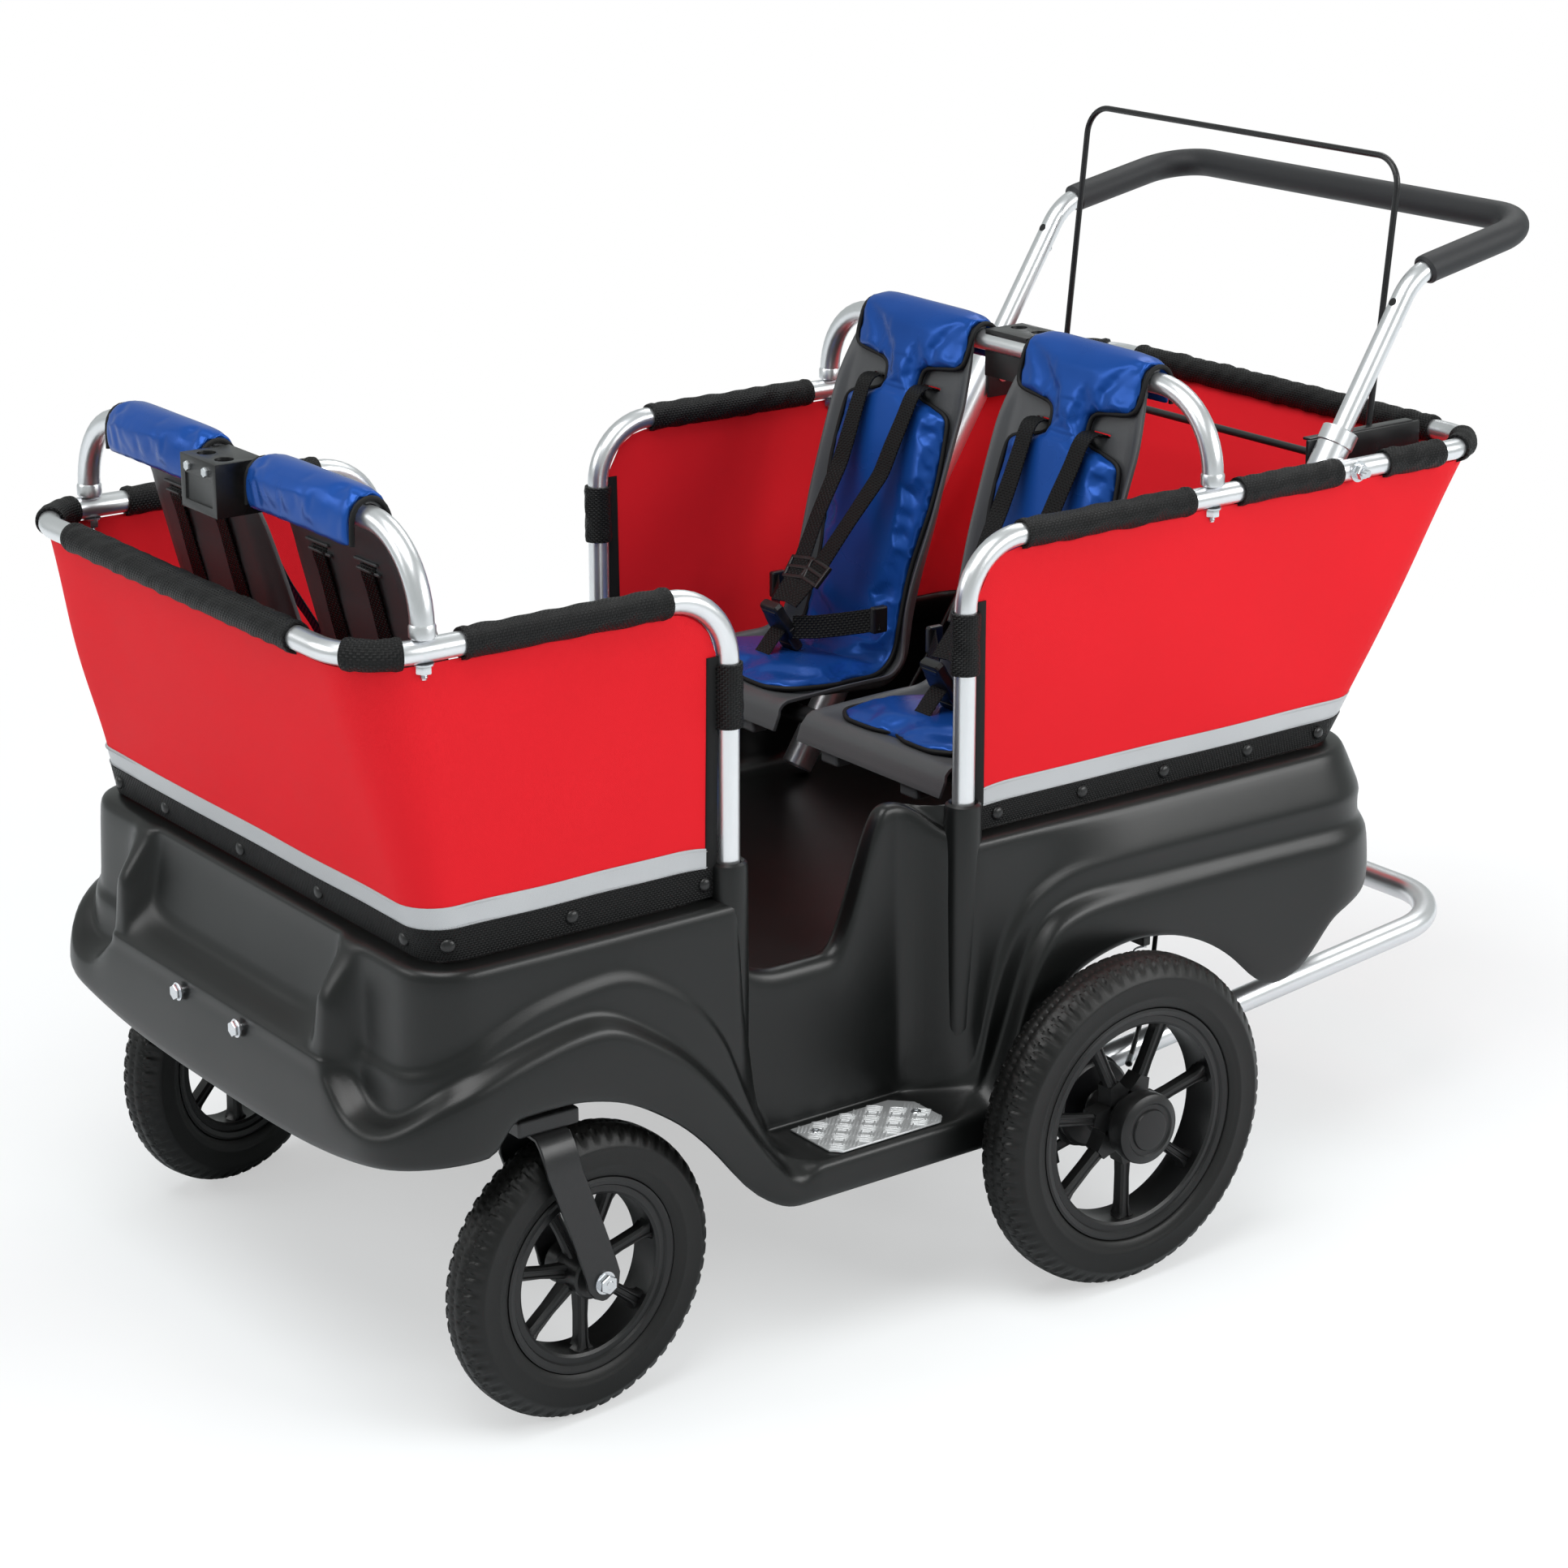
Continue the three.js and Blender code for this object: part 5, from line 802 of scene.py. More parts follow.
def ledge_stations():
    """Places round the ledge from the middle of the front to the middle of the rear, on one side.

    Each is its zone, its X and Y on the ledge, its way out in X and Y, and how far it is round its corner."""
    stations = []
    for share in (0, 0.14, 0.28, 0.42, 0.52, 0.58, 0.61, 0.635, 0.66, 0.69, 0.72, 0.745, 0.77, 0.8, 0.86, 0.93):
        stations.append(("front", (TUB_X - CORNER_FRONT) * share, TUB_FRONT, 0, -1, 0))
    for turn in span(0, 1, 8):
        a = turn * pi / 2
        stations.append(("frontCorner", TUB_X - CORNER_FRONT + CORNER_FRONT * sin(a),
                         TUB_FRONT + CORNER_FRONT * (1 - cos(a)), sin(a), -cos(a), turn))
    doorway = (0, 0.03, 0.07, 0.13, 0.2, 0.27, 0.34, 0.41, 0.48, 0.54, 0.59, 0.64, 0.68, 0.72, 0.75, 0.78, 0.81, 0.84,
               0.88, 0.92, 0.96, 1)
    ys = span(TUB_FRONT + CORNER_FRONT + 14, DOOR_FRONT - 47, 15) + span(DOOR_FRONT - 36, DOOR_FRONT - 4, 5)
    ys += [mix(DOOR_FRONT, SILL_REAR, share) for share in doorway]
    ys += span(SILL_REAR + 12, TUB_REAR - CORNER_REAR - 14, 26)
    stations += [("side", TUB_X, y, 1, 0, 1) for y in ys]
    for turn in span(0, 1, 9):
        a = turn * pi / 2
        stations.append(("rearCorner", TUB_X - CORNER_REAR + CORNER_REAR * cos(a),
                         TUB_REAR - CORNER_REAR * (1 - sin(a)), cos(a), sin(a), turn))
    stations += [("rear", (TUB_X - CORNER_REAR) * share, TUB_REAR, 0, 1, 0) for share in (0.93, 0.8, 0.6, 0.4, 0.2, 0)]
    return stations


def skin_section(station, y):
    """The wall's section as offsets out of the ledge and heights, from the underside up and over to the floor."""
    zone, x, _, _, _, turn = station
    ahead, behind, nose_zone = zone.startswith("front"), zone.startswith("rear"), zone == "front"
    edge = mix(248, 279, (abs(x) / TUB_X) ** 3) if ahead else skin_edge(y)
    lower = lower_ridge(y)
    upper = upper_ridge(TUB_REAR) if behind else max(upper_ridge(y), lower + 18)
    cavity = smooth((lower - 270) / 60)
    # The pockets at the front corners reach lower than the ridge beside them
    pocket = smooth((x - 198) / 44) if nose_zone else 1 - smooth(turn / 0.75) if ahead else 0
    lower -= 28 * pocket
    low = mix(38, LOWER_OUT, 0 if nose_zone else turn) if ahead else LOWER_OUT
    sill = smooth((y - SILL_FRONT + 60) / 60) * smooth((SILL_REAR + 60 - y) / 60) if zone == "side" else 0
    low += (SILL_OUT - LOWER_OUT) * sill
    nose = 1 - smooth((x - 205) / 20 + 0.5) if nose_zone else 0
    recess = 1 - smooth((x - 172) / 8 + 0.5) if nose_zone else 0
    # The recess in the nose has a rolled lower lip that turns up into its two side ridges
    bend = (6 + 34 * (1 - math.sqrt(1 - min(1, max(0, (x - 118) / 56)) ** 2))) * nose
    # Behind the rear wheel's crown the wall leans outwards below the ledge
    lean = smooth((y + 70) / 150) if not ahead else 0
    cavity_top = lower - 18 + 30 * nose

    def off(side, leaning, at, sunk=0.0):
        return mix(side + leaning * lean, mix(38, 2, at) - sunk * recess, nose)
    inner = mix(-9, 0, cavity)
    # From the underside by the lower edge, the fender's face and its two ridges to the ledge, the rim and the floor
    return [
        (-25, UNDER_Z), (inner, UNDER_Z + 3), (inner, mix(UNDER_Z - 6, cavity_top, cavity)),
        (mix(-4.5, low - 11, cavity), mix(lower, cavity_top, cavity)), (low - 9, edge + 0.6), (low - 1.5, edge),
        (low + 2, edge + 7), (low + 2, mix(edge + 10, lower - 12, 0.4)), (low, lower - 11), (low - 2, lower - 5),
        (off(12.5, 7, 0.04), lower + 4), (off(10.5, 6, 0.06), lower + 9), (off(9.5, 7, 0.1), upper - 9),
        (off(8, 10, 0.16), upper - 4), (off(4, 12, 0.25, 19), upper + 3 + bend),
        (off(3, 11, 0.3, 20.5), upper + 8 + bend),
        (off(0.8, 3, 0.96, 9), 428), (off(-0.5, 0, 1, 6), 437), (-5, LEDGE_Z), (-19, LEDGE_Z + 1.2),
        (-23, LEDGE_Z + 3),
        (-24, LEDGE_Z + 8), (-25, TUB_TOP - 4), (-26, TUB_TOP), (-32, TUB_TOP), (-33, TUB_TOP - 4), (-33, LEDGE_Z + 9),
        (-9, LEDGE_Z - 9), (-9, LEDGE_Z - 16), (-9, FLOOR_Z + 22), (-12, FLOOR_Z + 7), (-25, FLOOR_Z)]


def in_door(*points):
    """Points whose offsets are given as shares of the doorway's depth, from its outer wall to its inner one."""
    return [(mix(DOOR_OUTER, DOOR_INNER, share) - TUB_X, height) for share, height in points]


FLOOR_CORNER = (DOOR_INNER - TUB_X - 8, FLOOR_Z)
STEP_SECTION = [
    (DOOR_INNER - TUB_X - 8, UNDER_Z),
    *in_door((0.75, UNDER_Z - 3), (0.55, UNDER_Z - 50), (0.5, STEP_Z - 28)),
    (SILL_OUT - 9, SILL_BOTTOM + 0.6), (SILL_OUT - 1.5, SILL_BOTTOM), (SILL_OUT + 2, SILL_BOTTOM + 7),
    (SILL_OUT + 2.5, mix(SILL_BOTTOM, STEP_Z, 0.5)), (SILL_OUT + 2, STEP_Z - 9), (SILL_OUT, STEP_Z - 3),
    (SILL_OUT - 6, STEP_Z), (SILL_OUT - 14, STEP_Z), (DOOR_OUTER - TUB_X + 7, STEP_Z),
    (DOOR_OUTER - TUB_X + 1.5, STEP_Z + 0.5), *in_door((0, STEP_Z + 2.5), (0, STEP_Z + 9))]
THRESHOLD_SECTION = in_door(
    (0.03, mix(STEP_Z, LIP_Z, 0.6)), *[(share, LIP_Z - down) for share, down in (
        (0.06, 24), (0.12, 10), (0.24, 2.5), (0.38, 0), (0.5, 0), (0.64, 2), (0.76, 7), (0.83, 12), (0.86, 16),
        (0.88, 19), (0.9, 22), (0.92, 25), (0.94, 28), (0.96, 31))]) + [FLOOR_CORNER]
COLUMN_SECTION = in_door(
    (0.02, mix(STEP_Z, TUB_TOP, 0.35)), *[(share, TUB_TOP - down) for share, down in (
        (0.02, 40), (0.03, 12), (0.1, 3), (0.2, 0), (0.45, 0), (0.56, 2), (0.66, 10), (0.7, 30), (0.73, 60),
        (0.75, 90))],
    *[(share, FLOOR_Z + up) for share, up in ((0.78, 50), (0.8, 30), (0.84, 14), (0.92, 3))]) + [FLOOR_CORNER]


def wall_section(station, y):
    skin = skin_section(station, y)
    if station[0] != "side" or station[2] < DOOR_FRONT:
        return skin
    deep = 1 - smooth((station[2] - RAMP_Y) / (SILL_REAR - RAMP_Y))
    sunk = 1 - smooth((y + 245) / 58)
    rise = 30 * (1 - smooth((y - DOOR_FRONT) / 70))
    made = []
    for i, (offset, height) in enumerate(skin):
        if i < OUTER_FACE_POINTS:
            a, b = STEP_SECTION[i]
        else:
            k = i - OUTER_FACE_POINTS
            a, b = THRESHOLD_SECTION[k]
            c, d = COLUMN_SECTION[k]
            b += rise if 0 < k < OUTER_FACE_POINTS - 1 else 0
            a, b = mix(c, a, sunk), mix(d, b, sunk)
        made.append((mix(offset, a, deep), mix(height, b, deep)))
    return made


def tub_row(station):
    """The tub's wall at one place round the ledge, pushed back low down beside the door."""
    zone, x, y0, nx, ny, _ = station
    reach, push, fade = 110, 55, 105
    upright = wall_section(station, y0)
    row = []
    for k in range(SECTION_POINTS):
        y, section = y0, upright
        if zone == "side":
            near = y0 - DOOR_FRONT
            near = smooth((near + reach) / reach) if near < 0 else 1 - smooth(near / reach)
            if near > 0:
                y += near * push * smooth((UNDER_Z - section[k][1]) / fade)
                section = wall_section(station, y)
        offset, height = section[k]
        row.append((x + nx * offset, y + ny * offset, height))
    return row


def make_tub():
    half = np.array([tub_row(station) for station in ledge_stations()])
    ring = np.concatenate([half, half[1:-1][::-1] * (-1, 1, 1)])
    n, m = ring.shape[:2]
    points = ring.reshape(-1, 3)
    faces = [f[::-1] for f in grid_faces(n, m, close_rows=True)]
    # The floor and the underside close inwards on a smaller ring, then straight across
    inward, middle_y = 0.93, -170
    extra = []
    for column, height in ((0, UNDER_Z), (m - 1, FLOOR_Z)):
        last = [r * m + column for r in range(n)]
        start = len(points) + len(extra)
        extra += [(x * inward, mix(middle_y, y, inward), height) for x, y, _ in ring[:, column]]
        now = list(range(start, start + n))
        closing = [(last[i], last[(i + 1) % n], now[(i + 1) % n], now[i]) for i in range(n)]
        for i in range(n // 2):
            across = [now[i], now[i + 1], now[(n - i - 1) % n], now[(n - i) % n]]
            closing.append(tuple(dict.fromkeys(across)))
        faces += closing if column == 0 else [face[::-1] for face in closing]
    ob = face_out(plain("tub_shell", np.concatenate([points, extra]), faces), False)
    return round_shading(subdivide(ob), 50)


def make_tub_fittings():
    """Raised bosses that take the posts, and the floor's drain rings."""
    boss = [(11.4, 405), (11.4, 475), (14, 476.5), (16.6, 474.5), (17.6, 470), (18, 380), (17.2, 260), (13, 226),
            (9, 212), (9, 405)]
    drain = [(3, 308.6), (4, 309.6), (8, 309.8), (10, 308.9), (10.4, 307), (3, 307)]
    fittings = [(boss, 32, side * RAIL_X, ROWS[row]["post"]) for side in (1, -1) for row in ROWS]
    fittings += [(drain, 24, 0, y) for y in (-560, -240, 210)]
    return joined("tub_bosses", *[move(round_shading(lathe("fitting", profile, steps, axis=2)), (x, y, 0))
                                  for profile, steps, x, y in fittings])


RAIL_X, RAIL_Z, RAIL_R = 300, 722, 10.5
HOOP_Z = 818
ROWS = {"front": {"post": -392, "run": -762, "hoop": -698, "facing": 1},
        "rear": {"post": -125, "run": 555, "hoop": 176, "facing": -1}}
dress(make_tub(), TUB_PLASTIC, "body", "body_plastic", "tub")
dress(make_tub_fittings(), TUB_PLASTIC, "body", "body_plastic")

# ---------------------------------------------------------------- tube frame


def rail_line(post_y, run_y):
    corners = [(-RAIL_X, post_y, 405), (-RAIL_X, post_y, RAIL_Z), (-RAIL_X, run_y, RAIL_Z),
               (RAIL_X, run_y, RAIL_Z), (RAIL_X, post_y, RAIL_Z), (RAIL_X, post_y, 405)]
    return bent_line(corners, [62, 60, 60, 62])


def hoop_line(y):
    foot = RAIL_Z + RAIL_R + 0.3
    corners = [(-RAIL_X, y, foot), (-RAIL_X, y, HOOP_Z), (RAIL_X, y, HOOP_Z), (RAIL_X, y, foot)]
    return bent_line(corners, [76, 76])


def thread(start, step, *ends):
    """A short length of bolt thread between its two ends."""
    return turned_part("thread", [(0, start), *[(3.9 if k % 2 else 3.3, start + step * k) for k in range(9)], *ends])


for row, at in ROWS.items():
    rail = tube(f"{row}_rail_tube", rail_line(at["post"], at["run"]), RAIL_R, TUBE_METAL, 32)
    dress(rail, None, "body", "tube", f"{row}_rail")
    hoop = tube(f"{row}_hoop_tube", hoop_line(at["hoop"]), RAIL_R, TUBE_METAL, 32)
    dress(hoop, None, "body", "tube", f"{row}_seat_hoop")
    saddle = [(4, 732.9), (9.4, 732.9), (11.6, 734.2), (11.6, 743), (10.6, 745), (4, 745)]
    saddles = [move(round_shading(lathe("saddle", saddle, 32, axis=2)), (side * RAIL_X, at["hoop"], 0))
               for side in (1, -1)]
    dress(joined(f"{row}_hoop_feet", *saddles), TUBE_METAL, "body", "tube")
    places = [(side * RAIL_X, at["hoop"], RAIL_Z - RAIL_R) for side in (1, -1)]
    lower = [(x, y, z - 1.4) for x, y, z in places]
    stack = [scatter("bolt", part, spots, (0, 0, -1), ZINC) for part, spots in (
        (washer(9.2, 1.4), places), (hex_part("nut", 13, 7.5), lower),
        (thread(8, 0.6, (2.8, 14.2), (0, 14.2)), places))]
    dress(joined(f"{row}_hoop_bolts", *stack), ZINC, "body", "steel")


def make_canopy_socket(row):
    """A block that grips the hoop from its outer side, with two pole holes in its top and a screwed outer face."""
    y, out = ROWS[row]["hoop"], -ROWS[row]["facing"]
    top, depth, height = HOOP_Z + 13.5, 48.5, 48
    centre = y + out * (depth / 2 - 7)
    face_y = centre + out * depth / 2
    ob = block(f"{row}_canopy_block", (-32, 32), (centre - depth / 2, centre + depth / 2), (top - height, top))
    take(ob, move(lathe("bore", [(0, -60), (10.8, -60), (10.8, 60), (0, 60)], 40, closed=False), (0, y, HOOP_Z)))
    for side in (1, -1):
        hole = lathe("hole", [(0, -34), (8.5, -34), (8.5, 9), (0, 9)], 32, axis=2, closed=False)
        take(ob, move(hole, (side * 16, y + out * 24, top)))
    # A shallow window in the outer face
    take(ob, block("window", (-24, 24), (face_y - 2, face_y + 2), (top - 40, top - 16)))
    round_shading(bevel(face_out(ob), 1.6, 3, 40), 40)
    dress(ob, BUCKLE_PLASTIC, "body", "body_plastic", f"{row}_canopy_socket")
    spots = [(x, face_y, top - 9) for x in (-16, 16)]
    dress(scatter(f"{row}_canopy_screws", hex_part("head", 8, 3.4), spots, (0, out, 0), ZINC), ZINC, "body", "steel")


for row in ROWS:
    make_canopy_socket(row)

# ---------------------------------------------------------------- cloth walls and their sleeves


SNAP_PLACES = {
    "front": [(x, -714) for x in (-262, -169, -24, 116, 262)] + [
        (m * TUB_X, y) for m in (1, -1) for y in (-690, -558, -418)],
    "rear": [(m * TUB_X, y) for m in (1, -1) for y in (-84, 18, 124, 232, 330)] + [
        (x, 390) for x in (-220, -75, 75, 220)]}
SNAP_Z = {"front": 460, "rear": 458}
STRIP = {"front": (474, 495), "rear": (468, 488)}
# Sleeves on a rail: half the length of the one across, and where those along its sides begin and end
SLEEVES = {"front": (205, [(-662, -456)]), "rear": (224, [(-60, 146), (209, 340), (404, 482)])}
CLOTH_INSET, RAIL_CORNER = 19.5, 62


def plan_line(half, run_y, corner, door_y):
    """Plan of one cloth level from a door post round to the other; every level has the same count."""
    sign = 1 if run_y > door_y else -1
    end = run_y - sign * corner
    line = [(half, y) for y in span(door_y, end, 40)]
    for turn in span(0, 1, 10)[1:-1]:
        a = turn * pi / 2
        line.append((half - corner * (1 - cos(a)), end + sign * corner * sin(a)))
    line += [(x, run_y) for x in span(half - corner, 0, 26)]
    return np.array(line + [(-x, y) for x, y in line[:-1][::-1]])


class Wall:
    """The cloth's surface: share 0 at the tub's ledge and 1 under the rail, and columns from door to door."""

    bottom, top = 446, 709.8

    def __init__(self, row):
        self.post, run = ROWS[row]["post"], ROWS[row]["run"]
        self.sign = 1 if run > self.post else -1
        end_y, corner = (TUB_REAR, CORNER_REAR) if row == "rear" else (TUB_FRONT, CORNER_FRONT)
        self.low = plan_line(TUB_X - CLOTH_INSET, end_y - self.sign * CLOTH_INSET, corner - CLOTH_INSET,
                             self.post + self.sign * 15)
        self.high = plan_line(RAIL_X, run, 60, self.post + self.sign * 13)
        self.count = len(self.low)

    def share_of(self, z):
        return (z - self.bottom) / (self.top - self.bottom)

    def at(self, column, share):
        """A point of the cloth, and the way out of it."""
        last = self.count - 1
        column = np.clip(column, 0, last)
        i = min(int(column), last - 1)
        low, high = (mix(level[i], level[i + 1], column - i) for level in (self.low, self.high))
        x, y = mix(low, high, share)
        a, b = (mix(self.low[j], self.high[j], share) for j in (max(0, i - 1), min(last, i + 2)))
        along = unit(b - a)
        # At the door the cloth's top follows the inside of the rail's bend
        inner = RAIL_CORNER - RAIL_R - 1.7
        reach = RAIL_CORNER - abs(y - self.post)
        drop = inner - math.sqrt(max(0, inner ** 2 - min(reach, inner) ** 2)) if reach > 0 else 0
        return vec(x, y, mix(self.bottom, self.top - drop, share)), vec(along[1], -along[0], 0) * self.sign


WAVES = np.random.default_rng(11)
WAVE_SET = [(WAVES.uniform(0.01, 0.035), WAVES.uniform(0.8, 3.2), WAVES.uniform(0, 6.3), WAVES.uniform(0.25, 0.9))
            for _ in range(9)]


def cloth_swell(wall, column, share):
    """Slack of the cloth between its held edges, with slow folds."""
    held = sin(pi * min(1, max(0, share))) ** 0.7
    ends = smooth(column / 6) * smooth((wall.count - 1 - column) / 6)
    folds = sum(tall * sin(11.2 * pitch * column + start + share * 3 * lean) for pitch, lean, start, tall in WAVE_SET)
    return held * ends * (1.5 + 0.8 * folds)


def wall_sheet(name, wall, shares, off, thickness):
    """A strip or a whole panel of the cloth, as a thin closed sheet with UVs in metres."""
    points, uvs, run, before = [], [], 0.0, None
    for c in range(wall.count):
        base = wall.at(c, 0.5)[0]
        run += 0 if before is None else np.linalg.norm(base - before)
        before = base
        for share in shares:
            p, normal = wall.at(c, share)
            points.append(p + normal * (off + cloth_swell(wall, c, share)))
            uvs.append((run * MM, (p[2] - wall.bottom) * MM))
    faces = grid_faces(wall.count, len(shares))
    if wall.sign > 0:
        faces = [f[::-1] for f in faces]
    ob = plain(name, points, faces, [uvs[v] for f in faces for v in f])
    outward = wall.at((wall.count - 1) / 2, 0.5)[1]
    if ob.data.polygons[len(faces) // 2].normal.dot(Vector(outward)) < 0:
        ob.data.flip_normals()
    return round_shading(thicken(ob, thickness), 60)


def circle_at(i, line, side, up, radii):
    """A ring of points round point i of a line, one for each radius."""
    turns = 2 * pi * np.arange(len(radii)) / len(radii)
    return [line[i] + side[i] * r * cos(a) + up[i] * r * sin(a) for r, a in zip(radii, turns)]


def sleeve(name, line, seed):
    """A cloth sleeve round a rail: a loose tube with small wrinkles and turned ends."""
    radius, inner, steps = 13.6, 11.4, 36
    rng = np.random.default_rng(seed)
    line = resample(line, max(12, int(run_lengths(line)[-1] / 4.5)))
    _, side, up = frames_along(line)
    waves = [(rng.uniform(0.04, 0.3), rng.integers(1, 6), rng.uniform(0, 6.3), rng.uniform(0.12, 0.5))
             for _ in range(12)]
    at = run_lengths(line)
    rings = []
    for i in range(len(line)):
        end = min(at[i], at[-1] - at[i])
        hem = 0.7 * math.exp(-((end - 5) / 2.2) ** 2) - 0.5 * math.exp(-((end - 9) / 1.2) ** 2)
        radii = []
        for k in range(steps):
            a = 2 * pi * k / steps
            wrinkle = 0.6 * sum(tall * sin(pitch * at[i] + turns * a + start) for pitch, turns, start, tall in waves)
            seam = 0.96 * math.exp(-((math.remainder(a + pi / 2, 2 * pi)) / 0.2) ** 2)
            radii.append(radius + wrinkle * smooth(end / 14) + seam + hem)
        rings.append(circle_at(i, line, side, up, radii))
    first, last = ([line[i] + (q - line[i]) * (inner / radius) for q in rings[i]] for i in (0, -1))
    hollow = [circle_at(i, line, side, up, [inner] * steps) for i in range(len(line) - 1, -1, -1)][::4]
    return round_shading(loft(name, [first, *rings, last, *hollow[1:-1], first], caps=False), 70)


def cloth_sleeves(row):
    post, run = ROWS[row]["post"], ROWS[row]["run"]
    line = rail_line(post, run)
    half = len(line) // 2
    across, along = SLEEVES[row]
    sides = [line[half + 4:half + 11], *[[(RAIL_X, a, RAIL_Z), (RAIL_X, b, RAIL_Z)] for a, b in along],
             [(RAIL_X, post, 600), (RAIL_X, post, 658)]]
    runs = [np.array([(-across, run, RAIL_Z), (across, run, RAIL_Z)], float)]
    runs += [np.array(s) * (m, 1, 1) for s in sides for m in (1, -1)]
    first_seed = 27 if row == "rear" else 20
    return joined(f"{row}_rail_sleeves", *[sleeve("sleeve", r, first_seed + i) for i, r in enumerate(runs)])


def edge_binding(wall, column):
    """Tape folded over the cloth's door edge, from the ledge to the sleeve."""
    fold = ((2.3, -1.5), (2.3, 8.5), (1.2, 10), (-1.2, 10), (-2.3, 8.5), (-2.3, -1.5), (-1.2, -2.6), (1.2, -2.6))
    rings = []
    for share in np.linspace(0, 0.985, 34):
        p, normal = wall.at(column, share)
        rings.append([p + normal * n + vec(0, wall.sign, 0) * y for n, y in fold])
    return round_shading(loft("edge", rings), 60)


def wall_snaps(row, wall):
    """Domed snaps on the cloth's lower band."""
    dome = turned_part("dome", [(0, 3.4), (2.6, 3.2), (4.8, 2.4), (6.2, 1.2), (6.6, 0.3), (6.6, 0), (0, 0)], 20)
    share = wall.share_of(SNAP_Z[row])
    line = [wall.at(c, share) for c in np.arange(0, wall.count - 1, 0.25)]
    spots, facings = [], []
    for x, y in SNAP_PLACES[row]:
        p, normal = min(line, key=lambda at: (at[0][0] - x) ** 2 + (at[0][1] - y) ** 2)
        spots.append(p + normal * 3.1)
        facings.append(normal)
    return scatter(f"{row}_cloth_snaps", dome, spots, facings, BUCKLE_PLASTIC)


def wall_stitches(row, wall, z):
    """A row of lockstitches along the cloth."""
    share = wall.share_of(z)
    path = [wall.at(c, share) for c in np.arange(0.6, wall.count - 1.6, 0.5)]
    line = resample([p + n * 1.9 for p, n in path], 520 if row == "rear" else 440)
    facing = np.array([path[min(len(path) - 1, int(i * len(path) / len(line)))][1] for i in range(len(line))])
    stitch = face_out(block("stitch", (-1.1, 1.1), (-0.3, 0.3), (0, 0.35), local=True))
    return scatter("stitches", stitch, line, facing, BINDING, along=np.gradient(line, axis=0))


def sheet_area(ob):
    """Area of one face of a thin closed sheet, in square metres."""
    bm = bmesh.new()
    bm.from_mesh(ob.data)
    area = sum(f.calc_area() for f in bm.faces) / 2
    bm.free()
    return area


def make_cloth(row):
    wall = Wall(row)
    low, high = STRIP[row]

    def strip_shares(a, b):
        return [wall.share_of(mix(a, b, k / 3)) for k in range(4)]
    panel = wall_sheet(f"{row}_cloth_wall", wall, [mix(0.02, 1, k / 29) for k in range(30)], 0.0, 1.4)
    strip = wall_sheet(f"{row}_reflective_tape", wall, strip_shares(low, high), 1.25, 0.6)
    band = wall_sheet(f"{row}_snap_band", wall, strip_shares(446.3, low + 1), 1.7, 1.8)
    sleeves = cloth_sleeves(row)
    edges = joined(f"{row}_cloth_binding", *[edge_binding(wall, c) for c in (0, wall.count - 1)])
    snaps = wall_snaps(row, wall)
    seams = joined(f"{row}_cloth_stitches", *[wall_stitches(row, wall, z) for z in (low + 2.5, high - 2.5)])
    dress(panel, RED_CLOTH, "body", "red_cloth", f"{row}_fabric")
    for ob, material, slot in ((strip, REFLECTIVE, "red_cloth"), (band, BLACK_WEAVE, "webbing"),
                               (sleeves, BLACK_WEAVE, "webbing"), (edges, BINDING, "webbing"),
                               (snaps, BUCKLE_PLASTIC, "body_plastic"), (seams, REFLECTIVE, "webbing")):
        dress(ob, material, "body", slot)
    area = sheet_area(panel)


for row in ROWS:
    make_cloth(row)

# ---------------------------------------------------------------- wheels


def triangle_wave(t):
    return 1 - 4 * np.abs(t - np.floor(t) - 0.5)


def make_tyre(name, radius, rim, half, lugs):
    """A tyre with a rounded carcass, raised sidewall rings and a block tread cut by zig-zag grooves."""
    inner = rim + 5.3
    wall = radius - inner
    flank = [(inner, -0.8), (inner + 1.5, -0.86), *[(inner + wall * share, x) for share, x in (
        (0.14, -0.93), (0.2, -0.955), (0.23, -0.985), (0.27, -0.99), (0.3, -0.975), (0.45, -1.0), (0.58, -0.985),
        (0.62, -1.0), (0.65, -0.985))]]
    crown = [(radius - wall * 0.3 * abs(t) ** 3.2, t * 0.93) for t in (-1 + 2 * k / 18 for k in range(19))]
    profile = flank + crown + [(r, -x) for r, x in reversed(flank)]
    steps = lugs * 8
    points = []
    for k in range(steps):
        a, u = 2 * pi * k / steps, k / 8
        for r, x in profile:
            cut, t = 0.0, abs(x) / 0.93
            if r > radius - wall * 0.32 and t <= 1.001:
                phase = u + (0.5 if x > 0 else 0)
                if t > 0.52:
                    gap = abs(math.remainder(phase, 1))
                    cut = 2.4 * smooth((0.2 - gap) / 0.08) * (1 - smooth((t - 0.86) / 0.06))
                ring = 0.44 + 0.09 * triangle_wave(phase)
                centre = 0.07 * triangle_wave(u)
                cut = max(cut, 2.2 * smooth((0.07 - abs(t - ring)) / 0.05),
                          1.8 * smooth((0.055 - abs(x / 0.93 - centre)) / 0.04))
            points.append((x * half, (r - cut) * cos(a) - AXLE_TO_FRAME, (r - cut) * sin(a)))
    faces = grid_faces(steps, len(profile), close_rows=True, close_columns=True)
    return round_shading(face_out(plain(name, points, faces)), 42)


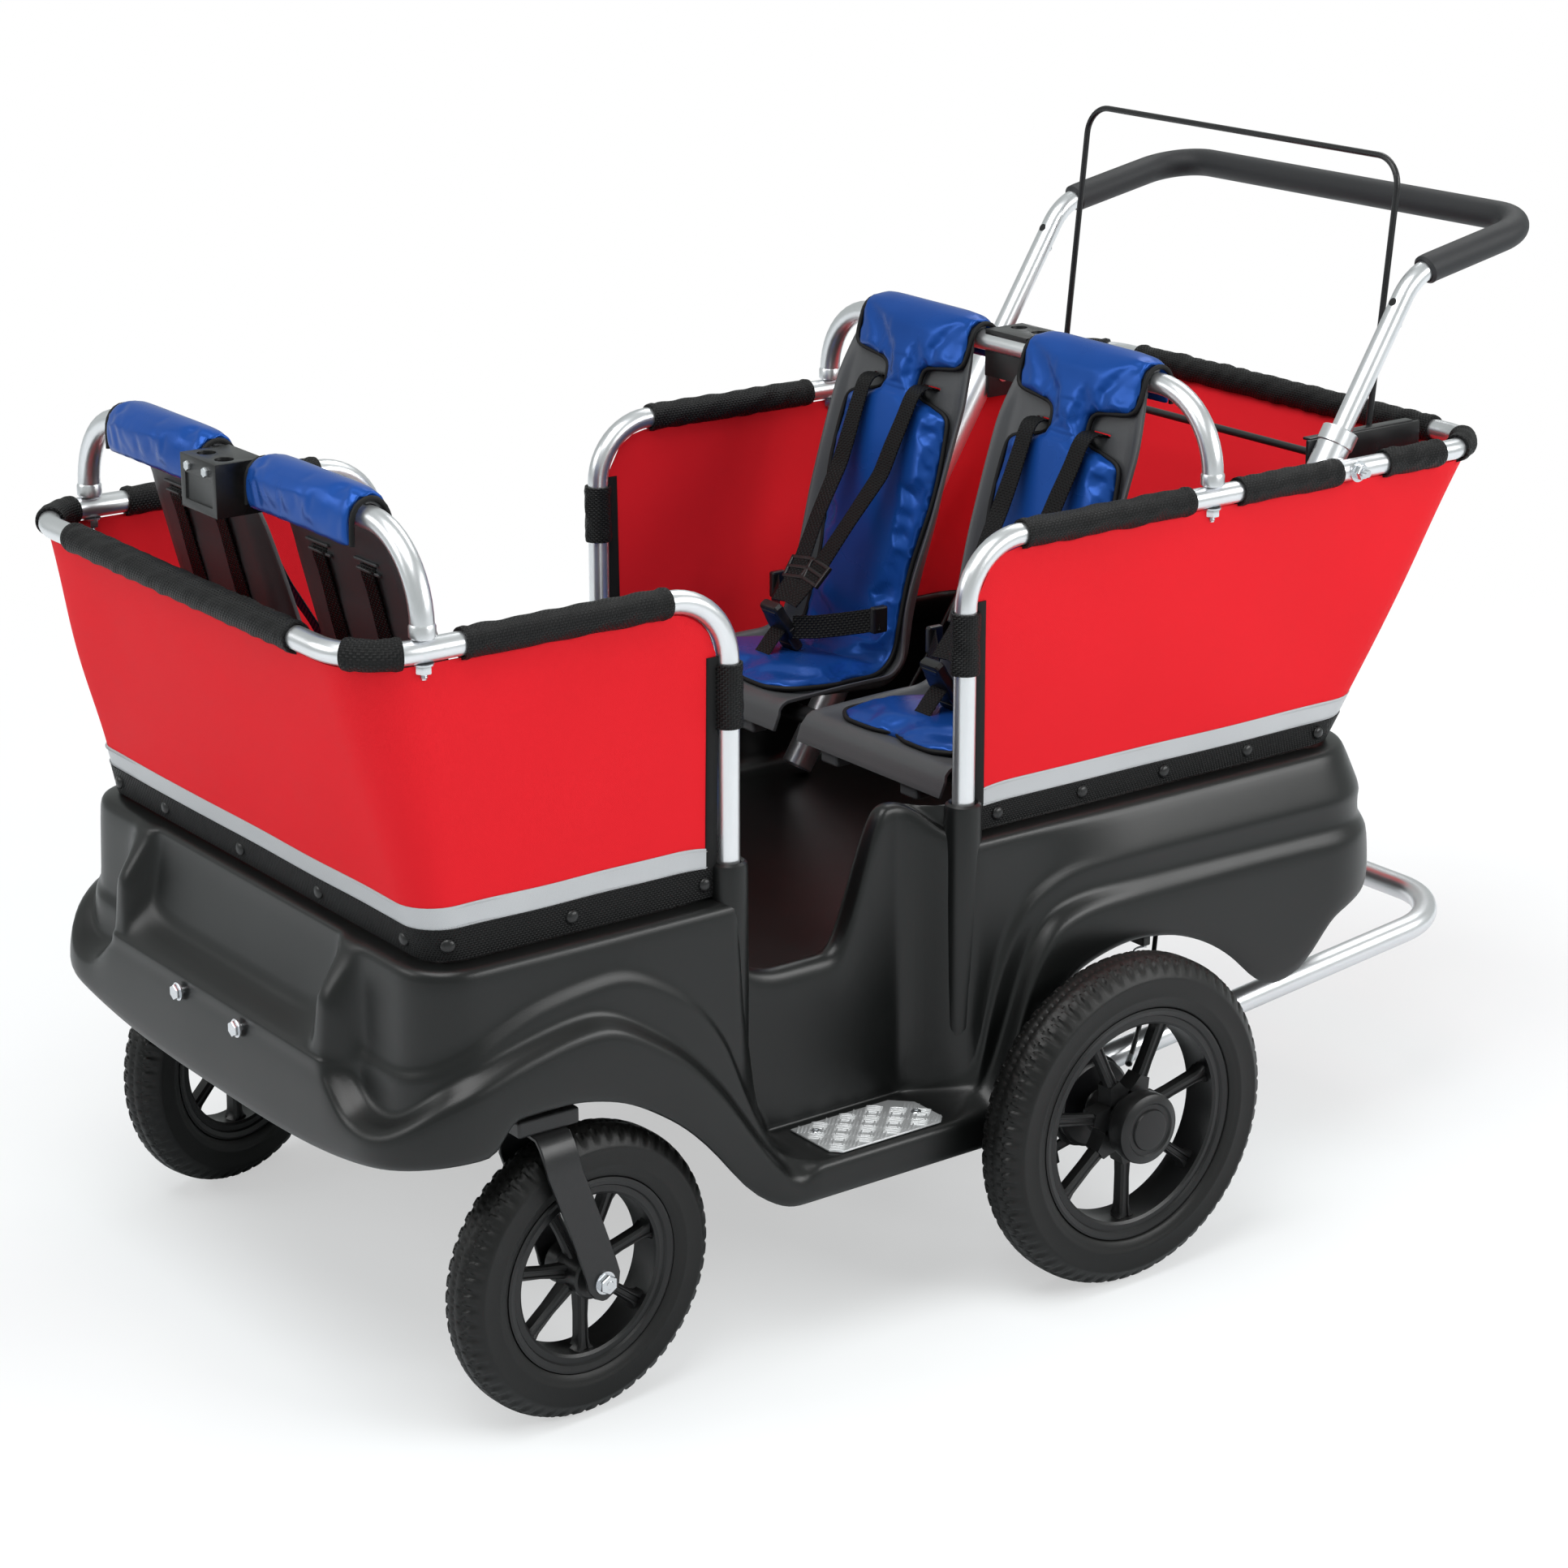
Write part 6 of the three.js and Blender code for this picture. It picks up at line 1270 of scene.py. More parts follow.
def make_rim(name, radius, half, hub_radius, hub_half, bore, cap):
    """A moulded rim: flanged ring, seven ribbed spokes and a hub, with a raised cap on the driven side."""
    outer, w = radius + 5, half * 0.72
    flange = [(-17, 2), (-14.5, 0), (-9, 0.4), (-7.5, -1.6), (-3, -3.2), (-0.8, -2.4), (0, 1), (-2, 5)]
    ring = lathe("ring", [*[(outer + r, x - w) for r, x in flange], *[(outer + r, w - x) for r, x in flange[::-1]],
                          (outer - 15, w - 9), (outer - 15, 9 - w)], 112)
    rings = []
    for share, width, depth in ((0, 15, 19), (0.12, 12.5, 17), (0.5, 10.5, 15), (0.86, 11.5, 15.5), (0.95, 14, 17),
                                (1, 20, 18.5)):
        a, b = width / 2, depth / 2
        rib = a * 0.42
        rings.append([(x, y - AXLE_TO_FRAME, mix(hub_radius * 0.7, outer - 15.5, share)) for x, y in (
            (-b, -rib), (-b, rib), (-b + 5, rib), (-b + 7, a), (b - 2.5, a), (b, a - 2), (b, 2.6), (b - 1.6, 1.6),
            (b - 1.6, -1.6), (b, -2.6), (b, -a + 2), (b - 2.5, -a), (-b + 7, -a), (-b + 5, -rib))])
    spokes = around_wheel("spokes", loft("spoke", rings), 7, RIM_PLASTIC, pi / 7)
    hub = lathe("hub", [*[(hub_radius + r, share * hub_half + x) for r, share, x in (
        (-2, -1, 0), (0, -1, 2), (-1, -0.4, 0), (3, 0, -2), (-1, 0.4, 0), (0, 1, -2), (-2, 1, 0))],
        (bore + 4, hub_half), (bore + 3, hub_half - 2.5), (bore, hub_half - 2.5), (bore, -hub_half)], 56)
    parts = [round_shading(ring, 30), round_shading(spokes, 34), round_shading(hub, 30)]
    if cap:
        dome = [(0, -6), (33, -6), (34.6, 1), (35, 9), (34.2, 12.2), (32, 14), (26.5, 15.4), (24.8, 13.6),
            (20.4, 13.6),
                (19.4, 15.6), (17.5, 16), (0, 15.4)]
        parts.append(round_shading(lathe("cap", [(r, hub_half + x) for r, x in dome], 64, closed=False), 30))
        web = loft("web", [[(x * 9, y * h - AXLE_TO_FRAME, z) for x, y in SQUARE]
                           for z, h in ((24, 15), (34, 9.5), (44, 6))])
        parts.append(round_shading(around_wheel("webs", web, 7, RIM_PLASTIC, pi / 7), 30))
    return joined(name, *parts)


TURNS = {"left": math.radians(3.3), "right": math.radians(16)}
SIDES = (("left", 1), ("right", -1))
CASTER_X, CASTER_Y, TRAIL, TRACK_X = 311, -604, 42, 392


def caster_place(side, sign):
    """Matrix that sets a fork drawn round its own swivel axis, turned as in the photograph."""
    return shift_by(sign * CASTER_X, CASTER_Y + AXLE_TO_FRAME, 0) @ Matrix.Rotation(TURNS[side], 4, "Z")


def wheel_place(side, sign, end):
    """Matrix that sets a wheel made round X at its axle, with its outer face outwards."""
    if end == "front":
        return caster_place(side, sign) @ shift_by(0, TRAIL, FRONT_R)
    return shift_by(sign * TRACK_X, AXLE_TO_FRAME, REAR_R) @ Matrix.Rotation(0 if sign > 0 else pi, 4, "Z")


wheels = (
    ("front", make_tyre("tyre_form", FRONT_R, 86, 25, 56), make_rim("rim_form", 86, 25, 21, 24, 5.3, False)),
    ("rear", make_tyre("tyre_form", REAR_R, 110, 28, 66), make_rim("rim_form", 110, 28, 27, 24, 8.3, True)))
for side, sign in SIDES:
    for end, *forms in wheels:
        for form, kind, material, slot in zip(
                forms, ("tyre", "rim"), (TYRE_RUBBER, RIM_PLASTIC), ("tyre", "rim_plastic")):
            skin = twin(form, f"{end}_{kind}_skin_{side}", wheel_place(side, sign, end))
            dress(skin, material, f"{end}_wheel_{side}", slot, f"{end}_{kind}_{side}")
remove(*[form for wheel in wheels for form in wheel[1:]])


def make_fork():
    """A caster fork bent from flat bar: rounded axle lugs, leaning legs and a crown, with its swivel stem."""
    leg = [(36, 42, 118, 3), (36, 42, 122, 10.5), (36, 42, 130, 16.4), *[(*at, 18) for at in (
        (36, 41.5, 140), (36, 38, 152), (36, 25, 189), (36, 9, 232), (35.6, 3, 248), (33, 1, 262), (28.5, 0, 273),
        (22, 0, 279.8), (12, 0, 281), (0, 0, 281))]]
    line = np.array(leg + [(-x, y, z, w) for x, y, z, w in leg[:-1][::-1]], float)
    rings = []
    for i, (x, y, z, w) in enumerate(line):
        ahead = unit((line[min(len(line) - 1, i + 1)] - line[max(0, i - 1)])[[0, 2]]) * 2
        rings.append([(x - ahead[1] * s, y + u - AXLE_TO_FRAME, z + ahead[0] * s) for u, s in (
            (-w, -0.6), (-w + 0.8, -1), (w - 0.8, -1), (w, -0.6), (w, 0.6), (w - 0.8, 1), (-w + 0.8, 1), (-w, 0.6))])
    fork = round_shading(loft("fork_bar", rings), 40)
    stem = lathe("fork_stem", [(0, 279), (15, 279), (17, 281.2), (17, 282.6), (9.2, 282.9), (9.2, 292), (8, 293),
                               (0, 293)], 40, axis=2, closed=False)
    boss = round_shading(lathe("boss", [(5.4, -34), (11, -34), (11, -33), (10, -30), (5.4, -30)], 32), 30)
    bosses = [turned(ob, shift_by(0, TRAIL, FRONT_R)) for ob in (twin(boss, "far_boss", FLIP_X), boss)]
    return joined("fork_form", fork, round_shading(stem, 30), *bosses[::-1])


def make_axle():
    """A caster axle with washers, hexagon nuts and domed thread ends."""
    pin = [(0, -46.5), (3.4, -46.4), (4.9, -45), (4.9, 45), (3.4, 46.4), (0, 46.5)]
    parts = [round_shading(lathe("pin", pin, 28, closed=False), 30)]
    for mirror in (Matrix.Identity(4), FLIP_X):
        ring = lathe("washer", [(5, 38.2), (10.5, 38.2), (10.5, 39.6), (5, 39.6)], 36)
        nut = turned(hex_part("nut", 15.5, 6.2), shift_by(39.5, 0, 0) @ Matrix.Rotation(pi / 2, 4, "Y"))
        parts += [round_shading(turned(ring, mirror), 30), round_shading(turned(nut, mirror), 25)]
    return joined("axle_form", *parts)


fork, axle = make_fork(), make_axle()
for side, sign in SIDES:
    skin = twin(fork, f"caster_fork_skin_{side}", caster_place(side, sign))
    nuts = twin(axle, f"caster_axle_nuts_{side}", wheel_place(side, sign, "front"))
    dress(skin, BLACK_STEEL, f"caster_{side}", "black_steel", f"caster_fork_{side}")
    dress(nuts, ZINC, f"caster_{side}", "steel", f"caster_axle_{side}")
remove(fork, axle)

# ---------------------------------------------------------------- handle, grip, bail and bumper

LEAN = math.radians(32.1)
GRIP_X, HANDLE_STEPS = 266, 14


def leg_y(z):
    return 346 + (z - 700) * tan(LEAN)


def mirrored(points):
    """A line of points and its mirror image after it, from the far side to the near one."""
    return [(-x, y, z) for x, y, z in points] + points[::-1]


def ring_tube(name, line, outer, inner, ends):
    """A thick-walled tube with rounded end faces along a line."""
    line = np.asarray(line, float)
    tangent, side, up = frames_along(line)
    n = len(line) - 1

    def ring(i, r, slide=0.0):
        return [p + tangent[i] * slide for p in circle_at(i, line, side, up, [r] * 36)]
    rings = [ring(0, inner), ring(0, outer - ends), ring(0, outer, ends), *[ring(i, outer) for i in range(1, n)],
             ring(n, outer, -ends), ring(n, outer - ends), ring(n, inner),
             *[ring(i, inner) for i in range(n - 1, 0, -1)][::3]]
    return round_shading(loft(name, [*rings, rings[0]], caps=False), 40)


def make_handle():
    leg = [(GRIP_X, leg_y(520), 520), (GRIP_X, leg_y(898), 898), (GRIP_X, 644, 932)]
    line = bent_line(mirrored(leg), [60, 52, 52, 60], HANDLE_STEPS)
    dress(tube("push_handle_tube", line, RAIL_R, TUBE_METAL, 36), None, "handle", "tube", "push_handle")
    eyelet = turned_part("eyelet", [(0, 0.02), (3.2, 0.02), (3.9, 0.12), (4.3, 0.05), (4.4, -0.5)], 24)
    spots = [(m * GRIP_X, leg_y(868) - RAIL_R * cos(LEAN), 868 + RAIL_R * sin(LEAN)) for m in (1, -1)]
    holes = scatter("handle_height_holes", eyelet, spots, (0, -cos(LEAN), sin(LEAN)), BLACK_STEEL)
    dress(holes, BLACK_STEEL, "handle", "black_steel")
    # The foam starts a little before the end of each leg's first bend
    k = HANDLE_STEPS - 1
    covered = [mix(line[k - 1], line[k], 0.2), *line[k:-k], mix(line[-k], line[1 - k], 0.2)]
    fine = []
    for a, b in zip(covered[:-1], covered[1:]):
        count = max(1, int(np.linalg.norm(b - a) / 12))
        fine += [mix(a, b, i / count) for i in range(count)]
    dress(ring_tube("foam_grip", [*fine, covered[-1]], 15, 10.8, 2.5), FOAM, "handle", "foam", "handle_grip")


def make_bail():
    arm = [(248.7, 449, 724), (233, 449, 724), (233, 479, 1008)]
    wire = tube("bail_wire", bent_line(mirrored(arm), [5.1, 30, 30, 5.1], 10), 3.2, BLACK_STEEL, 18)
    tails = [tube("bail_tail", [(m * 233, 449, 724), (m * 233, 449 - 18 * 30 / 284, 706)], 3.2, BLACK_STEEL, 18)
             for m in (1, -1)]
    dress(joined("bail_wire_form", wire, *tails), None, "bail", "black_steel", "brake_bail")


def make_bars():
    bumper = bent_line(mirrored([(285, 16, 162), (285, 559, 218)]), [78, 78], 16)
    dress(tube("bumper_tube", bumper, 13, TUBE_METAL, 36), None, "body", "tube", "rear_bumper")
    bars = [("bail_cross_rod", 248.7, 425, 707, 4, BLACK_STEEL, 20, "cross_rod"),
            ("wheel_axle_bar", 416, 0, REAR_R, 8, ZINC, 24, "rear_axle")]
    bars += [(f"{row}_seat_bar_tube", 284.7, at["hoop"] + at["facing"] * 240, 468, 9, BLACK_STEEL, 28,
              f"seat_bar_{row}") for row, at in ROWS.items()]
    for name, x, y, z, radius, material, sides, stands_for in bars:
        slot = "steel" if material is ZINC else "black_steel"
        dress(tube(name, [(-x, y, z), (x, y, z)], radius, material, sides), None, "body", slot, stands_for)


def make_handle_socket(side, m):
    def up_leg(heights):
        return [(m * GRIP_X, leg_y(z), z) for z in heights]
    socket = ring_tube("socket", up_leg(span(308.3 + 17 * sin(LEAN), 752, 8)), 17, 10.8, 1.6)
    collar = ring_tube("collar", up_leg((738, 741, 744, 747, 752.4)), 18.6, 17.0, 1.0)
    y = leg_y(RAIL_Z)
    spacer = tube("spacer", [(m * 278.3, y, RAIL_Z), (m * 289.2, y, RAIL_Z)], 8, ZINC)
    whole = joined(f"handle_socket_tube_{side}", socket, collar, spacer)
    dress(whole, TUBE_METAL, "body", "tube", f"handle_socket_{side}")
    # The through bolt comes out of the rail with a washer, a nut and its thread
    x = RAIL_X + RAIL_R - 0.4
    parts = [scatter("bolt", part, [(m * at, y, RAIL_Z)], (m, 0, 0), ZINC) for part, at in (
        (washer(10.5, 1.6), x), (hex_part("nut", 13, 7), x + 1.6), (thread(15, -0.7, (3.3, 7)), x))]
    dress(joined(f"socket_through_bolt_{side}", *parts), ZINC, "body", "steel")
    # Sprung button that sets the height, with a domed end through the leg
    pin = turned_part("button", [(0, 13.9), (1.6, 13.6), (3, 12.8), (3.9, 11), (4, -2.9), (3.6, -3.2), (0, -3.2)], 24)
    button = scatter(f"height_button_{side}", pin, up_leg([855]), (0, cos(LEAN), -sin(LEAN)), ZINC)
    dress(button, ZINC, f"button_{side}", "steel", f"handle_button_{side}")


make_handle()
make_bail()
make_bars()
for side, m in SIDES:
    make_handle_socket(side, m)

# ---------------------------------------------------------------- seats
# Seat parts are drawn in a seat frame: x across, f from the hoop towards the knees, h up

SEAT_LEAN = math.radians(14.5)
HOOK = 13.3
CREASE_F = HOOK * (1 - sin(SEAT_LEAN)) / cos(SEAT_LEAN) + math.tan(SEAT_LEAN) * (HOOP_Z + HOOK - 474)
SEAT_LINE = resample(bent_line(
    [(0, -HOOK, 792), (0, -HOOK, HOOP_Z + HOOK), (0, HOOK * (1 - sin(SEAT_LEAN)) / cos(SEAT_LEAN), HOOP_Z + HOOK),
     (0, CREASE_F, 474), (0, 272, 486), (0, 282, 460)], [13.2, 13.2, 45, 14], 10), 241)
# Along the seat line: share of its length, share of the half width, and how raised or how thick the edge is
SHELL_SHARES = [(0.073, 0.78, 0), (0.112, 0.78, 0), (0.15, 0.86, 0.2), (0.24, 0.94, 0.5), (0.4, 0.93, 0.8),
                (0.56, 0.87, 1), (0.76, 1, 0.7), (0.92, 1, 0.25), (1, 0.99, 0)]
PAD_SHARES = [(0, 0.94, 0.3), (0.112, 0.95, 0.35), (0.162, 0.93, 0.75), (0.178, 0.3, 0.8), (0.222, 0.28, 0.9),
              (0.25, 0.88, 1), (0.36, 0.93, 1.1), (0.54, 0.78, 1.1), (0.77, 0.9, 1.05), (0.84, 1, 1.1),
              (0.905, 0.94, 1), (0.938, 0.66, 0.5)]
SHELL_HALF, PAD_HALF, STRAP_X, SEAT_X = 113, 94, 41, 131
SEAT_RUN = 880


def seat_at(share, off=0.0):
    """The seat line's point at a share of its length, moved off it towards the sitter, and its two directions."""
    place = np.clip(share, 0, 1) * (len(SEAT_LINE) - 1)
    i = min(int(place), len(SEAT_LINE) - 2)
    point = mix(SEAT_LINE[i], SEAT_LINE[i + 1], place - i)
    along = SEAT_LINE[min(i + 2, len(SEAT_LINE) - 1)] - SEAT_LINE[max(0, i - 1)]
    along = along / np.linalg.norm(along)
    normal = vec(0, -along[2], along[1])
    return point + normal * off, normal, along


def table_curve(table, column):
    return curve_through([(row[0], row[column]) for row in table])


def seat_place(ob, row, side, name):
    """Puts a copy of a part that was drawn in the seat frame on its seat."""
    at = ROWS[row]
    turn = Matrix.Rotation(0 if at["facing"] > 0 else pi, 4, "Z")
    there = shift_by(side * SEAT_X, at["hoop"] + AXLE_TO_FRAME, 0)
    return twin(ob, name, there @ turn @ shift_by(0, -AXLE_TO_FRAME, 0))


def back_face(z):
    return HOOK * cos(SEAT_LEAN) + tan(SEAT_LEAN) * (HOOP_Z + HOOK * sin(SEAT_LEAN) - z)


def on_back(x, z, off):
    return vec(x, back_face(z) + off * cos(SEAT_LEAN), z + off * sin(SEAT_LEAN))


def make_shell():
    """Moulded seat shell: a thin dished sheet with raised flanges, a rolled lip and a rib round the strap slots."""
    width, raised = table_curve(SHELL_SHARES, 1), table_curve(SHELL_SHARES, 2)
    across = np.array([-1, -0.985, -0.965, -0.94, -0.9, -0.85, -0.75, -0.6, -0.44, -0.3, -0.15, 0])
    across = np.concatenate([across, -across[:-1][::-1]])
    shares = span(0.073, 1, 104)
    points, uvs = [], []
    for share in shares:
        half = SHELL_HALF * width(share)
        tall = 20 * max(0, raised(share))
        for a in across:
            edge = smooth((abs(a) - 0.84) / 0.15)
            pull = smooth((abs(a) - 0.7) / 0.3) if tall > 2 else 0
            out = half * a - math.copysign(2.4, a) * pull
            rise = edge * max(0, tall - 2)
            slot = 1.5 * math.exp(-(((abs(out) - STRAP_X) / 22) ** 4 + ((share - 0.198) / 0.018) ** 4))
            panel = 1.2 * smooth((0.62 - abs(a)) / 0.1) * smooth((share - 0.27) / 0.02) * smooth((0.56 - share) / 0.02)
            at = seat_at(share, rise - slot - panel)[0]
            points.append((out, at[1], at[2]))
            uvs.append((out * MM, share * 0.8))
    faces = grid_faces(len(shares), len(across))
    ob = plain("shell_sheet", points, faces, [uvs[v] for f in faces for v in f])
    if ob.data.polygons[len(across) * 60].normal.y < 0:
        ob.data.flip_normals()
    thicken(ob, 3.6)
    y = seat_at(0.1975)[0][1]
    for m in (1, -1):
        take(ob, block("slot_cutter", (m * STRAP_X - 13.6, m * STRAP_X + 13.6), (y - 14, y + 14), (760.8, 764.4)))
    return round_shading(bevel(ob, 0.9, 2, 40), 50)


def make_shell_clips():
    """Hook tabs at the shell's front lip and the strap guides."""
    parts = []
    for m in (1, -1):
        parts.append(block("tab", (m * 62 - 13, m * 62 + 13), (262, 281), (448, 464), 2.5, 3))
        for z in (755.5, 764.6):
            y = back_face(z) - 3.5
            parts.append(block("guide", (m * STRAP_X - 19, m * STRAP_X + 19), (y - 2.5, y + 1), (z, z + 3), 1))
    return joined("shell_clips", *parts)


def pad_end_notch(a):
    """How far the pad's front end is drawn back round the crotch strap."""
    return 15 * math.exp(-(a / 0.24) ** 2)


def make_pad():
    """Satin pad: a stuffed sheet over the shell, filled and settled by the cloth solver."""
    width, thick = table_curve(PAD_SHARES, 1), table_curve(PAD_SHARES, 2)
    rings = []
    for share in span(0.002, 0.936, 110):
        half = PAD_HALF * width(share) - 1.5
        full = max(6.5, 12 * thick(share))
        ends = min(1.0, share / 0.012) ** 0.5 * min(1.0, (0.94 - share) / 0.02) ** 0.5
        top, low = [], []
        for a in np.linspace(-1, 1, 25):
            swell = (1 - abs(a) ** 5) ** 0.55
            back = share - pad_end_notch(a) * smooth((share - 0.86) / 0.07) / SEAT_RUN
            for row, off in ((top, 3.4 + full * (0.34 + 0.62 * swell * ends)), (low, -0.6 + full * 0.3 * (1 - swell))):
                row.append((half * a, *seat_at(back, off)[0][1:]))
        rings.append(top + low[1:-1][::-1])
    ob = face_out(loft("pad_form", rings))
    modify(ob, "REMESH", mode="VOXEL", voxel_size=0.0046)
    fill_with_air(ob)
    return round_shading(subdivide(ob), 60)


def read_vectors(mesh, label):
    values = np.empty(len(mesh.vertices) * 3)
    mesh.vertices.foreach_get(label, values)
    return values.reshape(-1, 3)


def fill_with_air(ob):
    """Blows the pad up a little as cloth, so that it creases at its edges, and lets no point move far."""
    last_frame, farthest, skin = 18, 0.006, 0.0058
    mesh = ob.data
    before = read_vectors(mesh, "co")
    near = before - (0, AXLE_TO_FRAME * MM, 0)
    held = ob.vertex_groups.new(name="held")
    line = SEAT_LINE[::2] * MM
    for i, point in enumerate(near):
        if np.abs(line[:, 1:] - point[1:]).sum(axis=1).min() < skin:
            held.add([i], 1.0, "REPLACE")
    cloth = ob.modifiers.new("satin", "CLOTH")
    for key, value in {
            "quality": 5, "mass": 0.25, "tension_stiffness": 12, "compression_stiffness": 12, "shear_stiffness": 6,
            "bending_stiffness": 0.4, "use_pressure": True, "uniform_pressure_force": 3.2, "shrink_min": -0.055,
            "vertex_group_mass": "held"}.items():
        setattr(cloth.settings, key, value)
    cloth.settings.effector_weights.gravity = 0
    cloth.collision_settings.use_collision = False
    cloth.point_cache.frame_start, cloth.point_cache.frame_end = 1, last_frame
    scene = bpy.context.scene
    for frame in range(1, last_frame + 1):
        scene.frame_set(frame)
    made = bpy.data.meshes.new_from_object(ob.evaluated_get(bpy.context.evaluated_depsgraph_get()))
    step = read_vectors(made, "co") - before
    facing = read_vectors(mesh, "normal")
    inward = np.minimum(0, (step * facing).sum(axis=1, keepdims=True))
    step -= facing * inward * 0.85
    far = np.linalg.norm(step, axis=1, keepdims=True)
    step *= np.minimum(1, farthest / np.maximum(far, 1e-9))
    ob.modifiers.clear()
    mesh.vertices.foreach_set("co", (before + step).ravel())
    mesh.update()
    bpy.data.meshes.remove(made)
    scene.frame_set(1)


def make_piping():
    """Piping along the pad's two long edges and round its front end."""
    width, thick = table_curve(PAD_SHARES, 1), table_curve(PAD_SHARES, 2)
    left = [(PAD_HALF * width(share) + 0.6, *seat_at(share, 2.6 + 12 * thick(share) * 0.34)[0][1:])
            for share in span(0.006, 0.93, 150)]
    end = [(PAD_HALF * width(0.93) * a, *seat_at(0.934 - pad_end_notch(a) / SEAT_RUN, 2.6 + 6 * 0.34)[0][1:])
           for a in span(0.97, -0.97, 40)]
    line = np.array(left + end + [(-x, y, z) for x, y, z in reversed(left)])
    return tube("pad_piping", rounded(line, 260, 2), 2.5, BINDING, 10)


# ---------------------------------------------------------------- harness

def ribbon(line, across=(1, 0, 0), twist=0.0):
    """Flat webbing along a line, 24 mm by 1.8 mm."""
    w, t = 12, 0.9
    tangent = tangents(line)
    rings = []
    for i, p in enumerate(line):
        flat = unit(np.asarray(across, float) - tangent[i] * np.dot(across, tangent[i]))
        normal = np.cross(tangent[i], flat)
        turn = twist * sin(i * 0.21)
        flat, normal = flat * cos(turn) + normal * sin(turn), normal * cos(turn) - flat * sin(turn)
        rings.append([p + flat * a + normal * b for a, b in (
            (-w, 0), (-w + 0.7, -t), (w - 0.7, -t), (w, 0), (w - 0.7, t), (-w + 0.7, t))])
    return round_shading(loft("webbing", rings), 50)


def place_plastic(name, parts, place, along, across):
    """Joins the parts of a fitting and sets it on a strap."""
    basis = Matrix((across, along, np.cross(across, along))).transposed().to_4x4()
    return paint(move(turned(joined(name, *parts), basis), place), BUCKLE_PLASTIC)


def make_adjuster(place, along, across):
    """Three-bar webbing adjuster."""
    bars = [block("bar", (-16, 16), (y - 2, y + 2), (-2.4, 2.4), 1.1, local=True) for y in (-11, 0, 11)]
    bars += [block("side", (m * 15 - 2, m * 15 + 2), (-13, 13), (-2.4, 2.4), 1.1, local=True) for m in (1, -1)]
    return place_plastic("adjuster", bars, place, along, across)


def make_buckle(place, along, across):
    """Side-release buckle with its two prongs, the waist and the webbing loop."""
    right = [(12, -30), (15, -27), (15, -17), (16.5, -12), (17, 2), (14.5, 10), (11, 14), (12.5, 20), (14, 27),
             (11, 30)]
    outline = [(-12, -30), *right, *[(-x, y) for x, y in right[:0:-1]]]
    rings = [[(x - math.copysign(min(inset, abs(x)), x), y - math.copysign(min(inset, abs(y)), y) - AXLE_TO_FRAME, z)
              for x, y in outline]
             for z, inset in ((-5.4, 2.2), (-4.6, 0.8), (-3, 0), (3, 0), (4.6, 0.8), (5.4, 2.2))]
    parts = [round_shading(face_out(loft("buckle_body", rings)), 30)]
    for m in (1, -1):
        prong = [(m * 15, -2), (m * 17.6, 1), (m * 17.6, 9), (m * 13.4, 12)]
        rings = [[(x, y - AXLE_TO_FRAME, z) for x, y in prong] for z in (-3.4, 3.4)]
        parts.append(bevel(face_out(loft("prong", rings)), 1))
    parts += [block("bar", (-11, 11), (y - 2.6, y + 2.6), (4.2, 6.2), 0.9, local=True) for y in (-22, 22)]
    return place_plastic("buckle", parts, place, along, across)


def make_harness(name, seed):
    """Five-point harness: two shoulder straps, two lap straps, a crotch strap, adjusters and the buckle."""
    rng = np.random.default_rng(seed)
    across, buckle = vec(1, 0, 0), vec(0, 190, 528)
    straps, plastic = [], []
    for m in (1, -1):
        drift = rng.uniform(-4, 4)
        chest = on_back(m * 34 + drift, 670, 40)
        route = [on_back(m * x + drift * share, z, off) for x, share, z, off in (
            (41, 0, 640, -4.2), (41, 0, 700, -5), (41, 0, 742, -4.6), (41, 0, 757, -6), (41, 0, 762.4, -4.2),
            (41, 0, 762.8, 2), (41, 0, 762.6, 14), (41, 0, 759, 21), (40, 0, 750, 24.5), (39, 0, 730, 28),
            (36, 0.4, 700, 34))]
        route += [chest, mix(chest, buckle, 0.33) + (m * 2, 3, 0),
                  mix(on_back(m * 34, 670, 40), buckle, 0.66) + (m * 2, 2, 0), buckle + (m * 9, -4, 24)]
        line = rounded(route, 90, 2)
        straps.append(ribbon(line, twist=0.05))
        at = 79 + int(rng.integers(-2, 2))
        ahead = unit(line[at + 1] - line[at])
        plastic.append(make_adjuster(line[at], ahead, unit(across - ahead * ahead[0])))
        tail = [on_back(m * STRAP_X, 640 + k * 7, -4.1) for k in range(3)]
        plastic.append(make_adjuster(tail[1], unit(tail[2] - tail[0]), across))
        lap = [(m * 88, 132, 545), (m * 78, 140, 542), (m * 56, 155, 536), (m * 34, 172, 531), (m * 14, 186, 528.6)]
        straps.append(ribbon(rounded(lap, 36, 1), across=(0, -0.35, 0.94)))
        plastic.append(paint(block("anchor", (m * 82, m * 90), (122, 140), (530, 558), 2), BUCKLE_PLASTIC))
    crotch = [(0, 216, 502), (0, 211, 507), (0, 205, 514), (0, 199, 520), (0, 194, 525)]
    straps.append(ribbon(rounded(crotch, 20, 1)))
    tilt = math.radians(60)
    plastic.append(make_buckle(buckle, -vec(0, cos(tilt), sin(tilt)), across))
    return joined(name, paint(joined("straps", *straps), WEBBING), *plastic)


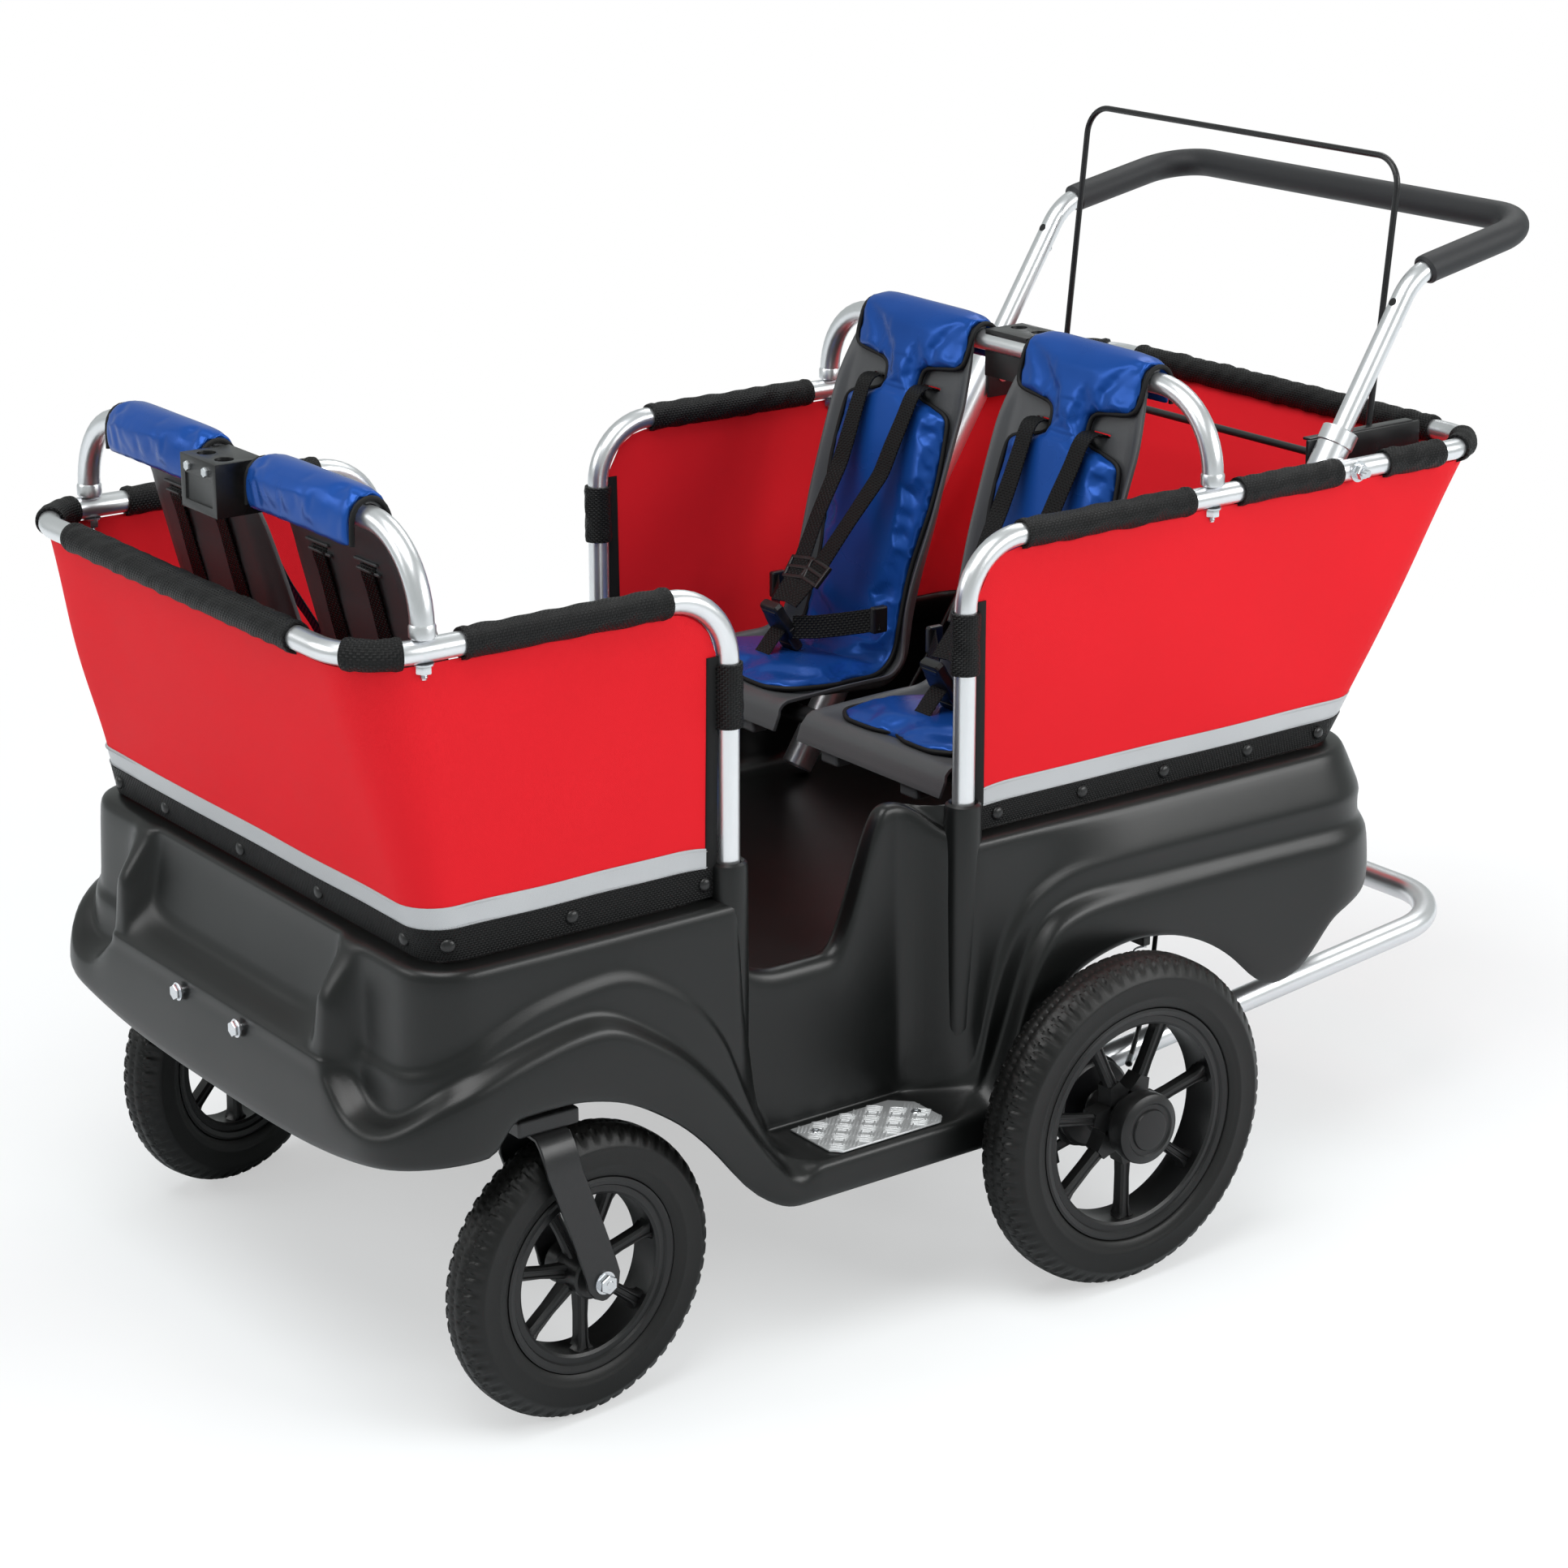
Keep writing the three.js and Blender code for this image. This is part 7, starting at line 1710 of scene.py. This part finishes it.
def make_seats():
    shell, clips, piping, pad_form = make_shell(), make_shell_clips(), make_piping(), make_pad()
    harnesses = [make_harness("harness_a", 5), make_harness("harness_b", 12)]
    for row in ROWS:
        for side, m in SIDES:
            where = f"{row}_{side}"
            harness = harnesses[(row == "front") == (m > 0)]
            parts = [seat_place(part, row, m, "shell_part") for part in (shell, clips)]
            whole = joined(f"moulded_shell_{where}", *parts)
            dress(whole, SHELL_PLASTIC, "body", "shell_plastic", f"seat_shell_{where}")
            pad = seat_place(pad_form, row, m, f"satin_pad_{where}")
            dress(pad, BLUE_SATIN, "body", "blue_satin", f"seat_pad_{where}")
            dress(seat_place(piping, row, m, f"pad_piping_{where}"), BINDING, "body", "webbing")
            dress(seat_place(harness, row, m, f"harness_set_{where}"), None, "body", "webbing", f"harness_{where}")
    remove(shell, clips, piping, pad_form, *harnesses)


make_seats()

# ---------------------------------------------------------------- steps and running hardware

def prism_x(name, outline, x0, x1):
    """A flat plate across X from an outline of Y and Z."""
    return face_out(loft(name, [[(x, y, z) for y, z in outline] for x in (x0, x1)]))


def bore(plate, radius, x0, x1, y, z):
    """Drills a round hole through a plate along X."""
    cutter = lathe("cutter", [(0, x0), (radius, x0), (radius, x1), (0, x1)], 24)
    return take(plate, move(cutter, (0, y, z)))


def make_step_plate():
    """Five-bar tread plate with its two screws, for the left step."""
    cx, cy, top, pitch = 313, -242, 190.3, 16
    outline = [(-34, -66), (25, -66), (34, -57), (34, 57), (25, 66), (-16, 66), (-34, 48)]
    sheet = face_out(loft("tread_sheet", [[(cx + x * s, cy + y * s, z) for x, y in outline]
                                          for z, s in ((188.3, 1), (189.7, 1), (190.2, 0.985))]))
    bar = [(8, 0), (6, 0.8), (0, 1.15), (-6, 0.8), (-8, 0), (-6, -0.8), (0, -1.15), (6, -0.8)]
    bars = [face_out(loft("bar", [[(x * s, 3.3 * k + y * s - AXLE_TO_FRAME, z) for x, y in bar]
                                  for z, s in ((-0.3, 1.05), (0.5, 0.92), (0.85, 0.6))])) for k in range(-2, 3)]
    places, ways = [], []
    for i in range(-2, 2):
        for j in range(-4, 4):
            x, y = 7.7 + i * pitch, 7.7 + j * pitch
            if x > -22 or y < 38:
                places.append((cx + x, cy + y, top))
                ways.append((1, 1 if (i + j) % 2 else -1, 0))
    pattern = scatter("tread_bars", joined("five_bars", *bars), places, (0, 0, 1), PLATE_METAL, along=ways)
    screw = turned_part("screw", [(0, 0.5), (1.7, 0.5), (2, 1.5), (4.4, 1.1), (5.2, 0.2), (5.2, -0.4)], 24)
    screws = scatter("step_screws", screw, [(cx - 16, cy - 50, top), (cx + 4, cy + 52, top)], (0, 0, 1), ZINC)
    plate = paint(round_shading(bevel(sheet, 0.5), 40), PLATE_METAL)
    return joined("step_plate_form", plate, pattern, screws)


def make_chassis():
    """Two box beams, cross members, caster plates, axle carriers and the tabs that the nose bolts hold."""
    top, low = 298.6, 274.8
    beams = [((-331, 331), (-635, -573), (283.4, top), 2.4)]
    carriers = []
    for m in (1, -1):
        beams += [((m * a, m * b), ys, zs, edge) for (a, b), ys, zs, edge in (
            ((67, 101), (-573, 62), (low, top), 2.4), ((67, 101), (-638, -573), (low, 283.2), 2.4),
            ((263.7, 271.7), (0, 101), (288.6, top), 1.5), ((267.7, 314), (91, 101), (288.6, top), 1.5),
            ((40, 70), (-740, -604), (275.2, 286.8), 1.5), ((40, 70), (-740.3, -735), (275.2, 334.5), 1.5),
            ((101, 263.7), (-17, 17), (low, top), 2.4))]
        foot = [(-32, 298), (32, 298), *[(32 * cos(t), REAR_R - 20 * sin(t)) for t in span(0, pi, 15)]]
        a, b = sorted((m * 263.7, m * 271.7))
        carriers.append(bevel(bore(prism_x("carrier", foot, a, b), 8.3, a - 4, b + 4, 0, REAR_R), 1.2))
    beams.append(((-67, 67), (-17, 17), (low, top), 2.4))
    frame = joined("chassis_form", *[block("beam", xs, ys, zs, edge, 3) for xs, ys, zs, edge in beams], *carriers)
    nose = [(m * 55, -754.1, 325) for m in (1, -1)]
    heads = scatter("heads", hex_part("head", 13, 4.2), [(x, y - 1.3, z) for x, y, z in nose], (0, -1, 0), ZINC)
    washers = scatter("washers", washer(8.6, 1.3), nose, (0, -1, 0), ZINC)
    shanks = [tube("shank", [(m * 55, -754, 325), (m * 55, -736, 325)], 3.9, ZINC, 16) for m in (1, -1)]
    spots = [(m * x, y, z) for z, at in ((low, ((84, -500), (84, -260), (84, -60), (84, 40))),
                                         (283.4, ((150, -588), (150, -620), (240, -588), (240, -620))))
             for m in (1, -1) for x, y in at]
    bolts = scatter("bolts", hex_part("under", 13, 5), spots, (0, 0, -1), ZINC)
    return paint(frame, BLACK_STEEL), joined("chassis_bolts", heads, washers, *shanks, bolts)


def make_bail_bracket():
    """Black side plate that carries the bail and the cross rod, with two bolts, for the left side."""
    face_x, in_x = 244.7, (-1, 0, 0)
    outline = [(352, 742), (508, 742), (508, 711), (449, 698), (352, 698)]
    plate = bevel(prism_x("bracket_plate", outline, face_x, 248.7), 1.1)
    for y, z, radius in ((449, 724, 3.3), (425, 707, 4.1)):
        bore(plate, radius, 240, 253, y, z)
    fold = block("bracket_fold", (236, 247), (356, 500), (740.5, 743.5), 1)
    spots = [(face_x, 372, 722), (face_x, 396, 716), (face_x, 490, 728)]
    washers = scatter("washers", washer(8, 1.4), spots, in_x, ZINC)
    nuts = scatter("nuts", hex_part("nut", 10, 5), [(x - 1.4, y, z) for x, y, z in spots], in_x, ZINC)
    ring = turned_part("ring", [(3.5, 0), (7, 0), (7, 2.2), (6, 3), (3.5, 3)], 24)
    rings = scatter("bail_bushes", ring, [(face_x, 449, 724)], in_x, BUCKLE_PLASTIC)
    plate = paint(joined("plate_and_fold", plate, fold), BLACK_STEEL)
    return joined("bail_bracket_form", round_shading(plate), washers, nuts, rings)


LEVER_PIN = (2, 130)


def make_brake_plate():
    """Drum with its cooling lip, back plate with bolts, and the lever's pin, for the left wheel."""
    profile = [(8.2, 338), (44.8, 338), (46, 339.2), (46, 341), (43.4, 341.6), (42, 343), (42, 349), (43, 350),
               (43, 351.6), (42, 352.6), (40, 354), (18, 354), (15, 355), (14, 357), (14, 366.6), (13, 367.6),
               (8.2, 367.6)]
    drum = paint(move(round_shading(lathe("drum", profile, 56), 35), (0, 0, REAR_R)), BLACK_STEEL)
    rib = block("rib", (336.6, 338.4), (-3, 3), (16, 42), 0.7, local=True)
    ribs = move(around_wheel("drum_ribs", rib, 8, BLACK_STEEL, 0.2), (0, 0, REAR_R))
    spots = [(338, 36 * sin(a), REAR_R + 36 * cos(a)) for a in (0.6, 1.7, 4.6, 5.7)]
    heads = scatter("plate_bolts", hex_part("head", 8, 3), spots, (-1, 0, 0), ZINC)
    pin = tube("lever_pin", [(x, *LEVER_PIN) for x in (333.2, 341)], 4.8, ZINC, 24)
    return joined("brake_drum_form", drum, ribs, heads, pin)


def make_brake_lever():
    """Flat lever with an upturned end, turned 14 degrees about its pin, for the left wheel."""
    tilt = math.radians(14)
    pin_y, pin_z = LEVER_PIN
    outline = [(-7, -7), (37, -4.2), (44, 2.8), (44, 18), (37, 18), (37, 5.6), (7, 7), (-7, 7)]
    spun = [(pin_y - a * cos(tilt) + b * sin(tilt), pin_z - a * sin(tilt) - b * cos(tilt)) for a, b in outline]
    plate = bore(prism_x("lever_plate", spun, 333.8, 337.6), 5, 330, 341, pin_y, pin_z)
    return round_shading(bevel(plate, 0.9))


def make_spring():
    """Close-wound return spring with a hook at each end."""
    x, y, top = 304, 96, 287
    coils = [(x + 6 * cos(t), y + 6 * sin(t), mix(top, 225, t / (10 * pi))) for t in span(0, 10 * pi, 181)]
    line = [(x, y, top + 2.2), *coils, (x + 3, y, 222), (x, y, 219.5), (x - 2, y, 217.5)]
    return tube("spring_wire", line, 1.0, ZINC, 12)


CABLE_ROUTE = [(243, 440, 690), (240, 408, 640), (238, 330, 520), (232, 250, 410), (226, 190, 340), (226, 190, 290),
               (230, 186, 268), (244, 168, 228), (290, 110, 190), (330, 62, 180)]


def make_cable(side, m):
    """Brake cable in its black sleeve, from the bail's bracket through the tub floor to the drum."""
    line = bent_line([(m * x, y, z) for x, y, z in CABLE_ROUTE], [30, 60, 60, 22, 14, 20, 24, 30], 8)
    cable = tube(f"brake_cable_run_{side}", line, 2.5, BUCKLE_PLASTIC, 16)
    ends = [tube("ferrule", [a, a + unit(b - a) * 13], 3.6, ZINC, 20)
            for a, b in ((line[0], line[1]), (line[-1], line[-2]))]
    ferrules = joined(f"cable_ferrules_{side}", *ends)
    dress(cable, BUCKLE_PLASTIC, "body", "webbing", f"brake_cable_{side}")
    dress(ferrules, ZINC, "body", "steel")


def make_hardware():
    pieces = ((make_step_plate(), "tread_step", None, "body", "plate", "step_plate"),
              (make_bail_bracket(), "bail_side_plate", None, "body", "black_steel", "bail_bracket"),
              (make_brake_plate(), "brake_drum_set", None, "body", "black_steel", "brake_plate"),
              (make_brake_lever(), "brake_arm", BLACK_STEEL, "lever", "black_steel", "brake_lever"),
              (make_spring(), "return_spring", ZINC, "body", "steel", "brake_spring"))
    for side, m in SIDES:
        for form, name, material, body, slot, stands_for in pieces:
            skin = twin(form, f"{name}_{side}", FLIP_X if m < 0 else None)
            dress(skin, material, body if body == "body" else f"{body}_{side}", slot, f"{stands_for}_{side}")
        make_cable(side, m)
    remove(*[piece[0] for piece in pieces])
    frame, bolts = make_chassis()
    dress(frame, None, "body", "black_steel", "chassis_frame")
    dress(bolts, None, "body", "steel")


make_hardware()
